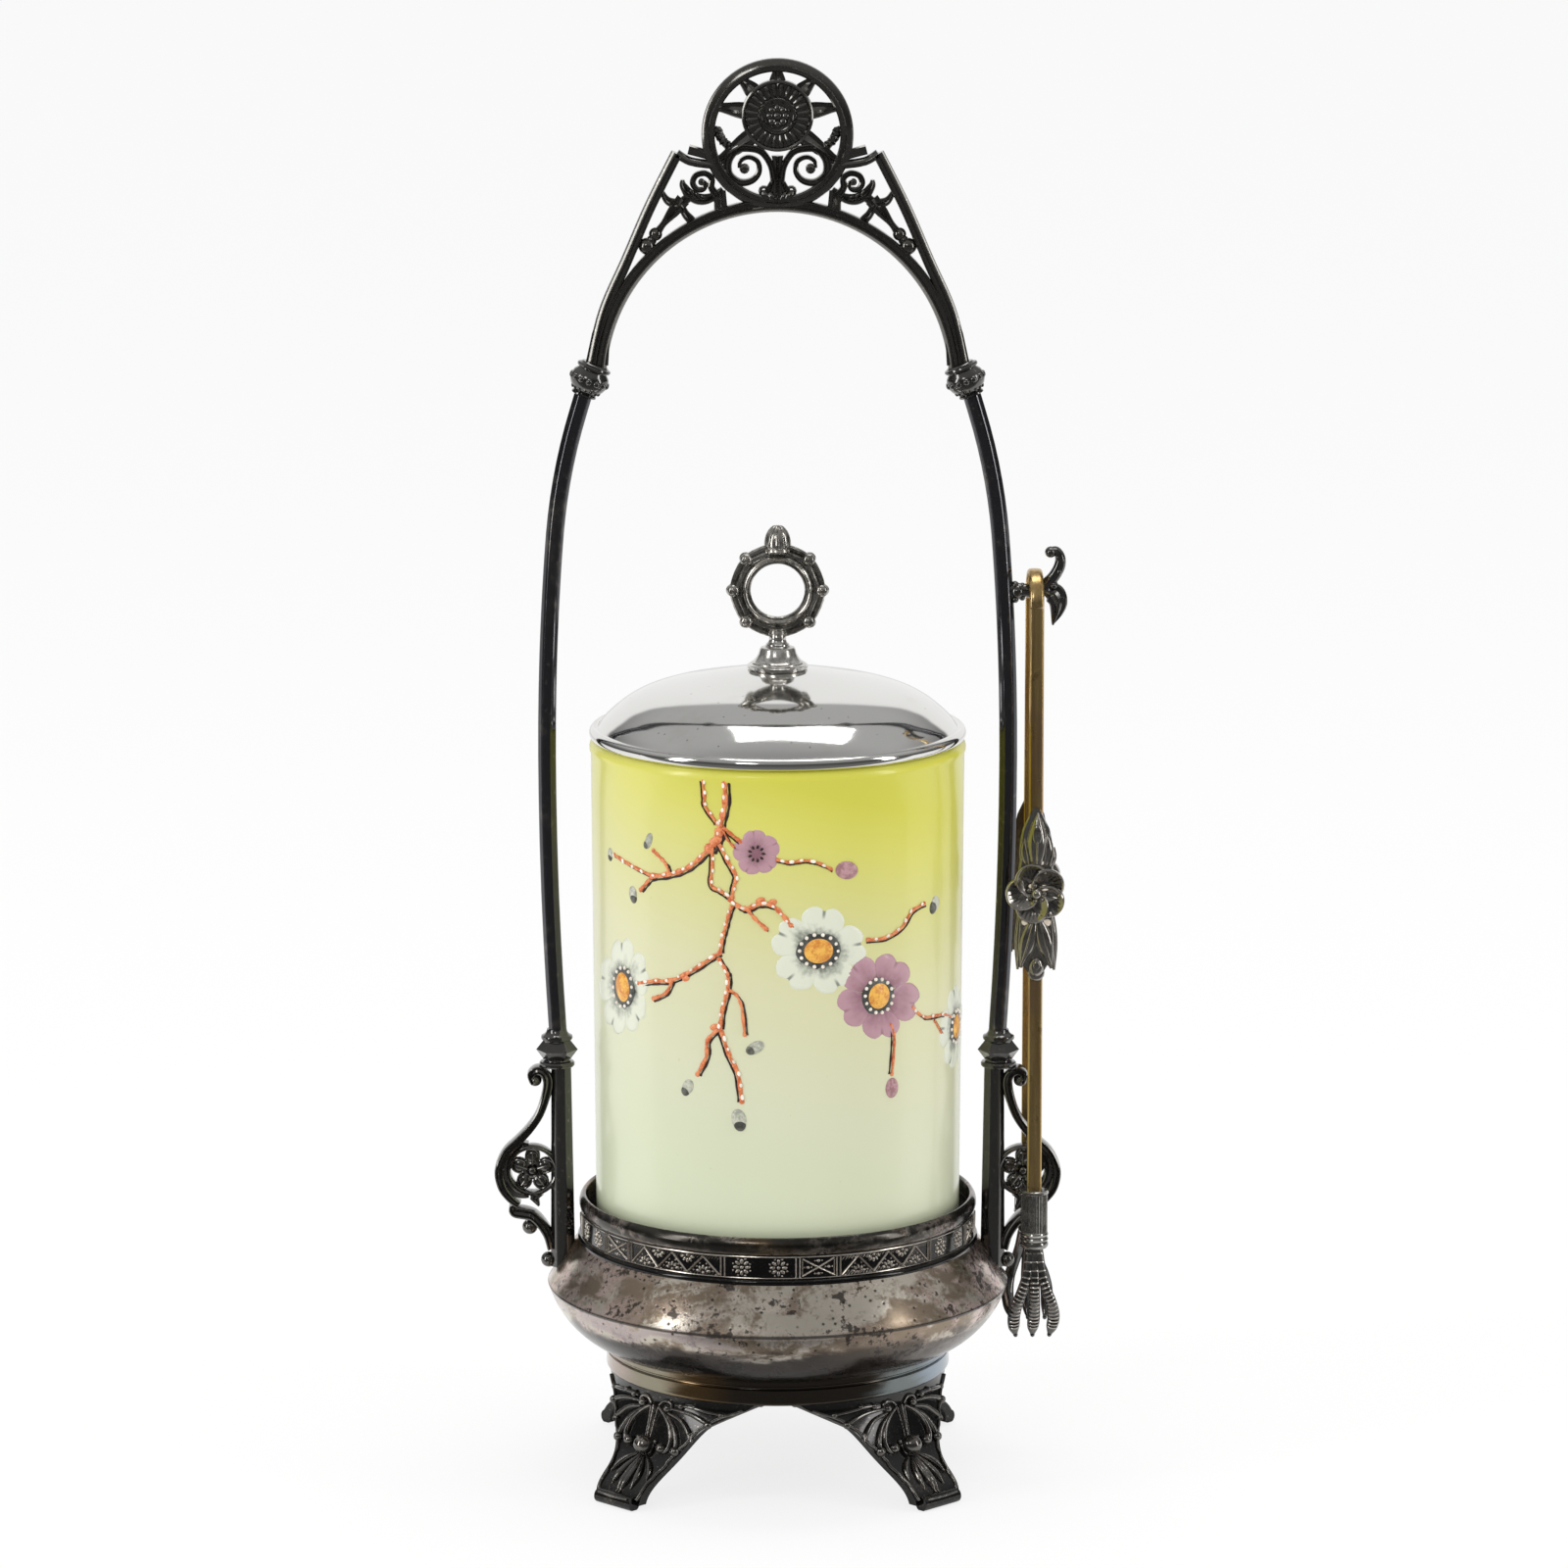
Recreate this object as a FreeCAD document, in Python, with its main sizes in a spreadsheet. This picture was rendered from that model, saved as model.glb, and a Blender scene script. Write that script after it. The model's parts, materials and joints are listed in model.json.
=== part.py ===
import FreeCAD, Part
import math
import os

import Sketcher

V = FreeCAD.Vector
X_AXIS = V(1, 0, 0)
Y_AXIS = V(0, 1, 0)
Z_AXIS = V(0, 0, 1)
ORIGIN = V(0, 0, 0)
QUARTER_BEND_SHARE = 0.29

# A silver-plated pickle castor: a footed bowl with a gallery holds a glass jar with a metal
# lid, two posts and rods carry a pierced crest over it, and a pair of claw tongs hangs on a hook.
# The origin is on the floor under the jar's axis. +Z is up, and -Y is the front.
SIZES = (
    # Foot ring and bowl
    ("foot_height", 23.4, "floor to the underside of the foot ring"),
    ("foot_ring_inset", 13.1, "bowl's sharp edge in to the outside of the foot ring"),
    ("foot_ring_wall", 2.6, "wall of the foot ring"),
    ("foot_ring_height", 5.4, "height of the foot ring"),
    ("foot_ring_groove", 0.6, "depth and height of the turned groove in the foot ring"),
    ("bowl_overhang", 7.6, "gallery's outside out to the sharp edge of the bowl's shoulder"),
    ("bowl_edge_height", 13.8, "foot ring's top to the shoulder's edge"),
    ("bowl_shoulder_height", 9.9, "shoulder's edge to the gallery"),
    ("bowl_wall", 1.2, "sheet of the bowl"),
    # Gallery
    ("jar_room", 2.2, "jar's foot to the inside of the gallery"),
    ("gallery_height", 6.7, "height of the ornamented band"),
    ("gallery_wall", 1.2, "sheet of the band"),
    ("gallery_bead", 0.7, "how far the band's lower moulding stands out"),
    ("gallery_rim_height", 3.7, "height of the rolled rim"),
    ("gallery_rim_roll", 0.5, "how far the rolled rim stands out"),
    ("floor_sheet", 1.2, "sheet of the floor that the jar stands on"),
    ("floor_play", 0.2, "play round the floor inside the band"),
    # Feet
    ("foot_spread", 23.0, "half width of a foot under the ring"),
    ("foot_plate", 1.9, "thickness of a foot's plate"),
    ("toe_radius", 1.6, "radius of the rolled toe"),
    ("toe_length", 11.2, "length of the rolled toe"),
    ("toe_out", 11.8, "foot ring's outside to the middle of a toe"),
    ("toe_flat", 0.2, "flat worn on the toe where it stands"),
    # Jar
    ("jar_radius", 40.6, "outside of the jar at its foot"),
    ("jar_flare", 0.8, "how much wider the jar is at its mouth"),
    ("jar_height", 112.5, "height of the jar"),
    ("jar_wall", 3.4, "wall of the jar"),
    ("jar_bottom", 4.5, "thickness of the jar's bottom"),
    ("jar_edge", 3.0, "round of the jar's bottom edge"),
    # Lid
    ("lid_overhang", 0.3, "how far the lid's rolled rim stands out past the jar"),
    ("lid_rim_height", 3.4, "height of the lid's rolled rim"),
    ("lid_rim_width", 2.6, "width of the rolled rim on top"),
    ("lid_height", 15.4, "jar's mouth to the top of the lid"),
    ("lid_knee_inset", 9.7, "lid's outside in to where its side runs into the crown"),
    ("lid_crown_drop", 6.2, "crown's middle down to the knee"),
    ("lid_wall", 1.2, "sheet of the lid"),
    ("lid_plug_depth", 8.0, "how far the lid's collar reaches into the jar"),
    ("lid_play", 0.5, "play between the collar and the jar"),
    # Finial
    ("finial_foot_radius", 6.3, "flange of the finial's turned foot"),
    ("finial_foot_height", 8.0, "height of the turned foot"),
    ("finial_neck_radius", 2.2, "neck of the turned foot"),
    ("finial_stud_radius", 1.5, "stud through the lid"),
    ("finial_ring_radius", 5.95, "finger hole of the ring"),
    ("finial_ring_bar", 1.45, "half width of the ring's round inner bar"),
    ("finial_frame_radius", 11.0, "corners of the ring's eight-sided outer frame"),
    ("finial_frame_flat", 9.6, "ring's middle to the frame's flat top and bottom"),
    ("finial_knob_radius", 1.25, "knobs on the frame's corners"),
    ("finial_acorn_radius", 2.75, "gadrooned acorn on top"),
    ("finial_acorn_height", 4.4, "height of the acorn above the ring"),
    ("finial_nut_radius", 4.2, "nut inside the lid, across corners"),
    ("finial_nut_height", 2.4, "height of that nut"),
    # Posts, collars and rods
    ("post_foot_inset", 4.2, "rod's reach in to the post's foot"),
    ("post_top_inset", 2.7, "rod's reach in to the post's top"),
    ("post_foot_radius", 2.75, "post at its foot"),
    ("post_top_radius", 2.2, "post at its top"),
    ("post_height", 49.0, "gallery's foot level less the seat's drop to the post's top"),
    ("post_seat_drop", 10.0, "how far below the gallery's foot the post may reach"),
    ("collar_inset", 1.8, "rod's reach in to the collar's axis"),
    ("collar_height", 8.5, "height of a collar"),
    ("collar_radius", 4.65, "widest edge of a collar"),
    ("collar_foot_radius", 3.9, "lower flange of a collar"),
    ("collar_top_radius", 3.4, "upper flange of a collar"),
    ("collar_waist_radius", 2.9, "waists of a collar"),
    ("rod_radius", 2.1, "radius of a side rod"),
    ("rod_inset", 0.5, "bowl's edge in to a rod where it is furthest out"),
    ("rod_belly_height", 62.0, "collar's top to where the rod is furthest out"),
    ("rod_low_bend", 960.0, "bend radius of the rod's lower stretch"),
    ("rod_high_bend", 620.0, "bend radius of the rod's upper stretch"),
    ("rod_high_run", 48.6, "rise of the upper stretch"),
    ("rod_top_bend", 132.0, "bend radius of the rod's top stretch"),
    ("rod_top_run", 31.8, "rise of the top stretch"),
    ("knop_radius", 4.75, "widest part of a beaded knop"),
    ("knop_height", 7.6, "height of a knop"),
    ("knop_flange_radius", 4.1, "flange on top of a knop"),
    ("knop_neck_radius", 2.7, "necks of a knop"),
    ("knop_bead", 0.95, "radius of a knop's beads"),
    # Crest
    ("arch_inset", 5.09, "rod's top in to the arch's clear radius, sideways"),
    ("arch_bar", 2.9, "width of the arch's bar"),
    ("arch_depth", 3.6, "thickness of the arch, front to back"),
    ("arch_centre_height", 3.0, "rod's top to the arch's centre"),
    ("crest_ring_radius", 16.6, "outside of the crest's ring"),
    ("crest_ring_bar", 2.9, "width of the ring's bar"),
    ("crest_ring_depth", 3.8, "thickness of the ring"),
    ("crest_ring_sink", 2.5, "how far the ring sinks into the arch"),
    ("crest_side_bar", 2.6, "width of the crest's side bars"),
    ("crest_trim_bar", 1.7, "width of the crest's scrolls"),
    ("crest_trim_depth", 2.6, "thickness of the crest's scrolls"),
    ("rosette_radius", 7.9, "sunburst disc in the ring"),
    ("rosette_rise", 4.1, "ring's centre up to the disc's centre"),
    ("rosette_depth", 3.0, "thickness of the disc"),
    ("rosette_boss_radius", 3.7, "raised middle of the disc"),
    ("rosette_boss_rise", 0.5, "how far the middle stands out on each side"),
    ("volute_radius", 3.7, "large scrolls in the ring"),
    ("volute_ball", 0.8, "ball in the middle of a scroll"),
    ("crest_ball", 1.9, "larger ball at the foot of a side spray"),
    # Scroll brackets
    ("bracket_out", 12.5, "rod's reach out to the bracket's outermost point"),
    ("bracket_ring_radius", 5.9, "outside of the bracket's ring"),
    ("bracket_ring_bar", 0.95, "width of the ring's bar"),
    ("bracket_ring_out", 3.8, "rod's reach out to the ring's centre"),
    ("bracket_ring_drop", 23.8, "collar's foot down to the ring's centre"),
    ("bracket_bar", 1.9, "width of the bracket's bar"),
    ("bracket_foot_bar", 2.5, "width of the bracket's lower scroll"),
    ("bracket_depth", 4.3, "thickness of the bracket"),
    ("bracket_ball", 1.75, "balls at the ends of the scrolls"),
    ("bracket_flower_radius", 1.75, "a petal of the flower in the ring"),
    ("bracket_flower_depth", 2.4, "thickness of that flower"),
    # Hook and tongs
    ("hook_depth", 4.0, "thickness of the hook"),
    ("hook_bar", 2.6, "width of the hook's bar"),
    ("hook_stem_height", 6.6, "height of the hook's stem at the rod"),
    ("hook_out", 12.3, "rod's reach out to the hook's outermost point"),
    ("hook_rise", 8.3, "stem's top up to the hook's tip"),
    ("tongs_out", 5.7, "rod's reach out to the tongs"),
    ("tongs_top", 204.0, "floor to the top of the tongs' bow"),
    ("tongs_play", 0.6, "play between the bow and the hook's stem"),
    ("bow_radius", 7.5, "outside of the bow"),
    ("strip_width", 3.2, "width of the tongs' strip"),
    ("strip_sheet", 1.0, "thickness of the tongs' strip"),
    ("arm_length", 131.0, "hinge line to the ferrule"),
    ("arm_gap", 0.15, "joint line between the bow's end and an arm's top"),
    ("ferrule_radius", 3.0, "outside of a ferrule"),
    ("ferrule_length", 13.3, "length of a ferrule"),
    ("ferrule_bead", 0.35, "how far the ferrule's rings stand out"),
    ("claw_length", 20.6, "length of a claw"),
    ("claw_spread", 4.25, "middle finger to an outer finger"),
    ("claw_finger", 2.8, "width of a finger"),
    ("claw_sheet", 1.3, "thickness of a finger"),
    ("claw_bow", 2.4, "how far the claw's back bulges out"),
    ("claw_tip_gap", 6.2, "middle plane to a finger's tip"),
    ("flower_radius", 6.9, "flower on the arm"),
    ("flower_depth", 2.2, "depth of the flower's cup"),
    ("flower_drop", 63.6, "hinge line down to the flower's middle"),
    ("flower_boss_radius", 1.6, "ball in the flower"),
    ("leaf_length", 12.0, "bud leaves above and below the flower"),
    ("leaf_width", 8.6, "width of a pair of bud leaves"),
    ("leaf_depth", 1.2, "thickness of the bud leaves"),
    # Shared
    ("overrun", 2.0, "how far a cut runs past what it cuts"),
)


class Size:
    """A length of the sheet, or a sum of such lengths, with the formula that gives it."""

    def __init__(self, value, formula):
        self.value = value
        self.formula = formula

    def __float__(self):
        return float(self.value)

    def joined(self, other, sign, value):
        text = other.formula if isinstance(other, Size) else repr(other)
        return Size(value, "(" + self.formula + " " + sign + " " + text + ")")

    def __add__(self, other):
        return self.joined(other, "+", self.value + float(other))

    def __sub__(self, other):
        return self.joined(other, "-", self.value - float(other))

    def __mul__(self, other):
        return self.joined(other, "*", self.value * float(other))

    def __truediv__(self, other):
        return self.joined(other, "/", self.value / float(other))


class SizeSheet:
    """Writes the driving sizes into a spreadsheet and hands them out by name."""

    def __init__(self, doc):
        self.sheet = doc.addObject("Spreadsheet::Sheet", "Sizes")
        for row, (name, value, meaning) in enumerate(SIZES, start=1):
            self.sheet.set("A%d" % row, name)
            self.sheet.set("B%d" % row, repr(value))
            self.sheet.set("C%d" % row, meaning)
            self.sheet.setAlias("B%d" % row, name)
        doc.recompute()

    def __getattr__(self, name):
        return Size(float(self.sheet.get(name)), "Sizes." + name)


doc = FreeCAD.newDocument("pickle_castor")
size = SizeSheet(doc)
NODES = []


# Helpers for turned pieces. A row of a share table gives a radius by name with its share, and a
# height share; a row that ends with "bulge" is the middle of the arc to the next row.


def origin_plane(body, role):
    for feature in body.Origin.OriginFeatures:
        if feature.Role == role:
            return feature
    raise ValueError(role)


def pin_point(sketch, geo, pos, place):
    """Holds one point of a sketch at a named place."""
    for kind, axis, length in (("DistanceX", -2, place[0]), ("DistanceY", -1, place[1])):
        if abs(float(length)) < 1e-9:
            sketch.addConstraint(Sketcher.Constraint("PointOnObject", geo, pos, axis))
            continue
        rule = Sketcher.Constraint(kind, -1, 1, geo, pos, float(length))
        number = sketch.addConstraint(rule)
        sketch.setExpression("Constraints[%d]" % number, length.formula)


def end_of(sketch, geo, point):
    """The end of an edge, 1 or 2, that lies at a point."""
    near = sketch.getPoint(geo, 1)
    far = sketch.getPoint(geo, 2)
    return 1 if near.distanceToPoint(point) <= far.distanceToPoint(point) else 2


def outline(body, name, corners):
    """A closed sketch through named places; a pair of places is an arc's middle and end."""
    sketch = body.newObject("Sketcher::SketchObject", name + "_outline")
    sketch.AttachmentSupport = [(origin_plane(body, "XZ_Plane"), "")]
    sketch.MapMode = "FlatFace"
    places = []
    middles = []
    for corner in corners:
        is_arc = isinstance(corner[0], tuple)
        middles.append(corner[0] if is_arc else None)
        places.append(corner[1] if is_arc else corner)
    points = [V(float(r), float(z), 0) for r, z in places]
    edges = []
    for number, point in enumerate(points):
        before = points[number - 1]
        middle = middles[number]
        if middle is None:
            edges.append(sketch.addGeometry(Part.LineSegment(before, point), False))
        else:
            through = V(float(middle[0]), float(middle[1]), 0)
            edges.append(sketch.addGeometry(Part.Arc(before, through, point), False))
    for number, edge in enumerate(edges):
        following = edges[(number + 1) % len(edges)]
        pos = end_of(sketch, edge, points[number])
        next_pos = end_of(sketch, following, points[number])
        sketch.addConstraint(Sketcher.Constraint("Coincident", edge, pos, following, next_pos))
        pin_point(sketch, edge, pos, places[number])
    for number, middle in enumerate(middles):
        if middle is not None:
            through = V(float(middle[0]), float(middle[1]), 0)
            mark = sketch.addGeometry(Part.Point(through), True)
            rule = Sketcher.Constraint("PointOnObject", mark, 1, edges[number])
            sketch.addConstraint(rule)
            pin_point(sketch, mark, 1, middle)
    return sketch


def turned(name, corners, place=None):
    """A turned piece from its half section, given as radius and height."""
    body = doc.addObject("PartDesign::Body", name)
    sketch = outline(body, name, corners)
    turn = body.newObject("PartDesign::Revolution", name + "_turn")
    turn.Profile = sketch
    turn.ReferenceAxis = (sketch, ["V_Axis"])
    turn.Angle = 360
    body.Tip = turn
    if place is not None:
        body.Placement = place
    return body


def section(rows, foot, high):
    """The corners of a half section from a share table, between its foot and its height."""
    corners = []
    middle = None
    for row in rows:
        radius = getattr(size, row[0]) * row[1] if row[0] else 0
        place = (radius, high * row[2] + foot)
        if row[-1] == "bulge":
            middle = place
            continue
        corners.append((middle, place) if middle is not None else place)
        middle = None
    return corners


def keep(node, label):
    """Counts an object among the pieces that are written out."""
    node.Label = label
    NODES.append(node)
    return node


def cast(name, shape, place=None):
    """A cast piece, from a shape that Part's own functions make."""
    node = doc.addObject("Part::Feature", name)
    node.Shape = shape
    if place is not None:
        node.Placement = place
    return keep(node, name)


# Helpers for cast pieces, which lie in the XZ plane


def path_through(points):
    """A wire of arcs, each through three points, so that the count of points is odd."""
    edges = []
    for first in range(0, len(points) - 2, 2):
        arc = Part.Arc(points[first], points[first + 1], points[first + 2])
        edges.append(arc.toShape())
    return Part.Wire(edges)


def thick(face, depth):
    """A flat face of the XZ plane made into a plate about that plane."""
    face.translate(Y_AXIS * (-float(depth) / 2))
    return face.extrude(Y_AXIS * float(depth))


def scroll(points, width, depth):
    """A flat bar with round ends that follows a curved path."""
    rim = path_through(points).makeOffset2D(float(width) / 2, 0, False, False, False)
    return thick(Part.Face(rim), depth)


def straight_bar(start, end, width, depth, end_width=None):
    """A flat bar between two points, which may taper."""
    along = (end - start).normalize()
    side = along.cross(Y_AXIS)
    near = side * (float(width) / 2)
    far = side * (float(end_width if end_width is not None else width) / 2)
    corners = [start + near, end + far, end - far, start - near, start + near]
    return thick(Part.Face(Part.makePolygon(corners)), depth)


def disc(centre, radius, depth):
    """A round plate about a point of the XZ plane."""
    return Part.makeCylinder(float(radius), float(depth), centre - Y_AXIS * (float(depth) / 2), Y_AXIS)


def hoop(centre, radius, bar, depth):
    """A flat ring, its outside at the radius."""
    inner = float(radius) - float(bar)
    hole_depth = float(depth) + float(size.overrun)
    return disc(centre, radius, depth).cut(disc(centre, inner, hole_depth))


def ball(centre, radius):
    return Part.makeSphere(float(radius), centre)


def joined(shapes):
    return shapes[0].fuse(shapes[1:]).removeSplitter()


def largest(shape):
    """The biggest solid of a shape, without the crumbs that a cut leaves."""
    return max(shape.Solids, key=lambda solid: solid.Volume)


def mirrored(shape):
    return shape.mirror(ORIGIN, X_AXIS)


# Reaches and heights that several pieces share

gallery_radius = size.jar_radius + size.jar_room + size.gallery_wall
bowl_radius = gallery_radius + size.bowl_overhang
foot_ring_radius = bowl_radius - size.foot_ring_inset
toe_reach = foot_ring_radius + size.toe_out
jar_mouth_radius = size.jar_radius + size.jar_flare
lid_radius = jar_mouth_radius + size.lid_overhang
lid_knee_radius = lid_radius - size.lid_knee_inset
rod_reach = bowl_radius - size.rod_inset
post_foot_reach = rod_reach - size.post_foot_inset
post_top_reach = rod_reach - size.post_top_inset
collar_reach = rod_reach - size.collar_inset
bracket_reach = rod_reach + size.bracket_out
bracket_ring_reach = rod_reach + size.bracket_ring_out
hook_reach = rod_reach + size.hook_out
tongs_reach = rod_reach + size.tongs_out
ring_top = size.foot_height + size.foot_ring_height
shoulder_edge = ring_top + size.bowl_edge_height
gallery_foot = shoulder_edge + size.bowl_shoulder_height
gallery_top = gallery_foot + size.gallery_height
rim_top = gallery_top + size.gallery_rim_height
floor_top = gallery_foot + size.floor_sheet
mouth = floor_top + size.jar_height
lid_top = mouth + size.lid_height
post_top = gallery_foot - size.post_seat_drop + size.post_height
collar_top = post_top + size.collar_height
rod_belly = collar_top + size.rod_belly_height
gallery_inside = gallery_radius - size.gallery_wall


# Base

BELLY_SHARE = (0.66, 0.42)


def make_foot_ring():
    outside = foot_ring_radius
    inside = outside - size.foot_ring_wall
    groove = size.foot_ring_groove
    groove_top = ring_top - groove * 2
    body = turned("foot_ring", [
        (inside, size.foot_height),
        (outside - groove, size.foot_height),
        (outside, size.foot_height + groove),
        (outside, groove_top - groove),
        (outside - groove, groove_top - groove / 2),
        (outside - groove, groove_top),
        (outside, groove_top + groove / 2),
        (outside, ring_top),
        (inside, ring_top),
    ])
    keep(body, "foot_ring")


def bowl_corners(inset):
    """The bowl's outer line from the foot ring up to the gallery, moved in by a wall."""
    foot = foot_ring_radius - inset
    edge = bowl_radius - inset
    neck = gallery_radius + size.gallery_bead - inset
    belly_x = foot + (edge - foot) * BELLY_SHARE[0]
    belly_z = ring_top + size.bowl_edge_height * BELLY_SHARE[1]
    return foot, edge, neck, belly_x, belly_z


def make_base_bowl():
    wall = size.bowl_wall
    foot, edge, neck, belly_x, belly_z = bowl_corners(0)
    in_foot, in_edge, in_neck, in_belly_x, in_belly_z = bowl_corners(wall)
    lip = gallery_inside - size.gallery_wall * 2
    shoulder_mid_x = (edge + neck) / 2
    shoulder_mid_z = shoulder_edge + size.bowl_shoulder_height / 2 + wall / 4
    body = turned("base_bowl", [
        ((in_belly_x, in_belly_z + wall / 4), (in_foot, ring_top)),
        (foot, ring_top),
        ((belly_x, belly_z), (edge, shoulder_edge)),
        ((shoulder_mid_x, shoulder_mid_z), (neck, gallery_foot)),
        (lip, gallery_foot),
        (lip, gallery_foot - wall),
        (in_neck, gallery_foot - wall),
        ((shoulder_mid_x - wall, shoulder_mid_z - wall), (in_edge, shoulder_edge)),
    ])
    keep(body, "base_bowl")


def bowl_block():
    """The space that the bowl's shoulder takes, for seating the posts."""
    _, edge, neck, _, _ = bowl_corners(0)
    middle = V(float(edge + neck) / 2, 0,
               float(shoulder_edge + size.bowl_shoulder_height / 2 + size.bowl_wall / 4))
    rim = V(float(edge), 0, float(shoulder_edge))
    top = V(float(neck), 0, float(gallery_foot))
    low = float(shoulder_edge - size.post_seat_drop)
    edges = [
        Part.makeLine(V(0, 0, low), V(float(edge), 0, low)),
        Part.makeLine(V(float(edge), 0, low), rim),
        Part.Arc(rim, middle, top).toShape(),
        Part.makeLine(top, V(0, 0, float(gallery_foot))),
        Part.makeLine(V(0, 0, float(gallery_foot)), V(0, 0, low)),
    ]
    return Part.Face(Part.Wire(edges)).revolve(ORIGIN, Z_AXIS, 360)


def make_gallery():
    outside = gallery_radius
    bead = size.gallery_bead
    roll = size.gallery_rim_roll
    band = turned("gallery_band", [
        (gallery_inside, gallery_foot),
        (outside + bead, gallery_foot),
        ((outside + bead * 1.2, gallery_foot + bead), (outside, gallery_foot + bead * 2)),
        (outside, gallery_top),
        (gallery_inside, gallery_top),
    ])
    keep(band, "gallery_band")
    rim_mid = gallery_top + size.gallery_rim_height / 2
    rim = turned("gallery_rim", [
        (gallery_inside, gallery_top),
        (outside, gallery_top),
        ((outside + roll, rim_mid), (outside - roll, rim_top)),
        (gallery_inside, rim_top),
    ])
    keep(rim, "gallery_rim")
    radius = gallery_inside - size.floor_play
    floor = turned("base_floor", [
        (0, gallery_foot),
        (radius, gallery_foot),
        (radius, floor_top),
        (0, floor_top),
    ])
    keep(floor, "base_floor")


# Feet

SLOPE_SHARE = 1.6
FOOT_SWELL_SHARE = 0.25
FOOT_LEVEL_SHARES = (
    # height over the foot's, reach between ring and toe, half width, set-back of the sides
    (1.00, 0.00, 1.00, 1.00),
    (0.945, 0.00, 0.93, 0.84),
    (0.84, 0.05, 0.73, 0.45),
    (0.61, 0.20, 0.51, 0.12),
    (0.32, 0.565, 0.345, 0.04),
    (0.12, 0.955, 0.305, 0.01),
    (0.05, 0.99, 0.29, 0.01),
)


def foot_section(height_share, reach_share, width_share, set_back_share):
    """One level of a foot: a bent strip whose sides are set back towards the axis."""
    ring = float(foot_ring_radius - size.foot_ring_groove)
    spread = float(size.foot_spread)
    full_set_back = ring - math.sqrt(ring * ring - spread * spread)
    height = float(size.foot_height) * height_share
    reach = ring + (float(toe_reach) - ring) * reach_share
    half = spread * width_share
    back = full_set_back * set_back_share
    slope_share = min(1.0, SLOPE_SHARE * (1.0 - height_share))
    plate = float(size.foot_plate) * (1.0 + FOOT_SWELL_SHARE * slope_share)
    outer = [V(reach - back, -half, height), V(reach, 0, height), V(reach - back, half, height)]
    inner = [point - X_AXIS * plate for point in outer]
    edges = [
        Part.Arc(outer[0], outer[1], outer[2]).toShape(),
        Part.makeLine(outer[2], inner[2]),
        Part.Arc(inner[2], inner[1], inner[0]).toShape(),
        Part.makeLine(inner[0], outer[0]),
    ]
    return Part.Wire(edges)


def foot_shape():
    """A cast foot along +X: a flaring plate under the ring, ending in a rolled toe."""
    sections = [foot_section(*shares) for shares in FOOT_LEVEL_SHARES]
    plate = Part.makeLoft(sections, True, False)
    radius = float(size.toe_radius)
    lift = radius - float(size.toe_flat)
    half = float(size.toe_length) / 2
    toe = Part.makeCylinder(radius, half * 2, V(float(toe_reach), -half, lift), Y_AXIS)
    reach = float(toe_reach)
    below = Part.makeBox(reach * 2, reach * 2, radius, V(0, -reach, -radius))
    return plate.fuse(toe).cut(below).removeSplitter()


def make_feet():
    shape = foot_shape()
    corners = (("foot_front_right", -45), ("foot_back_right", 45),
               ("foot_back_left", 135), ("foot_front_left", 225))
    for name, angle in corners:
        cast(name, shape.copy(), FreeCAD.Placement(ORIGIN, FreeCAD.Rotation(Z_AXIS, angle)))


# Jar and lid

LIP_SHARE = 0.1
SIDE_SWELL_SHARE = 0.4
CROWN_DROP_SHARE = 0.38
LID_LEDGE_SHARE = 3
LID_THROAT_SHARE = 2


def make_jar():
    low = size.jar_radius
    high = jar_mouth_radius
    edge = size.jar_edge
    wall = size.jar_wall
    bend = edge * QUARTER_BEND_SHARE
    inside_bottom = floor_top + size.jar_bottom
    inside = low - wall
    body = turned("jar", [
        (0, floor_top),
        (low - edge, floor_top),
        ((low - bend, floor_top + bend), (low, floor_top + edge)),
        (high, mouth - edge),
        (high - wall * LIP_SHARE, mouth),
        (high - wall, mouth),
        (high - wall, mouth - edge),
        (inside, inside_bottom + edge),
        ((inside - bend, inside_bottom + bend), (inside - edge, inside_bottom)),
        (0, inside_bottom),
    ])
    keep(body, "jar")


def make_lid():
    rim = lid_radius
    wall = size.lid_wall
    bead = size.lid_rim_height / 2
    root = rim - size.lid_rim_width
    knee = lid_knee_radius
    knee_height = lid_top - size.lid_crown_drop
    stud = size.finial_stud_radius
    seat = size.finial_foot_radius
    shoulder = mouth + size.lid_rim_height - bead / 2
    side_mid_x = (root + knee) / 2 + wall * SIDE_SWELL_SHARE
    side_mid_z = (mouth + size.lid_rim_height + knee_height) / 2 + wall * SIDE_SWELL_SHARE
    crown_mid = (knee + seat) / 2
    crown_mid_z = lid_top - size.lid_crown_drop * CROWN_DROP_SHARE
    dome = turned("lid_dome", [
        (root - wall * LID_LEDGE_SHARE, mouth),
        (rim - bead / 2, mouth),
        ((rim, mouth + bead), (rim - bead / 2, shoulder)),
        (root, shoulder),
        ((side_mid_x, side_mid_z), (knee, knee_height)),
        ((crown_mid, crown_mid_z), (seat, lid_top)),
        (stud, lid_top),
        (stud, lid_top - wall),
        (seat, lid_top - wall),
        ((crown_mid, crown_mid_z - wall), (knee - wall / 2, knee_height - wall)),
        ((side_mid_x - wall, side_mid_z - wall),
         (root - wall * LID_THROAT_SHARE, mouth + size.lid_rim_height)),
        (root - wall * LID_LEDGE_SHARE, mouth + wall),
    ])
    keep(dome, "lid_dome")
    plug = jar_mouth_radius - size.jar_wall - size.lid_play
    collar = turned("lid_collar", [
        (plug - wall, mouth - size.lid_plug_depth),
        (plug, mouth - size.lid_plug_depth),
        (plug, mouth),
        (plug - wall, mouth),
    ])
    keep(collar, "lid_collar")


# Finial

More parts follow.
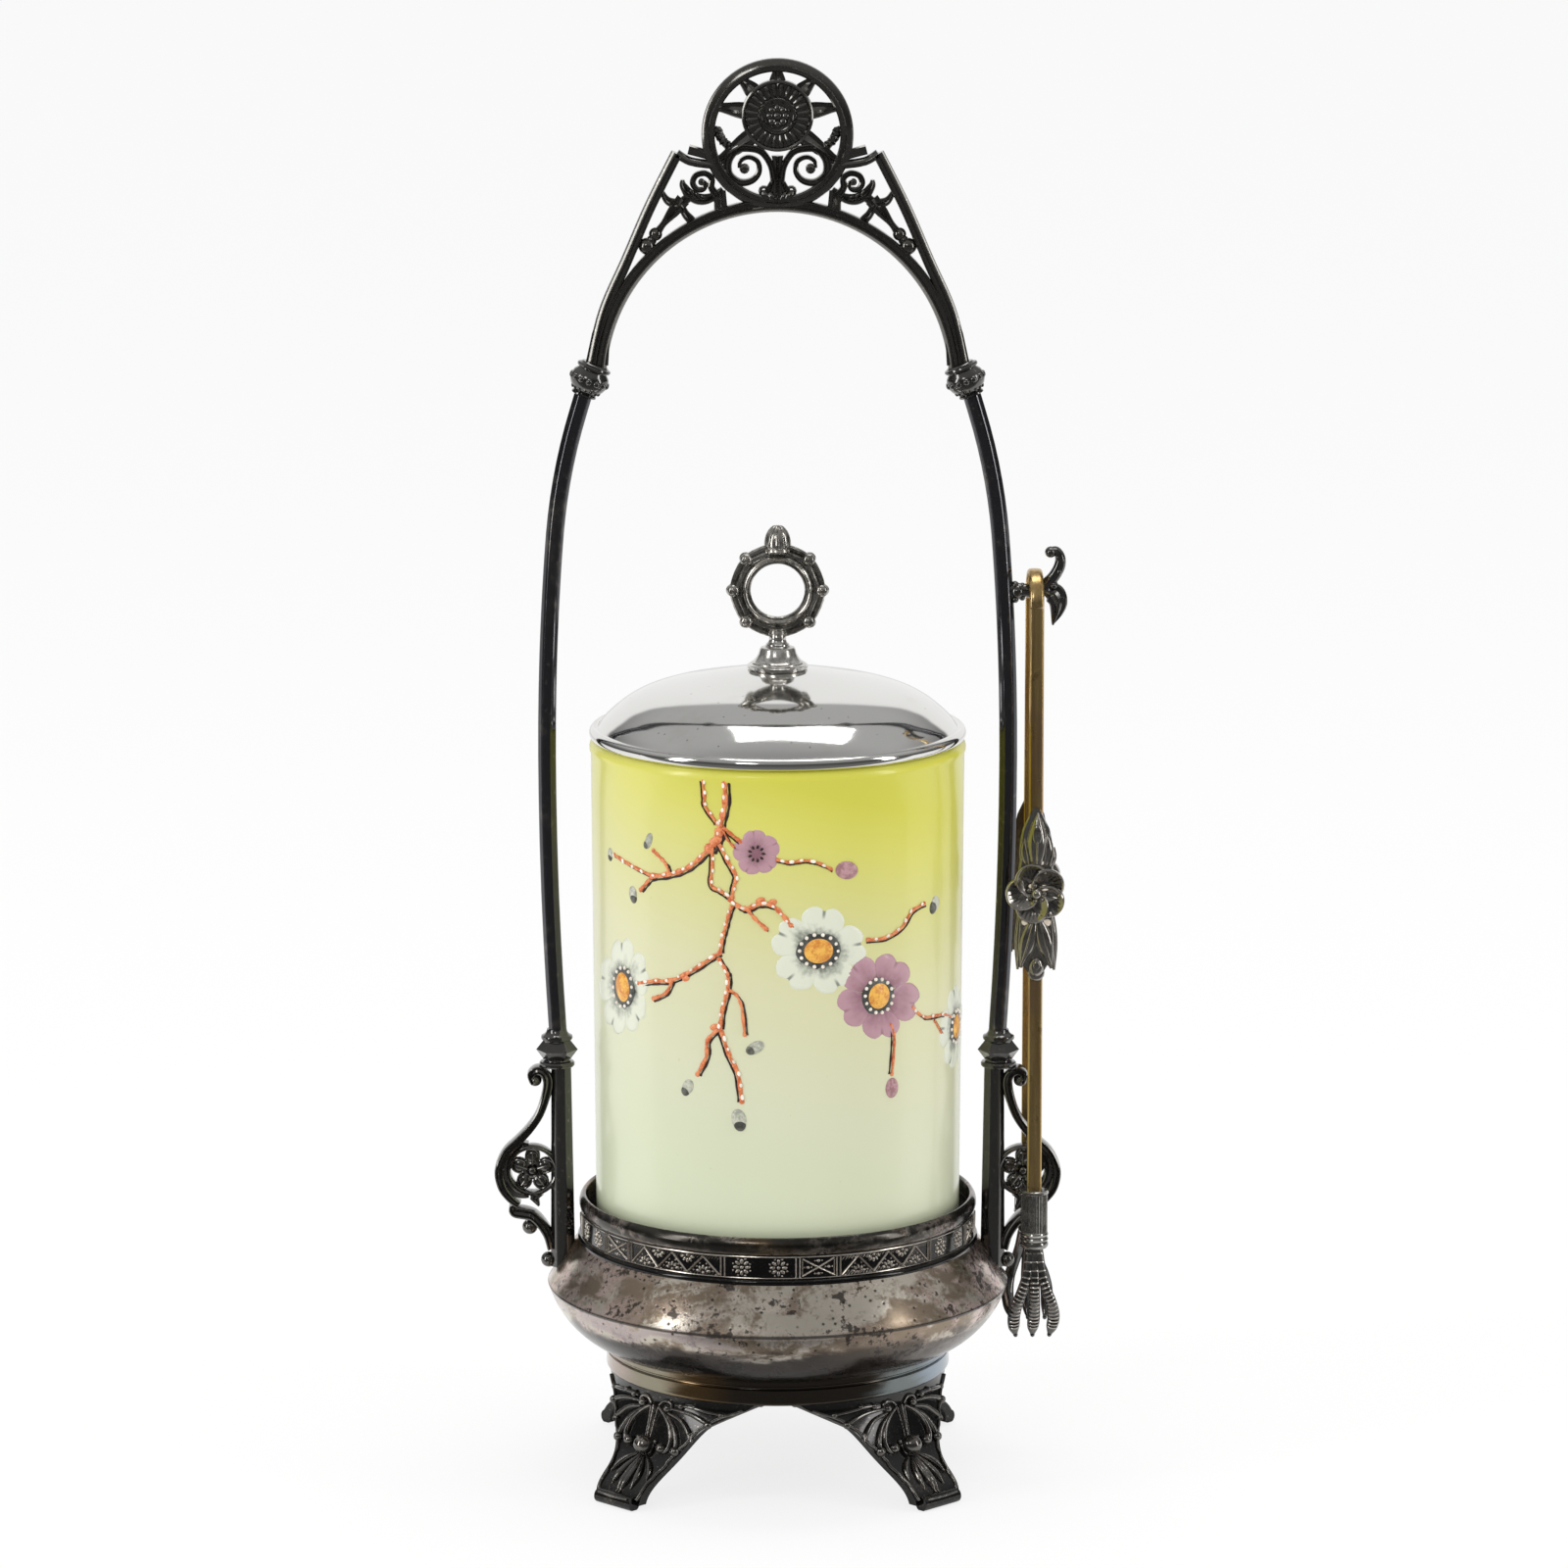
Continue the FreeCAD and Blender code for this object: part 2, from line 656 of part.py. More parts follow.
FINIAL_FOOT_SHARES = (
    ("finial_foot_radius", 1.00, 0.00),
    ("finial_foot_radius", 1.07, 0.11, "bulge"),
    ("finial_foot_radius", 1.00, 0.22),
    ("finial_neck_radius", 2.40, 0.28),
    ("finial_neck_radius", 1.75, 0.50, "bulge"),
    ("finial_neck_radius", 1.45, 0.72),
    ("finial_neck_radius", 1.60, 0.78),
    ("finial_neck_radius", 1.25, 0.84),
    ("finial_neck_radius", 1.10, 1.00),
    (None, 0.00, 1.00),
)
FRAME_DEPTH_SHARE = 1.5
KNOB_OUT_SHARE = 0.5
ACORN_CUP_SHARE = 0.9
ACORN_CUP_HEIGHT_SHARE = 0.18
ACORN_BODY_SHARE = 0.52


def make_finial():
    stud = size.finial_stud_radius
    nut_top = lid_top - size.lid_wall
    stud_end = nut_top - size.finial_nut_height
    shank = [(0, stud_end), (stud, stud_end), (stud, lid_top)]
    foot = section(FINIAL_FOOT_SHARES, lid_top, size.finial_foot_height)
    keep(turned("finial_foot", shank + foot), "finial_foot")
    nut = doc.addObject("Part::Prism", "finial_nut_block")
    nut.Polygon = 6
    nut.setExpression("Circumradius", size.finial_nut_radius.formula)
    nut.setExpression("Height", size.finial_nut_height.formula)
    nut.setExpression("Placement.Base.z", stud_end.formula)
    bore = doc.addObject("Part::Cylinder", "finial_nut_bore")
    bore.setExpression("Radius", stud.formula)
    bore.setExpression("Height", (size.finial_nut_height + size.overrun * 2).formula)
    bore.setExpression("Placement.Base.z", (stud_end - size.overrun).formula)
    cut = doc.addObject("Part::Cut", "finial_nut")
    cut.Base = nut
    cut.Tool = bore
    keep(cut, "finial_nut")
    make_finial_ring(float(lid_top + size.finial_foot_height))


def make_finial_ring(foot_height):
    """The finger ring: a round inner bar in an eight-sided frame, with an acorn on top."""
    frame = float(size.finial_frame_radius)
    flat_reach = float(size.finial_frame_flat)
    inner_bar = float(size.finial_ring_bar)
    centre = V(0, 0, foot_height + flat_reach)
    hole = float(size.finial_ring_radius) + inner_bar
    corners = []
    for number in range(9):
        angle = number * math.pi / 4
        corners.append(centre + V(math.cos(angle) * frame, 0, math.sin(angle) * frame))
    plate = thick(Part.Face(Part.makePolygon(corners)), inner_bar * FRAME_DEPTH_SHARE)
    level = Part.makeBox(frame * 2, frame * 2, flat_reach * 2, centre - V(frame, frame, flat_reach))
    pieces = [plate.common(level).cut(disc(centre, hole, frame)),
              Part.makeTorus(hole, inner_bar, centre, Y_AXIS)]
    for number in (0, 1, 3, 4, 5, 7):
        angle = number * math.pi / 4
        reach = frame - float(size.finial_knob_radius) * KNOB_OUT_SHARE
        spot = centre + V(math.cos(angle) * reach, 0, math.sin(angle) * reach)
        pieces.append(ball(spot, size.finial_knob_radius))
    pieces.extend(acorn_pieces(float(centre.z) + flat_reach))
    shape = pieces[0]
    for piece in pieces[1:]:
        shape = shape.fuse(piece)
    cast("finial_ring", shape.removeSplitter())


def acorn_pieces(foot):
    """An acorn that stands on the ring: a short cup, a round body and a domed top."""
    wide = float(size.finial_acorn_radius)
    high = float(size.finial_acorn_height)
    cup = high * ACORN_CUP_HEIGHT_SHARE
    sunk = foot - float(size.finial_ring_bar) / 2
    body_height = high * ACORN_BODY_SHARE
    side = Part.makeCone(wide * ACORN_CUP_SHARE, wide, body_height - cup, V(0, 0, foot + cup))
    dome = Part.makeSphere(wide, V(0, 0, foot + body_height), Z_AXIS, 0, 90, 360)
    return [Part.makeCylinder(wide * ACORN_CUP_SHARE, foot + cup - sunk, V(0, 0, sunk)), side, dome]


# Handle

COLLAR_SHARES = (
    (None, 0.00, 0.00),
    ("collar_foot_radius", 1.00, 0.00),
    ("collar_foot_radius", 1.07, 0.10, "bulge"),
    ("collar_foot_radius", 1.00, 0.20),
    ("collar_waist_radius", 1.15, 0.26),
    ("collar_radius", 1.00, 0.52),
    ("collar_waist_radius", 1.10, 0.76),
    ("collar_waist_radius", 1.00, 0.82),
    ("collar_top_radius", 1.00, 0.87),
    ("collar_top_radius", 1.00, 0.96),
    ("collar_top_radius", 0.85, 1.00),
    (None, 0.00, 1.00),
)
KNOP_SHARES = (
    (None, 0.00, 0.00),
    ("knop_neck_radius", 1.00, 0.00),
    ("knop_neck_radius", 1.15, 0.08),
    ("knop_neck_radius", 0.95, 0.16),
    ("knop_radius", 0.77, 0.30),
    ("knop_radius", 0.90, 0.50, "bulge"),
    ("knop_radius", 0.77, 0.72),
    ("knop_neck_radius", 1.10, 0.80),
    ("knop_flange_radius", 1.00, 0.84),
    ("knop_flange_radius", 1.00, 0.94),
    ("knop_flange_radius", 0.85, 1.00),
    (None, 0.00, 1.00),
)
KNOP_BEADS = 12


def post_cone():
    """The right post: a cone that leans out a little."""
    foot = V(float(post_foot_reach), 0, float(gallery_foot - size.post_seat_drop))
    top = V(float(post_top_reach), 0, float(post_top))
    along = top - foot
    cone = Part.makeCone(float(size.post_foot_radius), float(size.post_top_radius),
                         along.Length + float(size.overrun), foot, along)
    reach = float(bowl_radius)
    lid = Part.makeBox(reach * 2, reach, reach, V(0, -reach / 2, float(post_top)))
    return cone.cut(lid)


def make_posts():
    clear = float(gallery_radius + size.gallery_bead + size.floor_play)
    gallery = Part.makeCylinder(clear, float(size.post_height), V(0, 0, float(gallery_foot)))
    post = post_cone().cut(bowl_block()).cut(gallery)
    cast("post_right", post)
    cast("post_left", mirrored(post))


def make_collars():
    for name, side in (("collar_right", 1), ("collar_left", -1)):
        body = turned(name, section(COLLAR_SHARES, post_top, size.collar_height))
        body.setExpression("Placement.Base.x", (collar_reach * side).formula)
        keep(body, name)


class RodLine:
    """The right rod's line: three arcs that run into one another without a corner."""

    def __init__(self):
        reach = float(rod_reach)
        belly = V(reach, 0, float(rod_belly))
        low_bend = float(size.rod_low_bend)
        low_run = float(size.rod_belly_height + size.overrun)
        self.foot = self.on_arc(belly, low_bend, 0.0, -math.asin(low_run / low_bend))
        low_mid = self.on_arc(belly, low_bend, 0.0, -math.asin(low_run / low_bend) / 2)
        high_bend = float(size.rod_high_bend)
        turn = math.asin(float(size.rod_high_run) / high_bend)
        knee = self.on_arc(belly, high_bend, 0.0, turn)
        high_mid = self.on_arc(belly, high_bend, 0.0, turn / 2)
        top_bend = float(size.rod_top_bend)
        full = math.asin(math.sin(turn) + float(size.rod_top_run) / top_bend)
        self.top = self.on_arc(knee, top_bend, turn, full)
        top_mid = self.on_arc(knee, top_bend, turn, (turn + full) / 2)
        self.lean = full
        arcs = (Part.Arc(self.foot, low_mid, belly), Part.Arc(belly, high_mid, knee),
                Part.Arc(knee, top_mid, self.top))
        self.wire = Part.Wire([arc.toShape() for arc in arcs])

    def on_arc(self, start, bend, lean_from, lean_to):
        """A point further along an arc that leans towards the axis of the object."""
        inward = bend * (math.cos(lean_from) - math.cos(lean_to))
        rise = bend * (math.sin(lean_to) - math.sin(lean_from))
        return V(start.x - inward, 0, start.z + rise)

    def reach_at(self, level):
        """How far out the line is at a height."""
        across = Part.makeLine(V(0, 0, level), V(float(bowl_radius), 0, level))
        return self.wire.distToShape(across)[1][0][0].x

    def along(self, distance):
        """A point on the line's straight run past its top."""
        return self.top + V(-math.sin(self.lean), 0, math.cos(self.lean)) * distance


rod_line = RodLine()


def rod_along_line():
    edge = rod_line.wire.Edges[0]
    direction = edge.tangentAt(edge.FirstParameter)
    circle = Part.Wire(Part.makeCircle(float(size.rod_radius), rod_line.foot, direction))
    return rod_line.wire.makePipeShell([circle], True, False)


def make_rods():
    rod = rod_along_line()
    reach = float(bowl_radius)
    below = Part.makeBox(reach * 2, reach, reach, V(0, -reach / 2, float(collar_top) - reach))
    rod = rod.cut(below)
    cast("side_rod_right", rod)
    cast("side_rod_left", mirrored(rod))


def make_knops():
    lean = math.degrees(rod_line.lean)
    for name, side in (("knop_right", 1), ("knop_left", -1)):
        core = turned(name + "_core", section(KNOP_SHARES, 0, size.knop_height))
        doc.recompute()
        orbit = float(size.knop_radius - size.knop_bead)
        middle = float(size.knop_height) / 2
        beads = []
        for number in range(KNOP_BEADS):
            angle = number * math.pi * 2 / KNOP_BEADS
            spot = V(math.cos(angle) * orbit, math.sin(angle) * orbit, middle)
            beads.append(ball(spot, size.knop_bead))
        turn = FreeCAD.Rotation(Y_AXIS, -lean * side)
        place = FreeCAD.Placement(V(rod_line.top.x * side, 0, rod_line.top.z), turn)
        cast(name, core.Shape.fuse(beads), place)


# Crest, a pierced casting


def in_ring(centre, x_share, z_share):
    radius = float(size.crest_ring_radius)
    return V(centre.x + x_share * radius, 0, centre.z + z_share * radius)


VOLUTE_SHARES = ((0.05, -0.62), (0.10, -0.36), (0.23, -0.21), (0.41, -0.165), (0.57, -0.22),
                 (0.645, -0.40), (0.59, -0.56), (0.45, -0.60), (0.32, -0.545), (0.27, -0.43),
                 (0.34, -0.315), (0.44, -0.31), (0.50, -0.40))
VOLUTE_CENTRE_SHARE = (0.432, -0.45)
SUNRAY_ANGLES = (90, 135, 45, 172, 8, 218, 322)
SIDE_TOP_SHARES = ((1.325, -0.23), (1.15, -0.355), (0.84, -0.40))
SIDE_CRESCENT_SHARES = ((1.24, -0.62), (1.19, -0.77), (1.01, -0.85), (0.85, -0.83), (0.73, -0.74))
SIDE_CURL_SHARE = (0.992, -0.627)
SIDE_STUB_SHARES = ((0.76, -0.74), (0.745, -1.03))
SIDE_LEAF_SHARES = ((1.515, -0.76), (1.43, -0.88), (1.29, -0.90))
SIDE_LINK_SHARES = ((1.30, -0.93), (1.13, -0.80))
SIDE_BRANCH_SHARES = ((1.26, -0.92), (1.185, -1.08), (1.06, -1.22))
SIDE_SPINDLE_SHARES = ((1.25, -0.89), (1.60, -1.31))
SIDE_SMALL_BALL_SHARE = (1.607, -1.319)
SIDE_LARGE_BALL_SHARE = (1.72, -1.48)
KNOT_DEPTH_SHARE = 1.2
SIDE_BLOCK_SHARES = ((1.17, -0.24), (0.90, -0.28))
SIDE_PEAK_SHARE = (1.325, -0.25)
SIDE_BAR_MIDDLE_SHARE = (1.975, -1.66)
RAY_SEAT_SHARE = 0.8
RAY_ROOT_SHARE, RAY_TIP_SHARE = 2.0, 0.7
EYE_SHARE, EYE_DEPTH_SHARE = 0.9, 0.8
PALMETTE_ROOT, PALMETTE_TIP = (0, -0.78), (0, -0.25)
PALMETTE_DISC_SHARE = 1.9
PALMETTE_TIP_SHARE, PALMETTE_ROOT_SHARE = 2.2, 1.1
SIDE_TOP_BAR_SHARE = 0.85
SIDE_BLOCK_BAR_SHARE = 2.2
SIDE_SCROLL_BAR_SHARE = 1.2
SIDE_CURL_RADIUS_SHARE, SIDE_CURL_BAR_SHARE, SIDE_CURL_STEM_SHARE = 1.55, 0.75, 2.1
SIDE_STUB_BAR_SHARE, SIDE_STUB_TIP_SHARE = 1.8, 1.1
SIDE_LINK_BAR_SHARE = 1.3
SIDE_BRANCH_BAR_SHARE = 1.1
SIDE_SPINDLE_BAR_SHARE = 2.0
SIDE_SMALL_BALL_RADIUS_SHARE = 0.9
SIDE_FOOT_SHARE = 0.55


def ring_filling(centre):
    """Sunburst disc with its rays, scrolls and palmette inside the ring."""
    trim = size.crest_trim_bar
    depth = size.crest_trim_depth
    sun = centre + Z_AXIS * float(size.rosette_rise)
    boss_depth = float(size.rosette_depth) + 2 * float(size.rosette_boss_rise)
    pieces = [disc(sun, size.rosette_radius, size.rosette_depth),
              disc(sun, size.rosette_boss_radius, boss_depth)]
    ring_inside = float(size.crest_ring_radius) - float(size.crest_ring_bar) / 2
    for angle in SUNRAY_ANGLES:
        towards = V(math.cos(math.radians(angle)), 0, math.sin(math.radians(angle)))
        start = sun + towards * (float(size.rosette_radius) * RAY_SEAT_SHARE)
        offset = sun - centre
        across = towards.dot(offset)
        length = -across + math.sqrt(across ** 2 + ring_inside ** 2 - offset.Length ** 2)
        end = sun + towards * length
        pieces.append(straight_bar(start, end, trim * RAY_ROOT_SHARE, depth, trim * RAY_TIP_SHARE))
    for side in (1, -1):
        points = [in_ring(centre, x * side, z) for x, z in VOLUTE_SHARES]
        pieces.append(scroll(points, trim, depth))
        middle = in_ring(centre, VOLUTE_CENTRE_SHARE[0] * side, VOLUTE_CENTRE_SHARE[1])
        pieces.append(disc(middle, float(trim) * EYE_SHARE, float(depth) * EYE_DEPTH_SHARE))
    root = in_ring(centre, *PALMETTE_ROOT)
    pieces.append(disc(root, float(trim) * PALMETTE_DISC_SHARE, depth))
    pieces.append(straight_bar(root, in_ring(centre, *PALMETTE_TIP), trim * PALMETTE_TIP_SHARE, depth,
                               trim * PALMETTE_ROOT_SHARE))
    return pieces


def side_spray(centre):
    """The scrolls and leaves between the ring, the arch and the right side bar."""
    trim = size.crest_trim_bar
    depth = size.crest_trim_depth

    def at(share):
        return in_ring(centre, share[0], share[1])

    curl = at(SIDE_CURL_SHARE)
    return [
        scroll([at(share) for share in SIDE_TOP_SHARES], size.crest_side_bar * SIDE_TOP_BAR_SHARE,
               size.arch_depth),
        straight_bar(at(SIDE_BLOCK_SHARES[0]), at(SIDE_BLOCK_SHARES[1]), trim * SIDE_BLOCK_BAR_SHARE,
                     depth),
        scroll([at(share) for share in SIDE_CRESCENT_SHARES], trim * SIDE_SCROLL_BAR_SHARE, depth),
        hoop(curl, trim * SIDE_CURL_RADIUS_SHARE, trim * SIDE_CURL_BAR_SHARE, depth),
        disc(curl, trim, trim),
        straight_bar(curl - Z_AXIS * float(trim), curl - Z_AXIS * (float(trim) * SIDE_CURL_STEM_SHARE),
                     trim, depth),
        straight_bar(at(SIDE_STUB_SHARES[0]), at(SIDE_STUB_SHARES[1]), trim * SIDE_STUB_BAR_SHARE, depth,
                     trim * SIDE_STUB_TIP_SHARE),
        scroll([at(share) for share in SIDE_LEAF_SHARES], trim * SIDE_SCROLL_BAR_SHARE, depth),
        straight_bar(at(SIDE_LINK_SHARES[0]), at(SIDE_LINK_SHARES[1]), trim * SIDE_LINK_BAR_SHARE, depth),
        scroll([at(share) for share in SIDE_BRANCH_SHARES], trim * SIDE_BRANCH_BAR_SHARE, depth),
        straight_bar(at(SIDE_SPINDLE_SHARES[0]), at(SIDE_SPINDLE_SHARES[1]),
                     trim * SIDE_SPINDLE_BAR_SHARE, depth, trim * 1.0),
        disc(at(SIDE_SMALL_BALL_SHARE), trim * SIDE_SMALL_BALL_RADIUS_SHARE, depth * KNOT_DEPTH_SHARE),
        disc(at(SIDE_LARGE_BALL_SHARE), size.crest_ball, depth * KNOT_DEPTH_SHARE),
    ]


def make_crest():
    arch_centre = V(0, 0, rod_line.top.z + float(size.arch_centre_height))
    clear = rod_line.top.x - float(size.arch_inset)
    bar = float(size.arch_bar)
    middle = clear + bar / 2
    low = rod_line.top.z + float(size.knop_height) / 2
    fall = math.asin((low - arch_centre.z) / middle)
    foot = V(math.cos(fall) * middle, 0, low)
    crown = arch_centre + Z_AXIS * middle
    left_foot = V(-foot.x, 0, foot.z)
    ring_rise = clear + bar - float(size.crest_ring_sink) + float(size.crest_ring_radius)
    centre = arch_centre + Z_AXIS * ring_rise
    pieces = [scroll([left_foot, crown, foot], bar, size.arch_depth),
              hoop(centre, size.crest_ring_radius, size.crest_ring_bar, size.crest_ring_depth)]
    knop_top = rod_line.along(float(size.knop_height))
    side_foot = rod_line.along(float(size.knop_height) / 2)
    side_foot = side_foot + X_AXIS * (float(size.crest_side_bar) * SIDE_FOOT_SHARE)
    peak = in_ring(centre, *SIDE_PEAK_SHARE)
    bend = in_ring(centre, *SIDE_BAR_MIDDLE_SHARE)
    right = [scroll([side_foot, bend, peak], size.crest_side_bar, size.arch_depth)]
    right.extend(side_spray(centre))
    pieces.extend(ring_filling(centre))
    pieces.extend(right)
    pieces.extend([mirrored(piece) for piece in right])
    reach = clear
    shape = joined(pieces).cut(disc(arch_centre, clear, reach))
    for side in (1, -1):
        seat = Part.makeBox(reach, reach, reach, V(-reach / 2, -reach / 2, -reach))
        turn = FreeCAD.Rotation(Y_AXIS, -math.degrees(rod_line.lean) * side)
        seat.Placement = FreeCAD.Placement(V(knop_top.x * side, 0, knop_top.z), turn).multiply(
            seat.Placement)
        shape = shape.cut(seat)
    cast("handle_crest", shape)


# Scroll brackets

BRACKET_BAR_SHARES = (
    # reach between ring centre and outermost point, height from ring centre over the drop
    (0.02, 0.915), (-0.17, 0.955), (-0.38, 0.90), (-0.34, 0.75), (-0.20, 0.535),
    (0.06, 0.395), (0.36, 0.275), (0.73, 0.135), (0.885, -0.05), (0.73, -0.215), (0.42, -0.315),
)
BRACKET_FOOT_SHARES = ((0.47, -0.36), (0.0, -0.425), (-0.33, -0.55), (-0.46, -0.66), (-0.52, -0.78))
BRACKET_BALL_SHARES = ((0.06, -0.55), (-0.40, -0.862))
BRACKET_CURL_SHARE = (-0.11, 0.88)
FLOWER_MIDDLE_SHARE = 1.2
PETAL_SEAT_SHARE = 0.85
BRACKET_LEAF_SHARES = ((-0.12, -0.22), (-0.20, -0.335))


def bracket_shape():
    """The right scroll bracket, cut to lie against the post and under the collar."""
    reach = float(bracket_ring_reach)
    wide = float(bracket_reach) - reach
    drop = float(size.bracket_ring_drop)
    centre = V(reach, 0, float(post_top) - drop)
    depth = size.bracket_depth

    def at(share):
        return V(centre.x + share[0] * wide, 0, centre.z + share[1] * drop)

    pieces = [
        scroll([at(share) for share in BRACKET_BAR_SHARES], size.bracket_bar, depth),
        scroll([at(share) for share in BRACKET_FOOT_SHARES], size.bracket_foot_bar, depth),
        hoop(centre, size.bracket_ring_radius, size.bracket_ring_bar, depth),
        disc(at(BRACKET_CURL_SHARE), float(size.bracket_ball) * 0.8, float(depth) * 1.0),
        straight_bar(at(BRACKET_LEAF_SHARES[0]), at(BRACKET_LEAF_SHARES[1]), size.bracket_bar, depth),
        disc(centre, size.bracket_flower_radius * FLOWER_MIDDLE_SHARE, size.bracket_flower_depth),
    ]
    for share in BRACKET_BALL_SHARES:
        pieces.append(disc(at(share), size.bracket_ball, depth))
    petal = float(size.bracket_flower_radius)
    inner = float(size.bracket_ring_radius) - float(size.bracket_ring_bar)
    for number in range(5):
        angle = math.pi / 2 + number * math.pi * 2 / 5
        spot = centre + V(math.cos(angle), 0, math.sin(angle)) * (inner - petal * PETAL_SEAT_SHARE)
        pieces.append(disc(spot, petal, size.bracket_flower_depth))
    outer_side = float(bracket_reach) - float(size.bracket_bar)
    crescent = hoop(V(centre.x + (outer_side - reach) - inner, 0, centre.z), inner + petal,
                    petal, depth)
    half = Part.makeBox(wide * 2, wide * 2, drop, V(centre.x + petal, -wide, centre.z - drop / 2))
    pieces.append(crescent.common(half))
    shape = joined(pieces)
    above = Part.makeBox(wide * 4, wide * 2, wide * 2, V(reach - wide * 2, -wide, float(post_top)))
    return largest(shape.cut(post_cone()).cut(above).cut(bowl_block()))


def make_brackets():
    shape = bracket_shape()
    cast("scroll_bracket_right", shape)
    cast("scroll_bracket_left", mirrored(shape))


# Hook

HOOK_STEM_SHARE = 0.2
HOOK_TAPER_SHARE = 0.9
HOOK_TIP_SHARE = 0.6
HOOK_CURL_SHARES = ((-0.50, -0.17), (0.0, 0.30), (-0.35, 0.66), (-1.05, 0.62))
HOOK_LEAF_SHARES = ((-1.55, 0.10), (0.20, 0.05), (0.50, -0.40), (0.62, -0.62), (0.05, -0.98),
                    (-0.62, -1.18), (-0.95, -0.70), (-1.40, -0.45))


def make_hook():
    """The hook on the right rod: a stem, a curl that turns back up, and a leaf below it."""
    stem_top = float(size.tongs_top - size.strip_sheet - size.tongs_play)
    high = float(size.hook_stem_height)
    bar = float(size.hook_bar)
    depth = size.hook_depth
    edge = float(hook_reach) - bar / 2
    rise = float(size.hook_rise)
    half_strip = float(size.strip_width) / 2 + float(size.tongs_play)
    tongs = float(tongs_reach)
    past = tongs + half_strip
    middle = stem_top - high / 2
    start = V(rod_line.reach_at(middle), 0, middle)
    end = V(past + bar * HOOK_STEM_SHARE, 0, middle)
    curl = [V(past, 0, middle)]
    for x_share, z_share in HOOK_CURL_SHARES:
        curl.append(V(edge + bar * x_share, 0, stem_top + rise * z_share))
    leaf = [V(edge + bar * x_share, 0, middle + high * z_share) for x_share, z_share in HOOK_LEAF_SHARES]
    shape = joined([
        straight_bar(start, end, high, depth, high * HOOK_TAPER_SHARE),
        scroll(curl, bar, depth),
        thick(Part.Face(Part.makePolygon(leaf + leaf[:1])), depth),
        disc(curl[-1], bar * HOOK_TIP_SHARE, depth),
    ])
    reach = float(size.bow_radius)
    strip_space = Part.makeBox(half_strip * 2, reach * 4, rise * 2,
                               V(tongs - half_strip, -reach * 2, stem_top))
    shape = shape.cut(strip_space).cut(rod_along_line())
    cast("tongs_hook", largest(shape))


# Tongs

ARM_SPLAY_DEGREES = 1.4
TONGS_TURN_DEGREES = 2.0
FERRULE_RING_SHARE = 0.07
FERRULE_RING_SHARES = (0.0, 0.62, 0.80, 0.93)
CLAW_ROOT_SHARE = 0.9
TIP_BEND_POWER = 4
FINGER_LEVEL_SHARES = (
    # depth below the ferrule, bulge outwards, reach sideways, width
    (0.00, 0.00, 0.20, 0.75),
    (0.28, -0.75, 0.42, 1.00),
    (0.46, -0.98, 0.62, 1.00),
    (0.60, -1.00, 0.82, 1.00),
    (0.75, -0.70, 1.00, 0.98),
    (0.90, -0.15, 0.97, 0.85),
    (1.00, 0.00, 0.88, 0.45),
)
FLOWER_CUP_SHARE = 0.5
FLOWER_CUP_DEPTH_SHARE = 0.6
PETAL_REACH_SHARE = 0.55
PETAL_FOOT_SHARE = 0.36
PETAL_RIM_SHARE = 0.45
LEAF_START_SHARE = 0.8
BUD_TOP_SHARES = ((0.95, 0.0), (1.0, 0.12), (0.92, 0.35), (0.62, 0.68), (0.45, 0.93), (0.0, 1.0))
BUD_FOOT_SHARES = ((1.08, 0.0), (1.12, 0.10), (1.10, 0.76), (1.0, 0.80), (0.54, 0.52),
                   (0.50, 0.85), (0.30, 1.0), (0.0, 1.03))


def hinge_height():
    return float(size.tongs_top - size.bow_radius)


def make_bow():
    """The bow over the hook: half a hoop of strip, in the YZ plane."""
    outer = float(size.bow_radius)
    inner = outer - float(size.strip_sheet)
    width = float(size.strip_width)
    foot = V(-width / 2, 0, 0)
    hoop_shape = Part.makeCylinder(outer, width, foot, X_AXIS).cut(
        Part.makeCylinder(inner, width, foot, X_AXIS))
    low = Part.makeBox(width * 3, outer * 4, outer * 2, V(-width * 1.5, -outer * 2, -outer * 2))
    cast("tongs_bow", hoop_shape.cut(low), tongs_place())


def tongs_place():
    """The hanging tongs' own frame: on the hook, turned a little about the vertical."""
    turn = FreeCAD.Rotation(Z_AXIS, TONGS_TURN_DEGREES)
    return FreeCAD.Placement(V(float(tongs_reach), 0, hinge_height()), turn)


def arm_place(side):
    """Where an arm's own frame lies: its top at the bow's end, leaning out."""
    turn = FreeCAD.Rotation(X_AXIS, ARM_SPLAY_DEGREES * side)
    if side > 0:
        turn = turn.multiply(FreeCAD.Rotation(Z_AXIS, 180))
    reach = float(size.bow_radius) - float(size.strip_sheet) / 2
    return tongs_place().multiply(FreeCAD.Placement(V(0, reach * side, 0), turn))


def arm_shape():
    """A strip that hangs down from its hinge line; its outer face looks along -Y."""
    width = float(size.strip_width)
    sheet = float(size.strip_sheet)
    drop = float(size.arm_length)
    long = drop - float(size.arm_gap)
    return Part.makeBox(width, sheet, long, V(-width / 2, -sheet / 2, -drop))


def ferrule_shape():
    radius = float(size.ferrule_radius)
    long = float(size.ferrule_length)
    top = -float(size.arm_length)
    ring = long * FERRULE_RING_SHARE
    pieces = [Part.makeCylinder(radius - float(size.ferrule_bead), long, V(0, 0, top - long))]
    for share in FERRULE_RING_SHARES:
        pieces.append(Part.makeCylinder(radius, ring, V(0, 0, top - long * share - ring)))
    return joined(pieces)


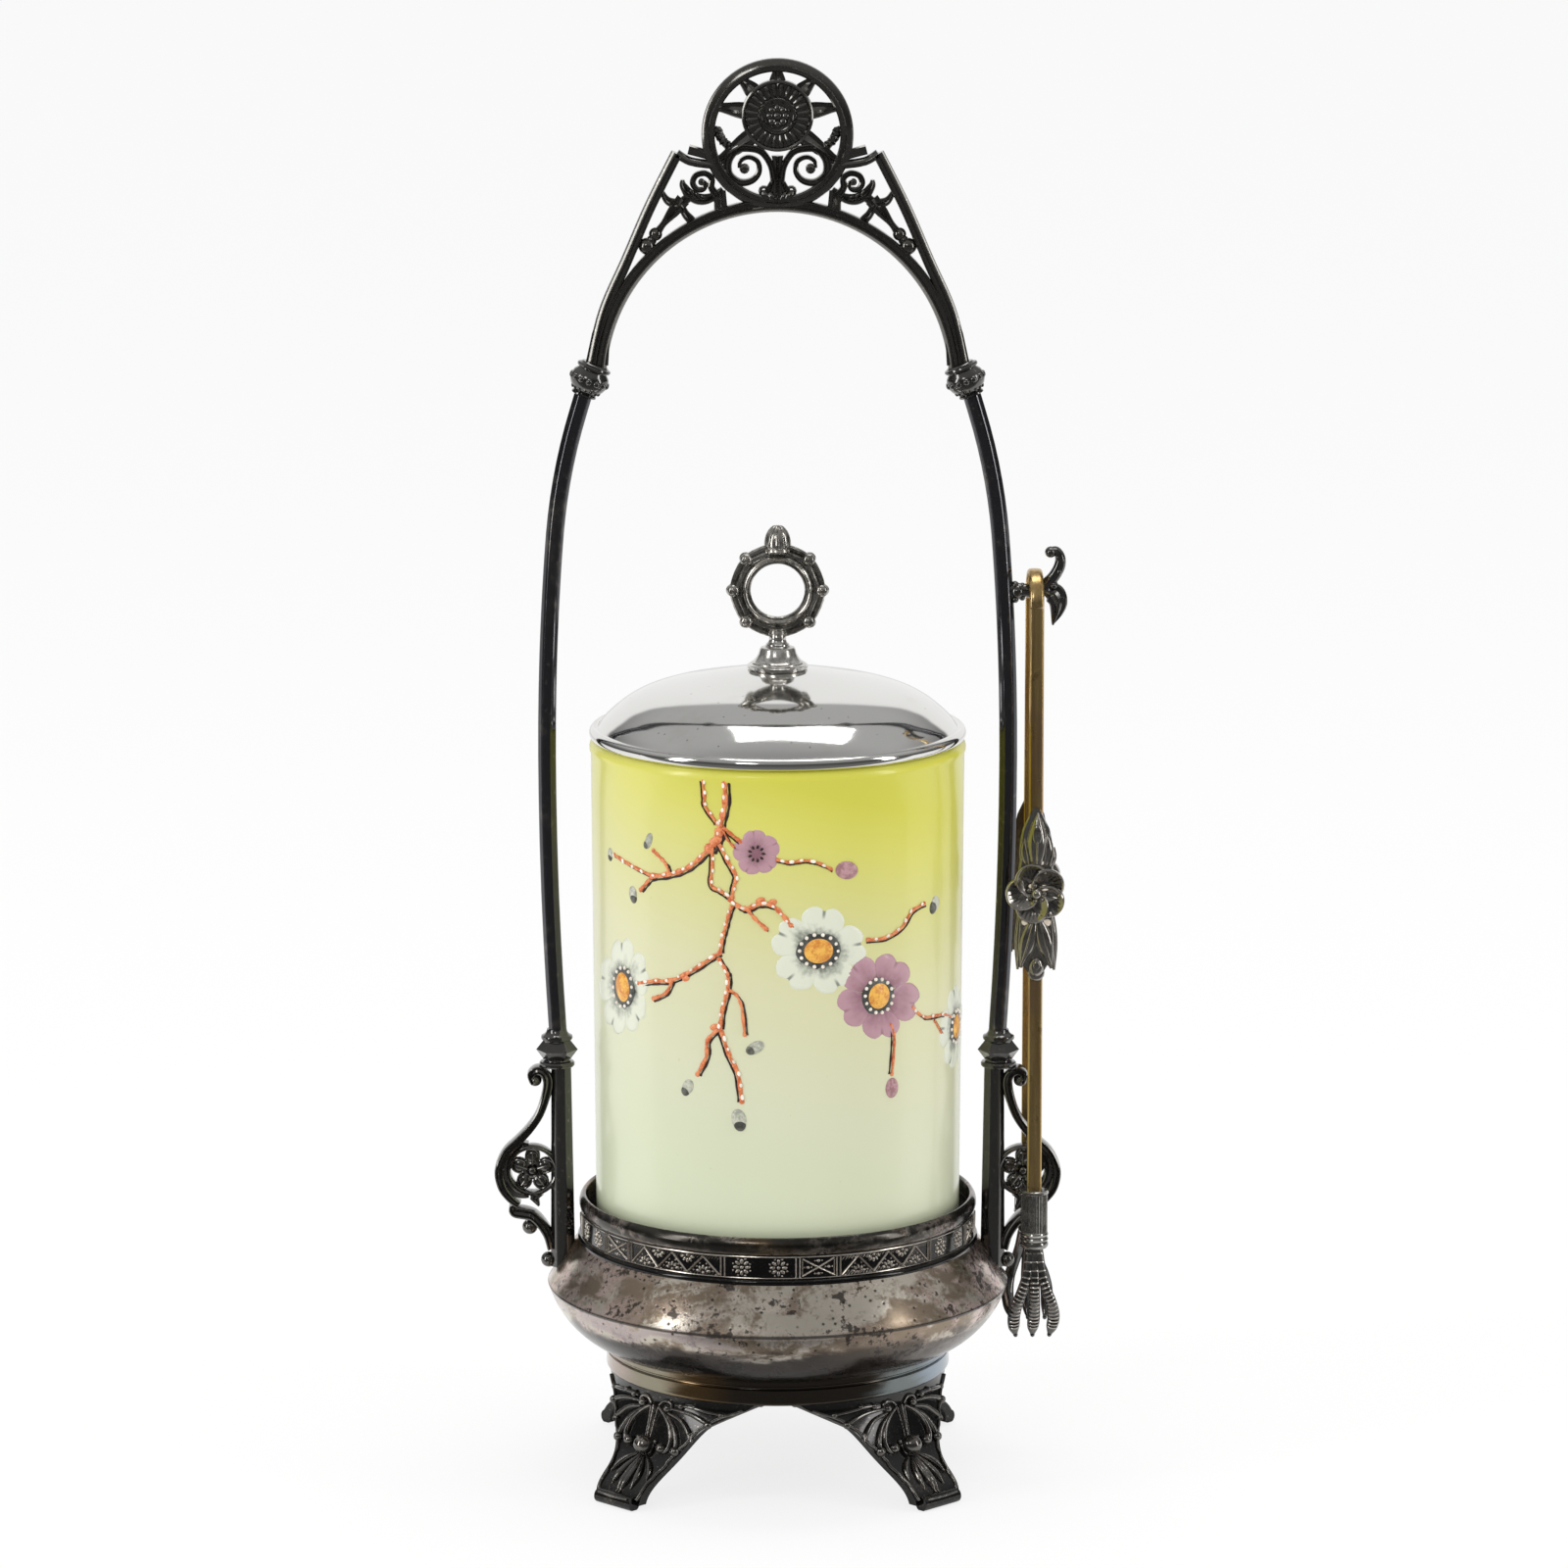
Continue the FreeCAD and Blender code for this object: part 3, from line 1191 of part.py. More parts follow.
def finger_shape(side):
    """One finger: a band that bulges outwards and ends in a point bent inwards."""
    long = float(size.claw_length)
    top = -float(size.arm_length + size.ferrule_length)
    sheet = float(size.claw_sheet)
    half = float(size.claw_finger) / 2
    lean = math.sin(math.radians(ARM_SPLAY_DEGREES)) * (long - top)
    axis_reach = float(size.bow_radius) - float(size.strip_sheet) / 2 + lean
    inward = axis_reach - float(size.claw_tip_gap) - sheet
    sections = []
    for level, out_share, side_share, width_share in FINGER_LEVEL_SHARES:
        z = top - long * level
        x = side * float(size.claw_spread) * side_share
        y = float(size.claw_bow) * out_share + inward * level ** TIP_BEND_POWER
        wide = half * width_share
        outer = y - sheet / 2
        inner = y + sheet / 2
        corners = [V(x - wide, inner, z), V(x + wide, inner, z), V(x + wide, outer, z),
                   V(x - wide, outer, z), V(x - wide, inner, z)]
        sections.append(Part.makePolygon(corners))
    return Part.makeLoft(sections, True, False)


def claw_shape():
    top = -float(size.arm_length + size.ferrule_length)
    radius = float(size.ferrule_radius) * CLAW_ROOT_SHARE
    shape = Part.makeCylinder(radius, float(size.claw_sheet), V(0, 0, top), -Z_AXIS)
    for side in (-1, 0, 1):
        shape = shape.fuse(finger_shape(side))
    return shape.removeSplitter()


def bud_plate(shares, start, way):
    """A pair of leaves with a bud, flat against the arm; it points up or down."""
    face = -float(size.strip_sheet) / 2
    wide = float(size.leaf_width) / 2
    long = float(size.leaf_length)
    right = [V(wide * x, face, start + way * long * z) for x, z in shares]
    left = [V(-point.x, point.y, point.z) for point in reversed(right[:-1])]
    root = V(0, face, start)
    plate = Part.Face(Part.makePolygon([root] + right + left + [root]))
    return plate.extrude(-Y_AXIS * float(size.leaf_depth))


def flower_shape():
    """A five-petalled flower with a ball, and bud leaves above and below it."""
    radius = float(size.flower_radius)
    depth = float(size.flower_depth)
    middle = -float(size.flower_drop)
    face = -float(size.strip_sheet) / 2
    cup_depth = depth * FLOWER_CUP_DEPTH_SHARE
    pieces = [Part.makeCylinder(radius * FLOWER_CUP_SHARE, cup_depth, V(0, face, middle), -Y_AXIS)]
    orbit = radius * PETAL_REACH_SHARE
    for number in range(5):
        angle = math.pi / 2 + number * math.pi * 2 / 5
        spot = V(math.cos(angle) * orbit, face, middle + math.sin(angle) * orbit)
        petal = Part.makeCone(radius * PETAL_FOOT_SHARE, radius * PETAL_RIM_SHARE, depth, spot,
                              -Y_AXIS)
        pieces.append(petal)
    pieces.append(ball(V(0, face - float(size.flower_boss_radius), middle), size.flower_boss_radius))
    start = radius * LEAF_START_SHARE
    pieces.append(bud_plate(BUD_TOP_SHARES, middle + start, 1))
    pieces.append(bud_plate(BUD_FOOT_SHARES, middle - start, -1))
    return joined(pieces)


def make_tongs():
    make_bow()
    makers = (("tongs_arm", arm_shape), ("tongs_ferrule", ferrule_shape),
              ("tongs_claw", claw_shape), ("tongs_flower", flower_shape))
    for side, word in ((-1, "front"), (1, "back")):
        for name, maker in makers:
            cast(name + "_" + word, maker(), arm_place(side))


def check_and_write():
    doc.recompute()
    for item in doc.Objects:
        if "Invalid" in item.State or "Error" in item.State:
            raise RuntimeError("failed: " + item.Label + " " + str(item.State))
    os.makedirs("parts", exist_ok=True)
    for node in NODES:
        shape = node.Shape
        if shape.isNull() or not shape.isValid():
            raise RuntimeError("bad shape: " + node.Label)
        shape.exportStep("parts/" + node.Label + ".step")
        print(node.Label, len(shape.Solids), round(shape.Volume, 2))


make_foot_ring()
make_base_bowl()
make_gallery()
make_feet()
make_jar()
make_lid()
make_finial()
make_posts()
make_collars()
make_rods()
make_knops()
make_crest()
make_brackets()
make_hook()
make_tongs()
check_and_write()
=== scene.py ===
import bmesh
import bpy
import json
import math
import random
from mathutils import Matrix, Vector
from mathutils.bvhtree import BVHTree


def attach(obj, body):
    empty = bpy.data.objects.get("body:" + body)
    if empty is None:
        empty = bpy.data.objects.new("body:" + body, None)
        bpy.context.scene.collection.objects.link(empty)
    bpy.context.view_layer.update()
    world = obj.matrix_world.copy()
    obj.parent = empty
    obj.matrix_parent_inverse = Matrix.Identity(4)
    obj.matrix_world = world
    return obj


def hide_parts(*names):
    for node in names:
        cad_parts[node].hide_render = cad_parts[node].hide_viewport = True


# A silver-plated pickle castor. Places and sizes are in millimetres until finished() turns a
# piece into metres. Finishes, lamps and the floor are in metres.
MM = 0.001
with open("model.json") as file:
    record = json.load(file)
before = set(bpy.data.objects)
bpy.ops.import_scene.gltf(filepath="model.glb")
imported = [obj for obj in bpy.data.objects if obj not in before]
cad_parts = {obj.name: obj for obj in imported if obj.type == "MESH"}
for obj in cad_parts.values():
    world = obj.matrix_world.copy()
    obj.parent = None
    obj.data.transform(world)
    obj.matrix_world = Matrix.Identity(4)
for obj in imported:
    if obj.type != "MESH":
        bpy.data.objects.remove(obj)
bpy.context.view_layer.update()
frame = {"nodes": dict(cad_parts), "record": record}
NODES = frame["nodes"]
SIDES = ((1, "right"), (-1, "left"))
ARMS = ((-1, "front"), (1, "back"))
FACES = (-1, 1)

# The photograph's camera: a long lens a little above the object, straight from the front
PICTURE = 1600
FOCAL_PIXELS = 7590.0
FILM_WIDTH = 36.0
CAMERA_DISTANCE = 1650.0
CAMERA_RISE = math.radians(10.96)
AIM = Vector((1.4, 0.0, 155.6))
AXIS_PIXEL = 793.5


def camera_place():
    back = Vector((0, -math.cos(CAMERA_RISE), math.sin(CAMERA_RISE)))
    return (AIM + back * CAMERA_DISTANCE) * MM


def pixel_ray(px, py):
    """The line of sight through a pixel of the photograph, in metres."""
    side = (px - PICTURE / 2) / FOCAL_PIXELS
    up = (PICTURE / 2 - py) / FOCAL_PIXELS
    ahead = Vector((0, math.cos(CAMERA_RISE), -math.sin(CAMERA_RISE)))
    above = Vector((0, math.sin(CAMERA_RISE), math.cos(CAMERA_RISE)))
    return camera_place(), (ahead + Vector((1, 0, 0)) * side + above * up).normalized()


class Surface:
    """The outer surface of a CAD node, in metres, for seating ornament on it."""

    def __init__(self, name):
        mesh = NODES[name].data
        self.tree = BVHTree.FromPolygons([vertex.co.copy() for vertex in mesh.vertices],
                                         [list(face.vertices) for face in mesh.polygons])

    def hit(self, start, way):
        place, normal, _, _ = self.tree.ray_cast(start, way)
        if place is None:
            place, normal, _, _ = self.tree.find_nearest(start + way * (CAMERA_DISTANCE * MM))
        return place, -normal if normal.dot(way) > 0 else normal


# Shader maths


class Signal:
    """A number that changes over a surface. Sums and products of signals add Math nodes."""

    def __init__(self, nodes, socket):
        self.nodes = nodes
        self.socket = socket

    def worked(self, operation, *values):
        made = self.nodes.node("ShaderNodeMath", {"operation": operation}, dict(enumerate(values)))
        return Signal(self.nodes, made.outputs[0])

    def __add__(self, other):
        return self.worked("ADD", self, other)

    def __sub__(self, other):
        return self.worked("SUBTRACT", self, other)

    def __rsub__(self, other):
        return self.worked("SUBTRACT", other, self)

    def __mul__(self, other):
        return self.worked("MULTIPLY", self, other)

    def __truediv__(self, other):
        return self.worked("DIVIDE", self, other)

    def least(self, other):
        return self.worked("MINIMUM", self, other)

    def most(self, other):
        return self.worked("MAXIMUM", self, other)

    def sine(self):
        return self.worked("SINE", self)

    def size(self):
        return self.worked("ABSOLUTE", self)

    def ramp(self, low, high, start=0.0, end=1.0, kind="SMOOTHSTEP"):
        """Goes from start to end while the signal goes from low to high."""
        made = self.nodes.node("ShaderNodeMapRange", {"interpolation_type": kind},
                               {0: self, 1: low, 2: high, 3: start, 4: end})
        return Signal(self.nodes, made.outputs[0])


def linear(value):
    share = value / 255.0
    return share / 12.92 if share <= 0.04045 else ((share + 0.055) / 1.055) ** 2.4


def paint(colour):
    """A colour as a screen shows it, made linear."""
    return (*(linear(value) for value in colour), 1.0)


class Nodes:
    """The nodes of a material or of the world, in the making."""

    def __init__(self, owner):
        owner.use_nodes = True
        self.owner = owner
        self.tree = owner.node_tree
        self.tree.nodes.clear()
        self.places = self.node("ShaderNodeTexCoord").outputs

    def node(self, kind, settings=None, inputs=None):
        made = self.tree.nodes.new(kind)
        for name, value in (settings or {}).items():
            setattr(made, name, value)
        for name, value in (inputs or {}).items():
            self.feed(made.inputs[name], value)
        return made

    def feed(self, socket, value):
        """Links a signal or a socket; a colour of three numbers is as a screen shows it."""
        if isinstance(value, Signal):
            value = value.socket
        if isinstance(value, bpy.types.NodeSocket):
            self.tree.links.new(value, socket)
        elif isinstance(value, tuple) and socket.type == "RGBA":
            socket.default_value = paint(value) if len(value) == 3 else value
        else:
            socket.default_value = value

    def axes(self, source=None):
        made = self.node("ShaderNodeSeparateXYZ", {}, {0: source or self.places["Object"]})
        return [Signal(self, socket) for socket in made.outputs]

    def ray(self, name):
        return Signal(self, self.node("ShaderNodeLightPath").outputs[name])


class Finish(Nodes):
    """A procedural material in the making."""

    def __init__(self, name):
        super().__init__(bpy.data.materials.new(name))
        self.skin = self.node("ShaderNodeBsdfPrincipled")
        self.node("ShaderNodeOutputMaterial", {}, {"Surface": self.skin.outputs[0]})

    def placed(self, scale, centre=(0.0, 0.0, 0.0)):
        """Object coordinates from a Mapping node, so that a pattern can be stretched."""
        shift = tuple(-c * s for c, s in zip(centre, scale))
        return self.node("ShaderNodeMapping", {}, {"Vector": self.places["Object"],
                                                   "Location": shift, "Scale": scale}).outputs[0]

    def noise(self, scale, detail, roughness, source=None, twist=0.0):
        made = self.node("ShaderNodeTexNoise", {},
                         {"Vector": source or self.places["Object"], "Scale": scale,
                          "Detail": detail, "Roughness": roughness, "Distortion": twist})
        return Signal(self, made.outputs[0])

    def cells(self, scale):
        made = self.node("ShaderNodeTexVoronoi", {},
                         {"Vector": self.places["Object"], "Scale": scale})
        return Signal(self, made.outputs[0])

    def mixed(self, mask, first, second):
        made = self.node("ShaderNodeMix", {"data_type": "RGBA"}, {0: mask, 6: first, 7: second})
        return made.outputs[2]

    def bands(self, place, stops):
        """A colour that goes through the stops, each a place from 0 to 1 and a colour."""
        made = self.node("ShaderNodeValToRGB", {}, {0: place})
        elements = made.color_ramp.elements
        while len(elements) < len(stops):
            elements.new(1.0)
        for element, (at, colour) in zip(elements, stops):
            element.position = at
            element.color = paint(colour)
        return made.outputs[0]

    def bump(self, height, depth, strength):
        """Feeds the normal from a height signal; depth is the relief's real height in metres."""
        made = self.node("ShaderNodeBump", {}, {"Height": height, "Distance": depth,
                                                "Strength": strength})
        self.feed(self.skin.inputs["Normal"], made.outputs[0])

    def surface(self, base, rough, metal=0.0, coat=0.0, coat_rough=0.03):
        for name, value in (("Base Color", base), ("Roughness", rough), ("Metallic", metal),
                            ("Coat Weight", coat), ("Coat Roughness", coat_rough)):
            self.feed(self.skin.inputs[name], value)
        return self.owner


# Finishes. Colours are as a screen shows them.


def tarnished_silver(name, deep, worn, glint, wear, grain=1.0):
    """Silver plate gone nearly black: worn grey-brown patches, fine pits, a waxy gloss and small
    bright flecks that are painted glints.
    """
    finish = Finish(name)
    broad = finish.noise(70.0, 4.0, 0.6, twist=0.4)
    fine = finish.noise(900.0 * grain, 5.0, 0.65)
    patches = (broad * 0.65 + fine * 0.35).ramp(0.60 - wear, 0.72 - wear * 0.5)
    base = finish.mixed(patches, deep, worn)
    # Painted highlight: small bright flecks of the glint colour at random
    flecks = finish.noise(1400.0 * grain, 2.0, 0.5).ramp(0.64, 0.74)
    base = finish.mixed(flecks * 0.5, base, glint)
    pits = finish.cells(1500.0 * grain).ramp(0.0, 0.28)
    finish.bump(fine * 0.6 + pits * 0.4, 0.00003, 0.25)
    return finish.surface(base, fine * 0.12 + patches * 0.08 + 0.09, 0.94, 0.45, 0.06)


def mottled_silver(name):
    """The base's plate: brown, grey and rose patches, dark blooms and small pits, with painted
    shade on the lower belly and along the edge, and a partly painted reflection below the edge.
    """
    finish = Finish(name)
    broad = finish.noise(42.0, 5.0, 0.62, finish.placed((1.0, 1.0, 2.2)), 0.7)
    second = finish.noise(95.0, 4.0, 0.6, finish.placed((1.0, 1.0, 1.7), (0.02, 0.01, 0.0)), 0.4)
    fine = finish.noise(650.0, 6.0, 0.7)
    brown, grey, rose, dark = (146, 130, 112), (208, 200, 186), (228, 204, 196), (52, 47, 42)
    side, _, height = finish.axes()
    base = finish.mixed((broad * 0.75 + fine * 0.25).ramp(0.45, 0.54), brown, grey)
    ends = side.size().ramp(0.028, 0.042, 0.15, 0.9)
    base = finish.mixed(second.ramp(0.46, 0.58) * ends, base, rose)
    base = finish.mixed((second * 0.5 + fine * 0.5).ramp(0.54, 0.585) * 0.9, base, dark)
    # Painted shade: the lower belly is darkened where it reflects the shaded floor under the bowl,
    # a little less to the right
    under = (height + (broad - 0.5) * 0.014).ramp(0.0362, 0.0392, 1.0, 0.0)
    under = under * side.ramp(0.004, 0.030, 0.95, 0.75)
    base = finish.mixed(under, base, (56, 52, 50))
    # Lilac-grey patches just below the edge, stronger on the left: partly tarnish colour, partly a
    # painted reflection
    bloom = (height + (second - 0.5) * 0.012).ramp(0.0385, 0.0400)
    bloom = bloom * height.ramp(0.0415, 0.0435, 1.0, 0.0)
    bloom = bloom * broad.ramp(0.46, 0.56) * side.ramp(-0.015, 0.025, 0.9, 0.35)
    base = finish.mixed(bloom, base, (188, 174, 172))
    # Painted shade: a thin dark line along the sharp edge between belly and shoulder
    ridge = (height - 0.0425).size().ramp(0.00015, 0.00055, 0.9, 0.0)
    base = finish.mixed(ridge, base, dark)
    mouth = (second + fine * 0.3).ramp(0.62, 0.78, 0.95, 0.55)
    base = finish.mixed(height.ramp(0.0588, 0.0598) * mouth, base, (44, 42, 39))
    stain = finish.noise(28.0, 3.0, 0.5, finish.placed((1.0, 1.0, 1.0), (0.05, 0.0, 0.03)))
    base = finish.mixed(stain.ramp(0.58, 0.70) * 0.5, base, (150, 118, 70))
    specks = finish.cells(420.0).ramp(0.05, 0.22)
    base = finish.mixed(1.0 - specks, base, dark)
    finish.bump(specks * 0.6 + fine * 0.4, 0.00005, 0.7)
    rough = fine * 0.20 + second.ramp(0.45, 0.7) * 0.14 + 0.10
    return finish.surface(base, rough, 0.95, 0.25, 0.08)


def foot_ring_silver(name):
    """The foot ring's plate: olive and brown with amber and blue-green tarnish colours, lighter
    painted reflections at its far sides and a painted dark reflection across its front middle.
    """
    finish = Finish(name)
    broad = finish.noise(55.0, 4.0, 0.6, finish.placed((1.0, 1.0, 7.0)), 0.5)
    fine = finish.noise(800.0, 5.0, 0.7)
    side, _, _ = finish.axes()
    right = side.ramp(-0.01, 0.01)
    outer = finish.mixed(right, (140, 134, 116), (108, 114, 114))
    far = finish.mixed(right, (168, 152, 142), (142, 154, 166))
    # Painted reflection: lighter colours towards the ring's far left and right
    outer = finish.mixed((side.size() + (broad - 0.5) * 0.01).ramp(0.030, 0.036), outer, far)
    # Painted dark reflection: the middle of the ring, which faces the front, is darkened
    reach = side.size() + (broad - 0.5) * 0.030
    base = finish.mixed(reach.ramp(0.019, 0.027), (58, 52, 44), outer)
    amber = ((side + (broad - 0.5) * 0.010).ramp(-0.026, -0.020)
             * side.ramp(-0.018, -0.008, 1.0, 0.0))
    base = finish.mixed(amber * 0.55, base, (122, 92, 50))
    finish.bump(fine, 0.00003, 0.4)
    return finish.surface(base, fine * 0.16 + 0.09, 0.95, 0.3, 0.06)


def polished_silver(name):
    """The lid: mirror bright plate with a slight haze and tiny pits."""
    finish = Finish(name)
    haze = finish.noise(60.0, 4.0, 0.6)
    fine = finish.noise(700.0, 4.0, 0.6)
    pits = finish.cells(260.0).ramp(0.02, 0.09)
    base = finish.mixed((1.0 - pits) * 0.6, (226, 225, 222), (120, 116, 112))
    base = finish.mixed(haze.ramp(0.52, 0.75) * 0.25, base, (196, 192, 184))
    finish.bump(fine * 0.25 + pits * 0.5 + haze * 0.6, 0.00002, 0.35)
    return finish.surface(base, haze * 0.05 + fine * 0.03 + 0.045, 1.0)


def grey_silver(name, light, dark, contrast=0.5):
    """Plate worn to a dull grey, with darker patches at random."""
    finish = Finish(name)
    broad = finish.noise(160.0, 4.0, 0.6)
    fine = finish.noise(1300.0, 5.0, 0.65)
    hollows = (broad * 0.5 + fine * 0.5).ramp(0.40, 0.62) * contrast + 0.2
    finish.bump(fine, 0.00003, 0.3)
    return finish.surface(finish.mixed(hollows, light, dark), fine * 0.20 + 0.10, 0.95, 0.2, 0.06)


def old_brass(name):
    """Golden-brown strip: dark lines along its length and worn coppery patches."""
    finish = Finish(name)
    streaks = finish.noise(900.0, 3.0, 0.6, finish.placed((1.0, 1.0, 0.02)))
    broad = finish.noise(90.0, 3.0, 0.5, finish.placed((1.0, 1.0, 0.35)))
    base = finish.mixed(streaks.ramp(0.25, 0.75), (166, 136, 86), (206, 178, 124))
    base = finish.mixed(broad.ramp(0.54, 0.66) * 0.5, base, (172, 142, 116))
    spots = finish.noise(700.0, 3.0, 0.5, finish.placed((1.0, 1.0, 0.4)))
    base = finish.mixed(spots.ramp(0.60, 0.70) * 0.4, base, (88, 68, 38))
    finish.bump(streaks * 0.5 + spots * 0.5, 0.00003, 0.25)
    return finish.surface(base, spots * 0.2 + 0.14, 0.95)


def opal_glass(name):
    """Satin cased glass: strong yellow at the mouth, pale green from the middle down."""
    finish = Finish(name)
    across, _, height = finish.axes()
    base = finish.bands((height + across * 0.30 - 0.060) / 0.106, (
        (0.02, (204, 211, 182)), (0.32, (209, 211, 181)), (0.55, (210, 209, 168)),
        (0.72, (209, 207, 140)), (0.88, (209, 206, 100)), (0.98, (204, 201, 74))))
    specks = finish.noise(900.0, 2.0, 0.5).ramp(0.72, 0.80)
    base = finish.mixed(specks * 0.25, base, (176, 176, 120))
    finish.bump(finish.noise(700.0, 3.0, 0.6), 0.000008, 0.3)
    return finish.surface(base, 0.29, 0.0, 0.25, 0.08)


def enamel(name, inner, outer, streak, start, end):
    """Raised enamel on a petal, whose UV x runs from the flower's middle out and UV y across."""
    finish = Finish(name)
    out, across, _ = finish.axes(finish.places["UV"])
    fine = finish.noise(1500.0, 3.0, 0.6)
    brushed = finish.noise(260.0, 3.0, 0.6)
    lines = (across * 40.0 + fine * 5.0).sine() * 0.5 + 0.5
    reach = out + (fine - 0.5) * 0.16 + (lines - 0.5) * 0.04 + (brushed - 0.5) * 0.8
    base = finish.mixed(reach.ramp(start, end), inner, outer)
    vein = (1.0 - (across - 0.5).size().ramp(0.010, 0.045)) * out.ramp(0.60, 0.85)
    base = finish.mixed((vein * streak).least(1.0), base, inner)
    finish.bump(fine * 0.5 + lines * 0.5, 0.00005, 0.6)
    return finish.surface(base, fine * 0.15 + 0.30, 0.0, 0.3, 0.15)


def plain_enamel(name, light, dark, scale=420.0):
    finish = Finish(name)
    broad = finish.noise(scale, 3.0, 0.6)
    fine = finish.noise(2200.0, 3.0, 0.6)
    base = finish.mixed((broad * 0.7 + fine * 0.3).ramp(0.40, 0.62), light, dark)
    finish.bump(fine * 0.6 + broad * 0.4, 0.00006, 0.7)
    return finish.surface(base, fine * 0.2 + 0.28, 0.0, 0.3, 0.15)


DARK, BAND_GROUND, FOOT_PLATE, FOOT_RELIEF, WORN_RIM, DARKER, ROD, FLOWER = (
    tarnished_silver(*row) for row in (
        # Each row: name, deep and worn colours, painted glint colour, wear and grain
        ("dark_silver", (90, 89, 87), (126, 120, 112), (180, 172, 162), 0.02),
        ("band_ground", (30, 28, 27), (84, 78, 72), (150, 140, 130), 0.03, 1.8),
        ("foot_plate", (44, 43, 42), (98, 92, 86), (160, 152, 142), 0.03, 1.6),
        # The feet's relief: lighter than the plate, partly worn bright and partly a painted
        # highlight
        ("foot_relief", (104, 101, 97), (176, 169, 160), (226, 220, 212), 0.08, 1.2),
        # Bright rims and ribs on the tongs: a painted highlight
        ("worn_rim", (176, 170, 162), (216, 210, 200), (240, 236, 230), 0.10),
        ("dark_casting", (96, 94, 90), (132, 126, 118), (186, 178, 168), 0.0, 1.4),
        ("rod_silver", (72, 72, 76), (112, 108, 102), (140, 134, 126), 0.07, 0.5),
        ("flower_silver", (142, 138, 132), (190, 183, 173), (228, 222, 212), 0.05, 1.2)))
FINIAL, FINIAL_FOOT, GREY, FERRULE, ORNAMENT = (grey_silver(*row) for row in (
    ("finial_silver", (200, 196, 188), (66, 64, 60), 0.65),
    ("finial_foot_silver", (232, 229, 223), (120, 117, 112)),
    ("grey_silver", (176, 173, 168), (84, 82, 79)),
    ("ferrule_silver", (190, 188, 182), (100, 98, 94), 0.6),
    ("ornament_silver", (226, 219, 208), (134, 124, 114))))
ORANGE, SHADOW, SHADOW_GREY, POLISH, WHITE, YOLK, BUD, BUD_CUP, MAUVE_BUD = (
    plain_enamel(*row) for row in (
        ("branch_orange", (228, 142, 90), (196, 96, 52), 900.0),
        ("branch_shadow", (36, 28, 26), (64, 42, 34)),
        ("flower_ground", (58, 60, 58), (88, 90, 84)),
        ("polish_residue", (238, 226, 208), (216, 202, 184), 700.0),
        ("dot_white", (246, 240, 228), (224, 212, 196)),
        ("centre_yellow", (236, 180, 78), (202, 122, 44)),
        ("bud_grey", (198, 198, 180), (150, 152, 138), 500.0),
        ("bud_cup", (66, 66, 60), (104, 104, 94), 500.0),
        ("bud_mauve", (188, 146, 150), (150, 108, 112), 700.0)))
WHITE_PETAL = enamel("petal_white", (84, 92, 84), (216, 219, 200), 0.75, 0.04, 0.58)
MAUVE_PETAL = enamel("petal_mauve", (134, 92, 104), (182, 142, 152), 0.55, -0.10, 0.85)
BASE = mottled_silver("base_silver")
RING = foot_ring_silver("foot_ring_silver")
LID = polished_silver("bright_silver")
BRASS = old_brass("brass_strip")
GLASS = opal_glass("opal_glass")

# Mesh helpers. All of them take millimetres.

SHARP = 32


def finished(name, bm, body, material, replaced=None, sharp=SHARP):
    """Turns a bmesh into a piece in metres that rides on a body and may replace a CAD node."""
    bmesh.ops.recalc_face_normals(bm, faces=bm.faces)
    bmesh.ops.scale(bm, vec=(MM, MM, MM), verts=bm.verts)
    mesh = bpy.data.meshes.new(name)
    bm.to_mesh(mesh)
    bm.free()
    mesh.shade_smooth()
    if sharp:
        mesh.set_sharp_from_angle(angle=math.radians(sharp))
    mesh.materials.append(material)
    piece = bpy.data.objects.new(name, mesh)
    bpy.context.scene.collection.objects.link(piece)
    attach(piece, body)
    if replaced:
        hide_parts(replaced)


def join(bm, part):
    """Adds a bmesh to another and frees it."""
    mesh = bpy.data.meshes.new("part")
    part.to_mesh(mesh)
    part.free()
    bm.from_mesh(mesh)
    bpy.data.meshes.remove(mesh)


def turns(count, start=0.0):
    return [math.tau * (n + start) / count for n in range(count)]


def steps(first, last, count):
    """Even steps from first to last, both among them."""
    return [first + (last - first) * n / (count - 1) for n in range(count)]


def around(turn, reach=1.0, level=0.0):
    """A place about the vertical."""
    return Vector((math.cos(turn) * reach, math.sin(turn) * reach, level))


def upright(turn, reach=1.0, level=0.0):
    """A place in the handle's plane, about a centre at a level."""
    return Vector((math.cos(turn) * reach, 0, level + math.sin(turn) * reach))


def spun(bm, profile, count=96, centre=(0, 0, 0), turn=None):
    """Turns an open half section, given as radius and height, about the vertical."""
    part = bmesh.new()
    line = [part.verts.new((r, 0, z)) for r, z in profile]
    edges = [part.edges.new(pair) for pair in zip(line, line[1:])]
    bmesh.ops.spin(part, geom=line + edges, cent=(0, 0, 0), axis=(0, 0, 1), dvec=(0, 0, 0),
                   angle=math.tau, steps=count, use_merge=True, use_duplicate=False)
    bmesh.ops.remove_doubles(part, verts=part.verts, dist=0.0004)
    matrix = Matrix.Translation(centre) @ (turn or Matrix.Identity(4))
    bmesh.ops.transform(part, matrix=matrix, verts=part.verts)
    join(bm, part)


def curved(points, count=6):
    """A smooth line through points, which are tuples of any length."""
    out = []
    for number in range(len(points) - 1):
        near = [points[min(max(number + n, 0), len(points) - 1)] for n in (-1, 0, 1, 2)]
        for step in range(count):
            t = step / count
            out.append(tuple(
                0.5 * (2 * b + (c - a) * t + (2 * a - 5 * b + 4 * c - d) * t * t
                       + (3 * b - a - 3 * c + d) * t ** 3) for a, b, c, d in zip(*near)))
    out.append(tuple(points[-1]))
    return out


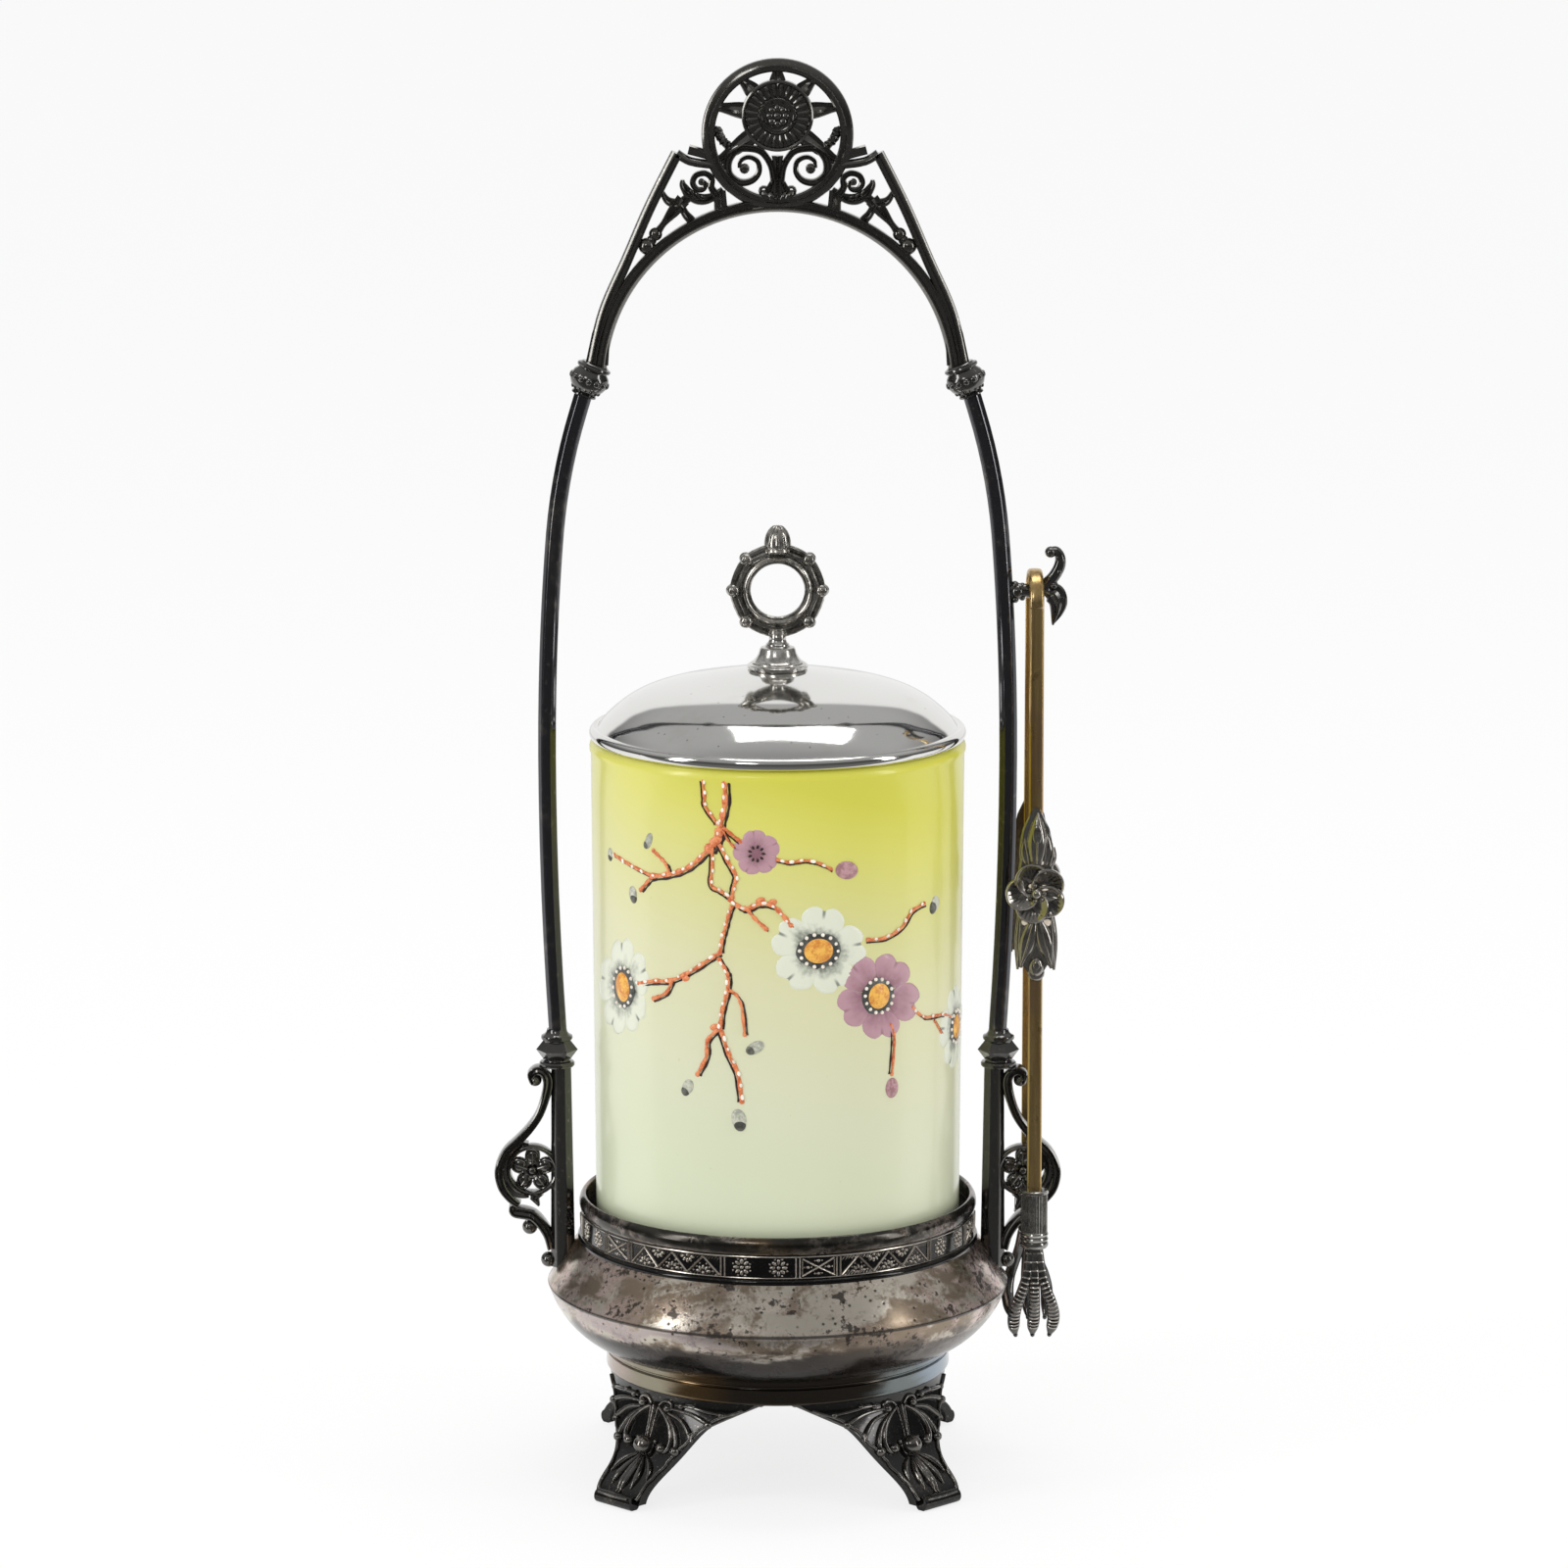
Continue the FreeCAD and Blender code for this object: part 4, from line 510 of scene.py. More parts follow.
def eased(widths, count):
    """Widths for each place of a line that curved() made."""
    return [width for (width,) in curved([(width,) for width in widths], count)]


def framed(place, normal, along):
    """A matrix with Z on the normal and X as near to along as it can be."""
    z = Vector(normal).normalized()
    x = Vector(along) - z * Vector(along).dot(z)
    x = x.normalized() if x.length > 1e-6 else z.orthogonal().normalized()
    return Matrix.Translation(Vector(place)) @ Matrix((x, z.cross(x), z)).transposed().to_4x4()


def bead(bm, place, radius, flat=1.0, normal=(0, 0, 1), long=1.0, along=(1, 0, 0), u=10, v=6):
    """A bead, or an oval of the same make, seated on a surface."""
    size = Matrix.Diagonal((radius * long, radius, radius * flat, 1))
    part = bmesh.new()
    bmesh.ops.create_uvsphere(part, u_segments=u, v_segments=v, radius=1.0,
                              matrix=framed(place, normal, along) @ size)
    join(bm, part)


def face_beads(bm, place, out, radius, flat=0.7, long=1.0, along=(1, 0, 0), u=10, v=6):
    """The same bead on the front and the back, out from a place in the handle's plane."""
    for face in FACES:
        bead(bm, Vector(place) + Vector((0, out * face, 0)), radius, flat, (0, face, 0), long,
             along, u, v)


def skinned(bm, rings, closed=False):
    """A skin over rings of places with as many places each, capped or closed on itself."""
    part = bmesh.new()
    loops = [[part.verts.new(place) for place in ring] for ring in rings]
    edges = [part.edges.new((loop[n - 1], loop[n])) for loop in loops for n in range(len(loop))]
    bmesh.ops.bridge_loops(part, edges=edges, use_cyclic=closed)
    if not closed:
        part.faces.new(loops[0])
        part.faces.new(loops[-1])
    bmesh.ops.recalc_face_normals(part, faces=part.faces)
    join(bm, part)


def each(value, count):
    return value if isinstance(value, (list, tuple)) else [value] * count


def way_along(points, number):
    return (Vector(points[min(number + 1, len(points) - 1)])
            - Vector(points[max(number - 1, 0)]))


def strip(bm, points, normals, widths, heights, sides=4, sink=0.3):
    """A raised line that follows places on a surface: half round, with its foot sunk a little."""
    count = len(points)
    normals = normals if isinstance(normals, list) else [normals] * count
    rings = []
    for number, (here, normal, wide, high) in enumerate(
            zip(points, normals, each(widths, count), each(heights, count))):
        normal = Vector(normal).normalized()
        side = normal.cross(way_along(points, number)).normalized() * (wide / 2)
        ring = [here + side * math.cos(turn) + normal * (math.sin(turn) * high)
                for turn in steps(0.0, math.pi, sides + 1)]
        rings.append(ring + [here + side * foot - normal * sink for foot in (-0.6, 0.6)])
    skinned(bm, rings)


def swept(bm, points, section, widths=1.0, heights=1.0, up=(0, 1, 0)):
    """A bar along a line of places. Its section is given across it and along up."""
    rise = Vector(up)
    count = len(points)
    rings = []
    for number, (here, wide, high) in enumerate(
            zip(points, each(widths, count), each(heights, count))):
        side = rise.cross(way_along(points, number)).normalized()
        rings.append([Vector(here) + side * (a * wide) + rise * (b * high) for a, b in section])
    skinned(bm, rings)


def swept_ring(bm, points, section):
    """A bar that closes on itself."""
    rings = []
    for number, here in enumerate(points):
        along = points[(number + 1) % len(points)] - points[number - 1]
        side = Vector((0, 1, 0)).cross(along).normalized()
        rings.append([here + side * a + Vector((0, b, 0)) for a, b in section])
    skinned(bm, rings, True)


def both_faces(*front):
    """A section with the same relief on the front and the back, from places across and heights."""
    return [(a, -h) for a, h in front] + [(a, h) for a, h in reversed(front)]


def facing(section, side):
    """The section as it is on the right, or mirrored for the left."""
    return section if side > 0 else [(-a, b) for a, b in section]


def round_section(radius, sides=12):
    return [(math.cos(turn) * radius, math.sin(turn) * radius) for turn in turns(sides)]


# The stand's levels and reaches, as built

RING_FOOT, RING_TOP = 23.4, 28.8
RING_OUT, RING_IN = 38.5, 35.9
EDGE_OUT, EDGE_LEVEL = 51.6, 42.6
BAND_FOOT, BAND_TOP, RIM_TOP = 52.5, 59.2, 62.9
BAND_OUT, BAND_IN = 44.0, 42.8
FLOOR_TOP = 53.7
MOUTH, CROWN = 166.2, 181.6
POST_TOP = 91.5
SHEET = 1.2
BELLY, SHOULDER = (47.15, 34.6), (48.15, 47.85)


def arc(first, middle, last, count=12):
    """Places on the circle through three places, the first left out."""
    (ax, ay), (bx, by), (cx, cy) = first, middle, last
    a, b, c = ax ** 2 + ay ** 2, bx ** 2 + by ** 2, cx ** 2 + cy ** 2
    d = 2 * (ax * (by - cy) + bx * (cy - ay) + cx * (ay - by))
    ux = (a * (by - cy) + b * (cy - ay) + c * (ay - by)) / d
    uy = (a * (cx - bx) + b * (ax - cx) + c * (bx - ax)) / d
    radius = math.hypot(ax - ux, ay - uy)
    start = math.atan2(ay - uy, ax - ux)
    past_middle, turn = ((math.atan2(y - uy, x - ux) - start) % math.tau
                         for x, y in (middle, last))
    if past_middle > turn:
        turn -= math.tau
    return [(ux + radius * math.cos(start + turn * n / count),
             uy + radius * math.sin(start + turn * n / count)) for n in range(1, count + 1)]


def turned_piece(name, profile, body, material, node, count):
    bm = bmesh.new()
    spun(bm, profile, count)
    finished(name, bm, body, material, node)


def ring_piece(name, profile, material, node, count=200):
    """A turned ring of the stand, from its whole section."""
    turned_piece(name, profile + profile[:1], "frame", material, node, count)


def make_base():
    line = [(RING_IN, RING_FOOT), (RING_OUT - 0.7, RING_FOOT)]
    line += arc(line[-1], (RING_OUT - 0.15, RING_FOOT + 0.25), (RING_OUT, RING_FOOT + 0.9), 5)
    line += [(RING_OUT - 0.05, RING_FOOT + 3.5)]
    line += arc(line[-1], (RING_OUT - 0.55, RING_FOOT + 4.0), (RING_OUT, RING_FOOT + 4.5), 6)
    line += [(RING_OUT, RING_TOP), (RING_IN, RING_TOP)]
    ring_piece("foot_ring_turned", line, RING, "foot_ring", 160)

    line = [(RING_OUT, RING_TOP)]
    line += arc(line[0], BELLY, (EDGE_OUT - 0.12, EDGE_LEVEL - 0.15), 22)
    line += [(EDGE_OUT, EDGE_LEVEL)]
    line += arc((EDGE_OUT - 0.12, EDGE_LEVEL + 0.12), SHOULDER, (BAND_OUT + 0.7, BAND_FOOT), 16)
    lip = BAND_IN - 2 * SHEET
    line += [(lip, BAND_FOOT), (lip, BAND_FOOT - SHEET), (BAND_OUT - 0.5, BAND_FOOT - SHEET)]
    line += arc(line[-1], (SHOULDER[0] - SHEET, SHOULDER[1] - SHEET),
                (EDGE_OUT - SHEET, EDGE_LEVEL), 10)
    line += arc((EDGE_OUT - SHEET, EDGE_LEVEL), (BELLY[0] - SHEET, BELLY[1] + 0.3),
                (RING_OUT - SHEET, RING_TOP), 12)
    ring_piece("base_bowl_spun", line, BASE, "base_bowl")

    line = [(BAND_IN, BAND_FOOT), (BAND_OUT + 0.7, BAND_FOOT)]
    line += arc(line[-1], (BAND_OUT + 0.84, BAND_FOOT + 0.7), (BAND_OUT, BAND_FOOT + 1.2), 6)
    line += [(BAND_OUT - 0.1, BAND_FOOT + 1.3), (BAND_OUT - 0.1, BAND_TOP - 0.35),
             (BAND_OUT, BAND_TOP - 0.25), (BAND_OUT, BAND_TOP), (BAND_IN, BAND_TOP)]
    ring_piece("gallery_band_rolled", line, BAND_GROUND, "gallery_band")

    line = [(BAND_IN, BAND_TOP), (BAND_OUT, BAND_TOP)]
    shoulder = (BAND_OUT - 0.3, RIM_TOP - 0.15)
    line += arc(line[-1], (BAND_OUT + 0.5, BAND_TOP + 1.6), shoulder, 12)
    line += arc(shoulder, (BAND_OUT - 0.6, RIM_TOP), (BAND_IN + 0.2, RIM_TOP - 0.2), 5)
    line += [(BAND_IN, RIM_TOP - 0.6)]
    ring_piece("gallery_rim_rolled", line, BASE, "gallery_rim")


def make_jar():
    low, high, wall, edge = 40.6, 41.4, 3.4, 3.0
    floor = FLOOR_TOP + 4.5
    line = [(0, FLOOR_TOP + 0.4), (low - edge - 4, FLOOR_TOP + 0.4), (low - edge - 2, FLOOR_TOP),
            (low - edge, FLOOR_TOP)]
    line += arc(line[-1], (low - 0.87, FLOOR_TOP + 0.87), (low, FLOOR_TOP + edge), 8)
    line += list(zip(steps(low, high, 13), steps(FLOOR_TOP + edge, MOUTH - edge, 13)))[1:]
    line += arc(line[-1], (high - 0.1, MOUTH - 0.6), (high - 0.9, MOUTH), 5)
    line += [(high - wall + 0.6, MOUTH)]
    line += arc(line[-1], (high - wall + 0.15, MOUTH - 0.3), (high - wall, MOUTH - edge), 4)
    line += [(low - wall, floor + edge)]
    line += arc(line[-1], (low - wall - 0.87, floor + 0.87), (low - wall - edge, floor), 6)
    line += [(0, floor)]
    turned_piece("jar_blown", line, "jar", GLASS, "jar", 192)


# The dome's line, from its root to the finial, given as radius and drop from the crown
LID_LINE = ((39.8, -12.75), (38.7, -11.3), (36.8, -9.45), (33.8, -7.1), (30.2, -5.15),
            (25.6, -3.6), (20.0, -2.4), (13.0, -1.05), (6.3, 0.0))
LID_RIM, LID_HOLE = 41.7, 1.5


def make_lid():
    ledge, throat, lip = LID_RIM - 6.2, LID_RIM - 5.0, LID_RIM - 0.85
    root, shoulder = LID_LINE[0][0], CROWN + LID_LINE[0][1]
    line = [(ledge, MOUTH), (lip, MOUTH)]
    line += arc(line[-1], (LID_RIM, MOUTH + 1.7), (lip, shoulder), 14)
    line += arc((lip, shoulder), (root + 0.55, shoulder - 0.14), (root, shoulder + 0.05), 6)
    dome = [(radius, CROWN + drop) for radius, drop in curved(LID_LINE, 7)]
    line += dome + [(LID_HOLE, CROWN), (LID_HOLE, CROWN - SHEET)]
    line += [(radius - SHEET * 0.5, level - SHEET * 1.05) for radius, level in reversed(dome[10:])]
    line += [(throat, MOUTH + 3.4), (ledge, MOUTH + SHEET)]
    turned_piece("lid_spun", line + line[:1], "lid", LID, "lid_dome", 224)


# Stage, light and camera, in metres

FLOOR_HALF, FLOOR_DROP = 6.0, 0.0002
FLOOR_GREY = (0.86, 0.86, 0.86, 1.0)
PURE_WHITE = (1.0, 1.0, 1.0, 1.0)
FLOOR_GLOW = 0.80
# What a mirror sees of the floor: dark from the object's front on, darker further off
MIRRORED_FROM, MIRRORED_TO = -0.080, -0.046
FRONT_FLOOR, NEAR_FLOOR = 0.12, 0.20
ROOM_LIGHT = 0.85


def make_stage():
    bm = bmesh.new()
    bmesh.ops.create_grid(bm, x_segments=1, y_segments=1, size=1.0)
    bmesh.ops.scale(bm, vec=(FLOOR_HALF, FLOOR_HALF, 1), verts=bm.verts)
    bmesh.ops.translate(bm, vec=(0, 0, -FLOOR_DROP), verts=bm.verts)
    mesh = bpy.data.meshes.new("floor")
    bm.to_mesh(mesh)
    bm.free()
    floor = bpy.data.objects.new("floor", mesh)
    bpy.context.scene.collection.objects.link(floor)
    nodes = Nodes(bpy.data.materials.new("floor_white"))

    def blended(share, first, second):
        return nodes.node("ShaderNodeMixShader", {}, {0: share, 1: first, 2: second}).outputs[0]

    def glow(strength):
        return nodes.node("ShaderNodeEmission", {},
                          {"Color": PURE_WHITE, "Strength": strength}).outputs[0]

    _, depth, _ = nodes.axes()
    matt = nodes.node("ShaderNodeBsdfDiffuse", {}, {"Color": FLOOR_GREY}).outputs[0]
    seen = blended(nodes.ray("Is Camera Ray") * FLOOR_GLOW, matt, glow(1.0))
    mirrored = nodes.ray("Is Glossy Ray") * depth.ramp(MIRRORED_FROM, MIRRORED_TO, 1.0, 0.0)
    dark = glow(depth.ramp(-0.30, -0.10, FRONT_FLOOR, NEAR_FLOOR, "LINEAR"))
    nodes.node("ShaderNodeOutputMaterial", {}, {0: blended(mirrored, seen, dark)})
    mesh.materials.append(nodes.owner)


def make_world():
    """A white room to the eye; to a mirror, dark in front and below and white far behind."""
    nodes = Nodes(bpy.data.worlds.new("white_room"))
    bpy.context.scene.world = nodes.owner
    _, depth, height = nodes.axes(nodes.places["Generated"])
    level = (height.ramp(0.05, 0.70, 0.06, 0.46) * depth.ramp(-0.60, 0.10, 0.72, 1.0)).most(
        depth.ramp(0.75, 0.81, 0.0, 0.96))
    soft = nodes.node("ShaderNodeMix", {"data_type": "FLOAT"},
                      {0: nodes.ray("Is Glossy Ray"), 2: ROOM_LIGHT, 3: level}).outputs[0]
    seen = nodes.ray("Is Camera Ray").most(nodes.ray("Is Transmission Ray"))
    back = nodes.node("ShaderNodeBackground", {},
                      {"Color": PURE_WHITE, "Strength": seen.most(soft)})
    nodes.node("ShaderNodeOutputWorld", {}, {0: back.outputs[0]})


# Name, place, what it points at, width, height and power
SOFTBOXES = (
    ("left_softbox", (-1.15, -0.60, 0.55), (0, 0, 0.16), 0.24, 1.0, 5.0),
    ("right_softbox", (1.25, -0.45, 0.50), (0, 0, 0.16), 0.20, 1.0, 3.6),
    ("front_softbox", (-0.45, -1.25, 0.95), (0, 0, 0.16), 0.30, 0.30, 1.6),
    ("top_softbox", (0.12, 0.13, 1.35), (0.12, 0, 0.15), 0.86, 0.38, 4.4),
)


def make_lights():
    for name, place, aim, wide, high, power in SOFTBOXES:
        lamp = bpy.data.lights.new(name, "AREA")
        lamp.shape = "RECTANGLE"
        lamp.size, lamp.size_y, lamp.energy = wide, high, power
        item = bpy.data.objects.new(name, lamp)
        item.location = place
        item.rotation_euler = (Vector(aim) - Vector(place)).to_track_quat("-Z", "Y").to_euler()
        bpy.context.scene.collection.objects.link(item)


def make_camera():
    data = bpy.data.cameras.new("camera")
    data.sensor_fit = "HORIZONTAL"
    data.sensor_width = FILM_WIDTH
    data.lens = FOCAL_PIXELS / PICTURE * FILM_WIDTH
    data.clip_start, data.clip_end = 0.05, 20.0
    data.dof.use_dof = False
    data.shift_x = (PICTURE / 2 - AXIS_PIXEL - AIM.x * FOCAL_PIXELS / CAMERA_DISTANCE) / PICTURE
    camera = bpy.data.objects.new("camera", data)
    camera.location = camera_place()
    camera.rotation_euler = (math.pi / 2 - CAMERA_RISE, 0, 0)
    bpy.context.scene.collection.objects.link(camera)
    bpy.context.scene.camera = camera
    bpy.context.scene.view_settings.view_transform = "Standard"


def dress_cad_nodes():
    finishes = {"dark_silver": DARK, "base_silver": BASE, "bright_silver": LID,
                "grey_silver": GREY, "brass_strip": BRASS, "opal_glass": GLASS}
    for entry in frame["record"]["subparts"]:
        node, slot = entry["node"], entry["material_slot"]
        materials = NODES[node].data.materials
        materials.clear()
        materials.append(FOOT_PLATE if node.startswith("foot_") else finishes[slot])


# Posts, rods, collars and knops

POST_FOOT, POST_WIDTHS, POST_LEVELS = 45.6, (2.90, 2.34), (50.0, 90.0)
ROD_LEVELS, ROD_END, ROD_RADIUS = (100.4, 239.0), 100.0, 2.08
COLLAR_REACH = 49.3
COLLAR_LINE = [(0, 0), (3.75, 0), (3.95, 0.3), (3.95, 0.8), (3.7, 1.15), (3.0, 1.35), (2.8, 1.9),
               (2.8, 5.6), (3.0, 6.0), (3.45, 6.2), (3.55, 6.6), (3.45, 7.0), (2.75, 7.35),
               (2.35, 7.9), (2.2, 8.5), (0, 8.5)]
COLLAR_BARREL = [(0, 1.5), (3.0, 1.5), (3.35, 2.0), (4.65, 3.75), (3.35, 5.4), (3.0, 5.9), (0, 5.9)]
KNOP_LINE = [(0, 0), (2.35, 0), (2.8, 0.25), (2.8, 0.6), (2.5, 0.9), (2.7, 1.2), (3.7, 2.1),
             (4.25, 3.2), (4.3, 4.3), (3.95, 5.3), (3.3, 6.0), (3.25, 6.2), (3.7, 6.35),
             (3.85, 6.75), (3.7, 7.1), (3.1, 7.35), (2.9, 7.6), (0, 7.6)]
KNOP_LEAN, KNOP_FOOT = math.radians(21.0), (42.69, 242.4)
KNOP_BEADS = 14


def middle_x(surface, level, side):
    """Where the middle of an upright node lies at a level, found from its own surface."""
    out = Vector((side, 0, 0))
    height = Vector((0, 0, level * MM))
    outside = surface.hit(height + out * 0.2, -out)[0]
    inside = surface.hit(height, out)[0]
    return (outside.x + inside.x) / 2 / MM


def soft_octagon(radius, share):
    """An eight-sided section with a flat at the front and narrow flats for its corners."""
    half = math.radians(share)
    corners = [turn + lean for turn in turns(8, 0.5) for lean in (-half, half)]
    return [(math.cos(turn) * radius, math.sin(turn) * radius) for turn in corners]


def make_uprights():
    for side, name in SIDES:
        bm = bmesh.new()
        post = Surface("post_" + name)
        low, high = POST_LEVELS
        base, top = middle_x(post, low, side), middle_x(post, high, side)
        line = [(base + (top - base) * (z - low) / (high - low), 0, z)
                for z in steps(POST_FOOT, POST_TOP, 11)]
        widths = steps(*POST_WIDTHS, 11)
        swept(bm, line, soft_octagon(1.0, 3.0), widths, widths)
        finished("post_%s_faceted" % name, bm, "frame", DARK, "post_" + name)

        bm = bmesh.new()
        rod = Surface("side_rod_" + name)
        line = [(middle_x(rod, z, side), 0, z) for z in steps(*ROD_LEVELS, 37)]
        line = [(line[0][0], 0, ROD_END)] + line + [(KNOP_FOOT[0] * side, 0, KNOP_FOOT[1] + 0.2)]
        swept(bm, line, soft_octagon(ROD_RADIUS, 5.0))
        finished("side_rod_%s_drawn" % name, bm, "frame", ROD, "side_rod_" + name)

        bm = bmesh.new()
        spun(bm, COLLAR_LINE, 48, (COLLAR_REACH * side, 0, POST_TOP))
        spun(bm, COLLAR_BARREL, 6, (COLLAR_REACH * side, 0, POST_TOP))
        finished("collar_%s_turned" % name, bm, "frame", DARK, "collar_" + name)

        bm = bmesh.new()
        lean = Matrix.Rotation(-KNOP_LEAN * side, 4, "Y")
        place = Vector((KNOP_FOOT[0] * side, 0, KNOP_FOOT[1]))
        spun(bm, KNOP_LINE, 48, place, lean)
        for turn in turns(KNOP_BEADS, 0.5):
            out = lean @ around(turn)
            bead(bm, place + lean @ around(turn, 3.95, 3.85), 0.82, 0.9, out)
            bead(bm, place + lean @ around(turn, 3.05, 1.75), 0.42, 1.0, out, 1.6,
                 lean @ Vector((0, 0, 1)))
        finished("knop_%s_beaded" % name, bm, "frame", DARK, "knop_" + name)


# Crest. Places in it are shares of the ring's radius, from the ring's centre. A bar is given as
# its section, its height, the places between two points, and its points with the width at each.

CREST_LEVEL, CREST_RADIUS, CREST_MIDDLE = 300.0, 16.6, 15.15
SUN_LEVEL = 304.1
ARCH_CENTRE, ARCH_MIDDLE, ARCH_END = 245.4, 39.05, math.radians(3.6)

RING_BAR = both_faces((1.45, 0.9), (1.25, 1.3), (0.6, 1.7), (-0.05, 1.88), (-0.3, 1.5),
                      (-1.1, 1.35), (-1.45, 1.0))
ARCH_BAR = both_faces((1.45, 1.25), (1.25, 1.7), (1.0, 1.7), (0.85, 1.4), (-0.1, 1.45),
                      (-0.35, 1.78), (-0.7, 1.7), (-1.25, 1.1), (-1.45, 0.6))
SIDE_BAR = both_faces((1.3, 0.6), (1.1, 1.1), (0.3, 1.7), (0.0, 1.78), (-0.2, 1.42), (-0.8, 1.42),
                      (-1.0, 1.6), (-1.2, 1.4), (-1.3, 1.0))
TRIM_BAR = both_faces((0.5, 0.45), (0.42, 0.9), (0.26, 1.0), (0.08, 0.62), (-0.16, 0.6),
                      (-0.36, 0.9), (-0.46, 0.85), (-0.5, 0.45))
ROOF_BAR = both_faces((0.5, 0.3), (0.42, 0.55), (0.2, 0.6), (0.0, 1.0), (-0.2, 0.6), (-0.42, 0.55),
                      (-0.5, 0.3))
BLOCK_BAR = both_faces((1.0, 0.8), (0.75, 1.15), (-0.75, 1.15), (-1.0, 0.8))
WEB_BAR = both_faces((0.5, 0.9), (-0.5, 0.9))

CREST_SIDE_BARS = (
    (SIDE_BAR, 1.0, 5, ((1.325, -0.25, 0.72), (1.15, -0.355, 0.72), (0.84, -0.40, 0.72))),
    (BLOCK_BAR, 1.0, 1, ((1.17, -0.20, 1.05), (0.90, -0.27, 1.05))),
    (ROOF_BAR, 1.5, 6, ((1.25, -0.60, 0.9), (1.24, -0.68, 1.7), (1.15, -0.80, 2.4),
                        (1.01, -0.86, 2.5), (0.86, -0.83, 2.0), (0.72, -0.72, 1.2))),
    (TRIM_BAR, 1.35, 5, ((0.80, -0.80, 1.9), (0.87, -0.70, 1.6), (0.865, -0.585, 1.4),
                         (0.95, -0.515, 1.4), (1.07, -0.54, 1.4), (1.115, -0.64, 1.4),
                         (1.06, -0.725, 1.3), (0.975, -0.72, 1.2), (0.945, -0.65, 1.0),
                         (0.99, -0.61, 0.8))),
    (ROOF_BAR, 1.3, 5, ((1.52, -0.75, 0.9), (1.47, -0.85, 1.6), (1.40, -0.90, 2.0),
                        (1.29, -0.90, 1.6))),
    (ROOF_BAR, 1.3, 5, ((1.28, -0.90, 1.4), (1.22, -1.04, 1.8), (1.15, -1.12, 2.0),
                        (1.05, -1.20, 1.4))),
    (ROOF_BAR, 1.4, 5, ((0.76, -0.74, 2.6), (0.745, -1.03, 3.0))),
    (ROOF_BAR, 1.4, 5, ((1.32, -0.95, 2.0), (1.13, -0.80, 2.2))),
    (ROOF_BAR, 1.45, 6, ((1.24, -0.86, 3.2), (1.38, -1.03, 2.6), (1.50, -1.18, 1.5),
                         (1.58, -1.29, 1.9))),
)
CREST_RING_BARS = (
    (TRIM_BAR, 1.35, 6, ((0.05, -0.64, 1.5), (0.085, -0.42, 1.5), (0.20, -0.24, 1.6),
                         (0.36, -0.185, 1.7), (0.53, -0.20, 1.9), (0.645, -0.34, 2.0),
                         (0.64, -0.52, 1.9), (0.50, -0.63, 1.7), (0.34, -0.61, 1.5),
                         (0.245, -0.50, 1.3), (0.26, -0.36, 1.2), (0.38, -0.30, 1.1),
                         (0.485, -0.35, 1.0), (0.50, -0.44, 0.9))),
    (ROOF_BAR, 1.3, 1, ((0.16, -0.86, 2.4), (0.05, -0.60, 1.2))),
)
PALMETTE_STEM = ((ROOF_BAR, 1.75, 4, ((0, -0.90, 1.2), (0, -0.78, 2.2), (0, -0.66, 1.9),
                                      (0, -0.52, 1.3), (0, -0.28, 2.6))),)
PALMETTE_LOBES = ((1.15, -0.7, 2.5), (2.5, -0.2, 2.3))
CREST_BALLS = ((1.607, -1.319, 1.5, 16, 10), (1.72, -1.48, 1.9, 18, 12), (1.66, -1.40, 1.15, 12, 8))
CRESCENT_ENDS = (1.24, -0.68), (0.86, -0.83)
SIDE_EYE, VOLUTE_EYE, VOLUTE_TAIL = (1.0, -0.63), (0.435, -0.455), (0.50, -0.42)
SIDE_FOOT, SIDE_BEND, SIDE_PEAK = Vector((41.0, 0, 248.3)), (1.985, -1.655), (1.325, -0.25)
# Webs are given as x and height
CREST_WEBS = ((WEB_BAR, 1.35, 1, ((39.6, 249.6, 5.0), (38.7, 256.0, 4.0), (36.9, 262.0, 2.6),
                                  (35.6, 265.5, 1.0))),)
# Twisted sprigs: their lines and how far their strands lie from the middle
CREST_ROPES = ((((-0.80, 0.08), (-0.76, -0.02), (-0.70, -0.11), (-0.60, -0.18)), 0.55),
               (((-0.76, 0.36), (-0.67, 0.33), (-0.60, 0.30)), 0.4))
RAY_ANGLES = (90, 135, 45, 172, 8, 218, 322)
RAY_WIDTHS = [3.6, 3.7, 3.5, 3.1, 2.6, 2.2, 2.0]
SUN_LINE = both_faces((0, 1.0), (2.9, 0.95), (3.35, 1.1), (3.5, 1.62), (3.85, 1.7), (4.1, 1.45),
                      (4.25, 1.05), (6.9, 1.0), (7.15, 1.45), (7.5, 1.6), (7.8, 1.4), (7.9, 0.9))
SUN_PETALS = 24


def in_ring(share, side=1):
    return Vector((share[0] * CREST_RADIUS * side, 0, CREST_LEVEL + share[1] * CREST_RADIUS))


def on_side(place, side=1):
    return Vector((place[0] * side, 0, place[1]))


def bars(bm, rows, seat, side, mirrored=True):
    for section, height, count, points in rows:
        line = curved(points, count)
        swept(bm, [seat(point, side) for point in line], facing(section, side if mirrored else 1),
              [point[2] for point in line], height)


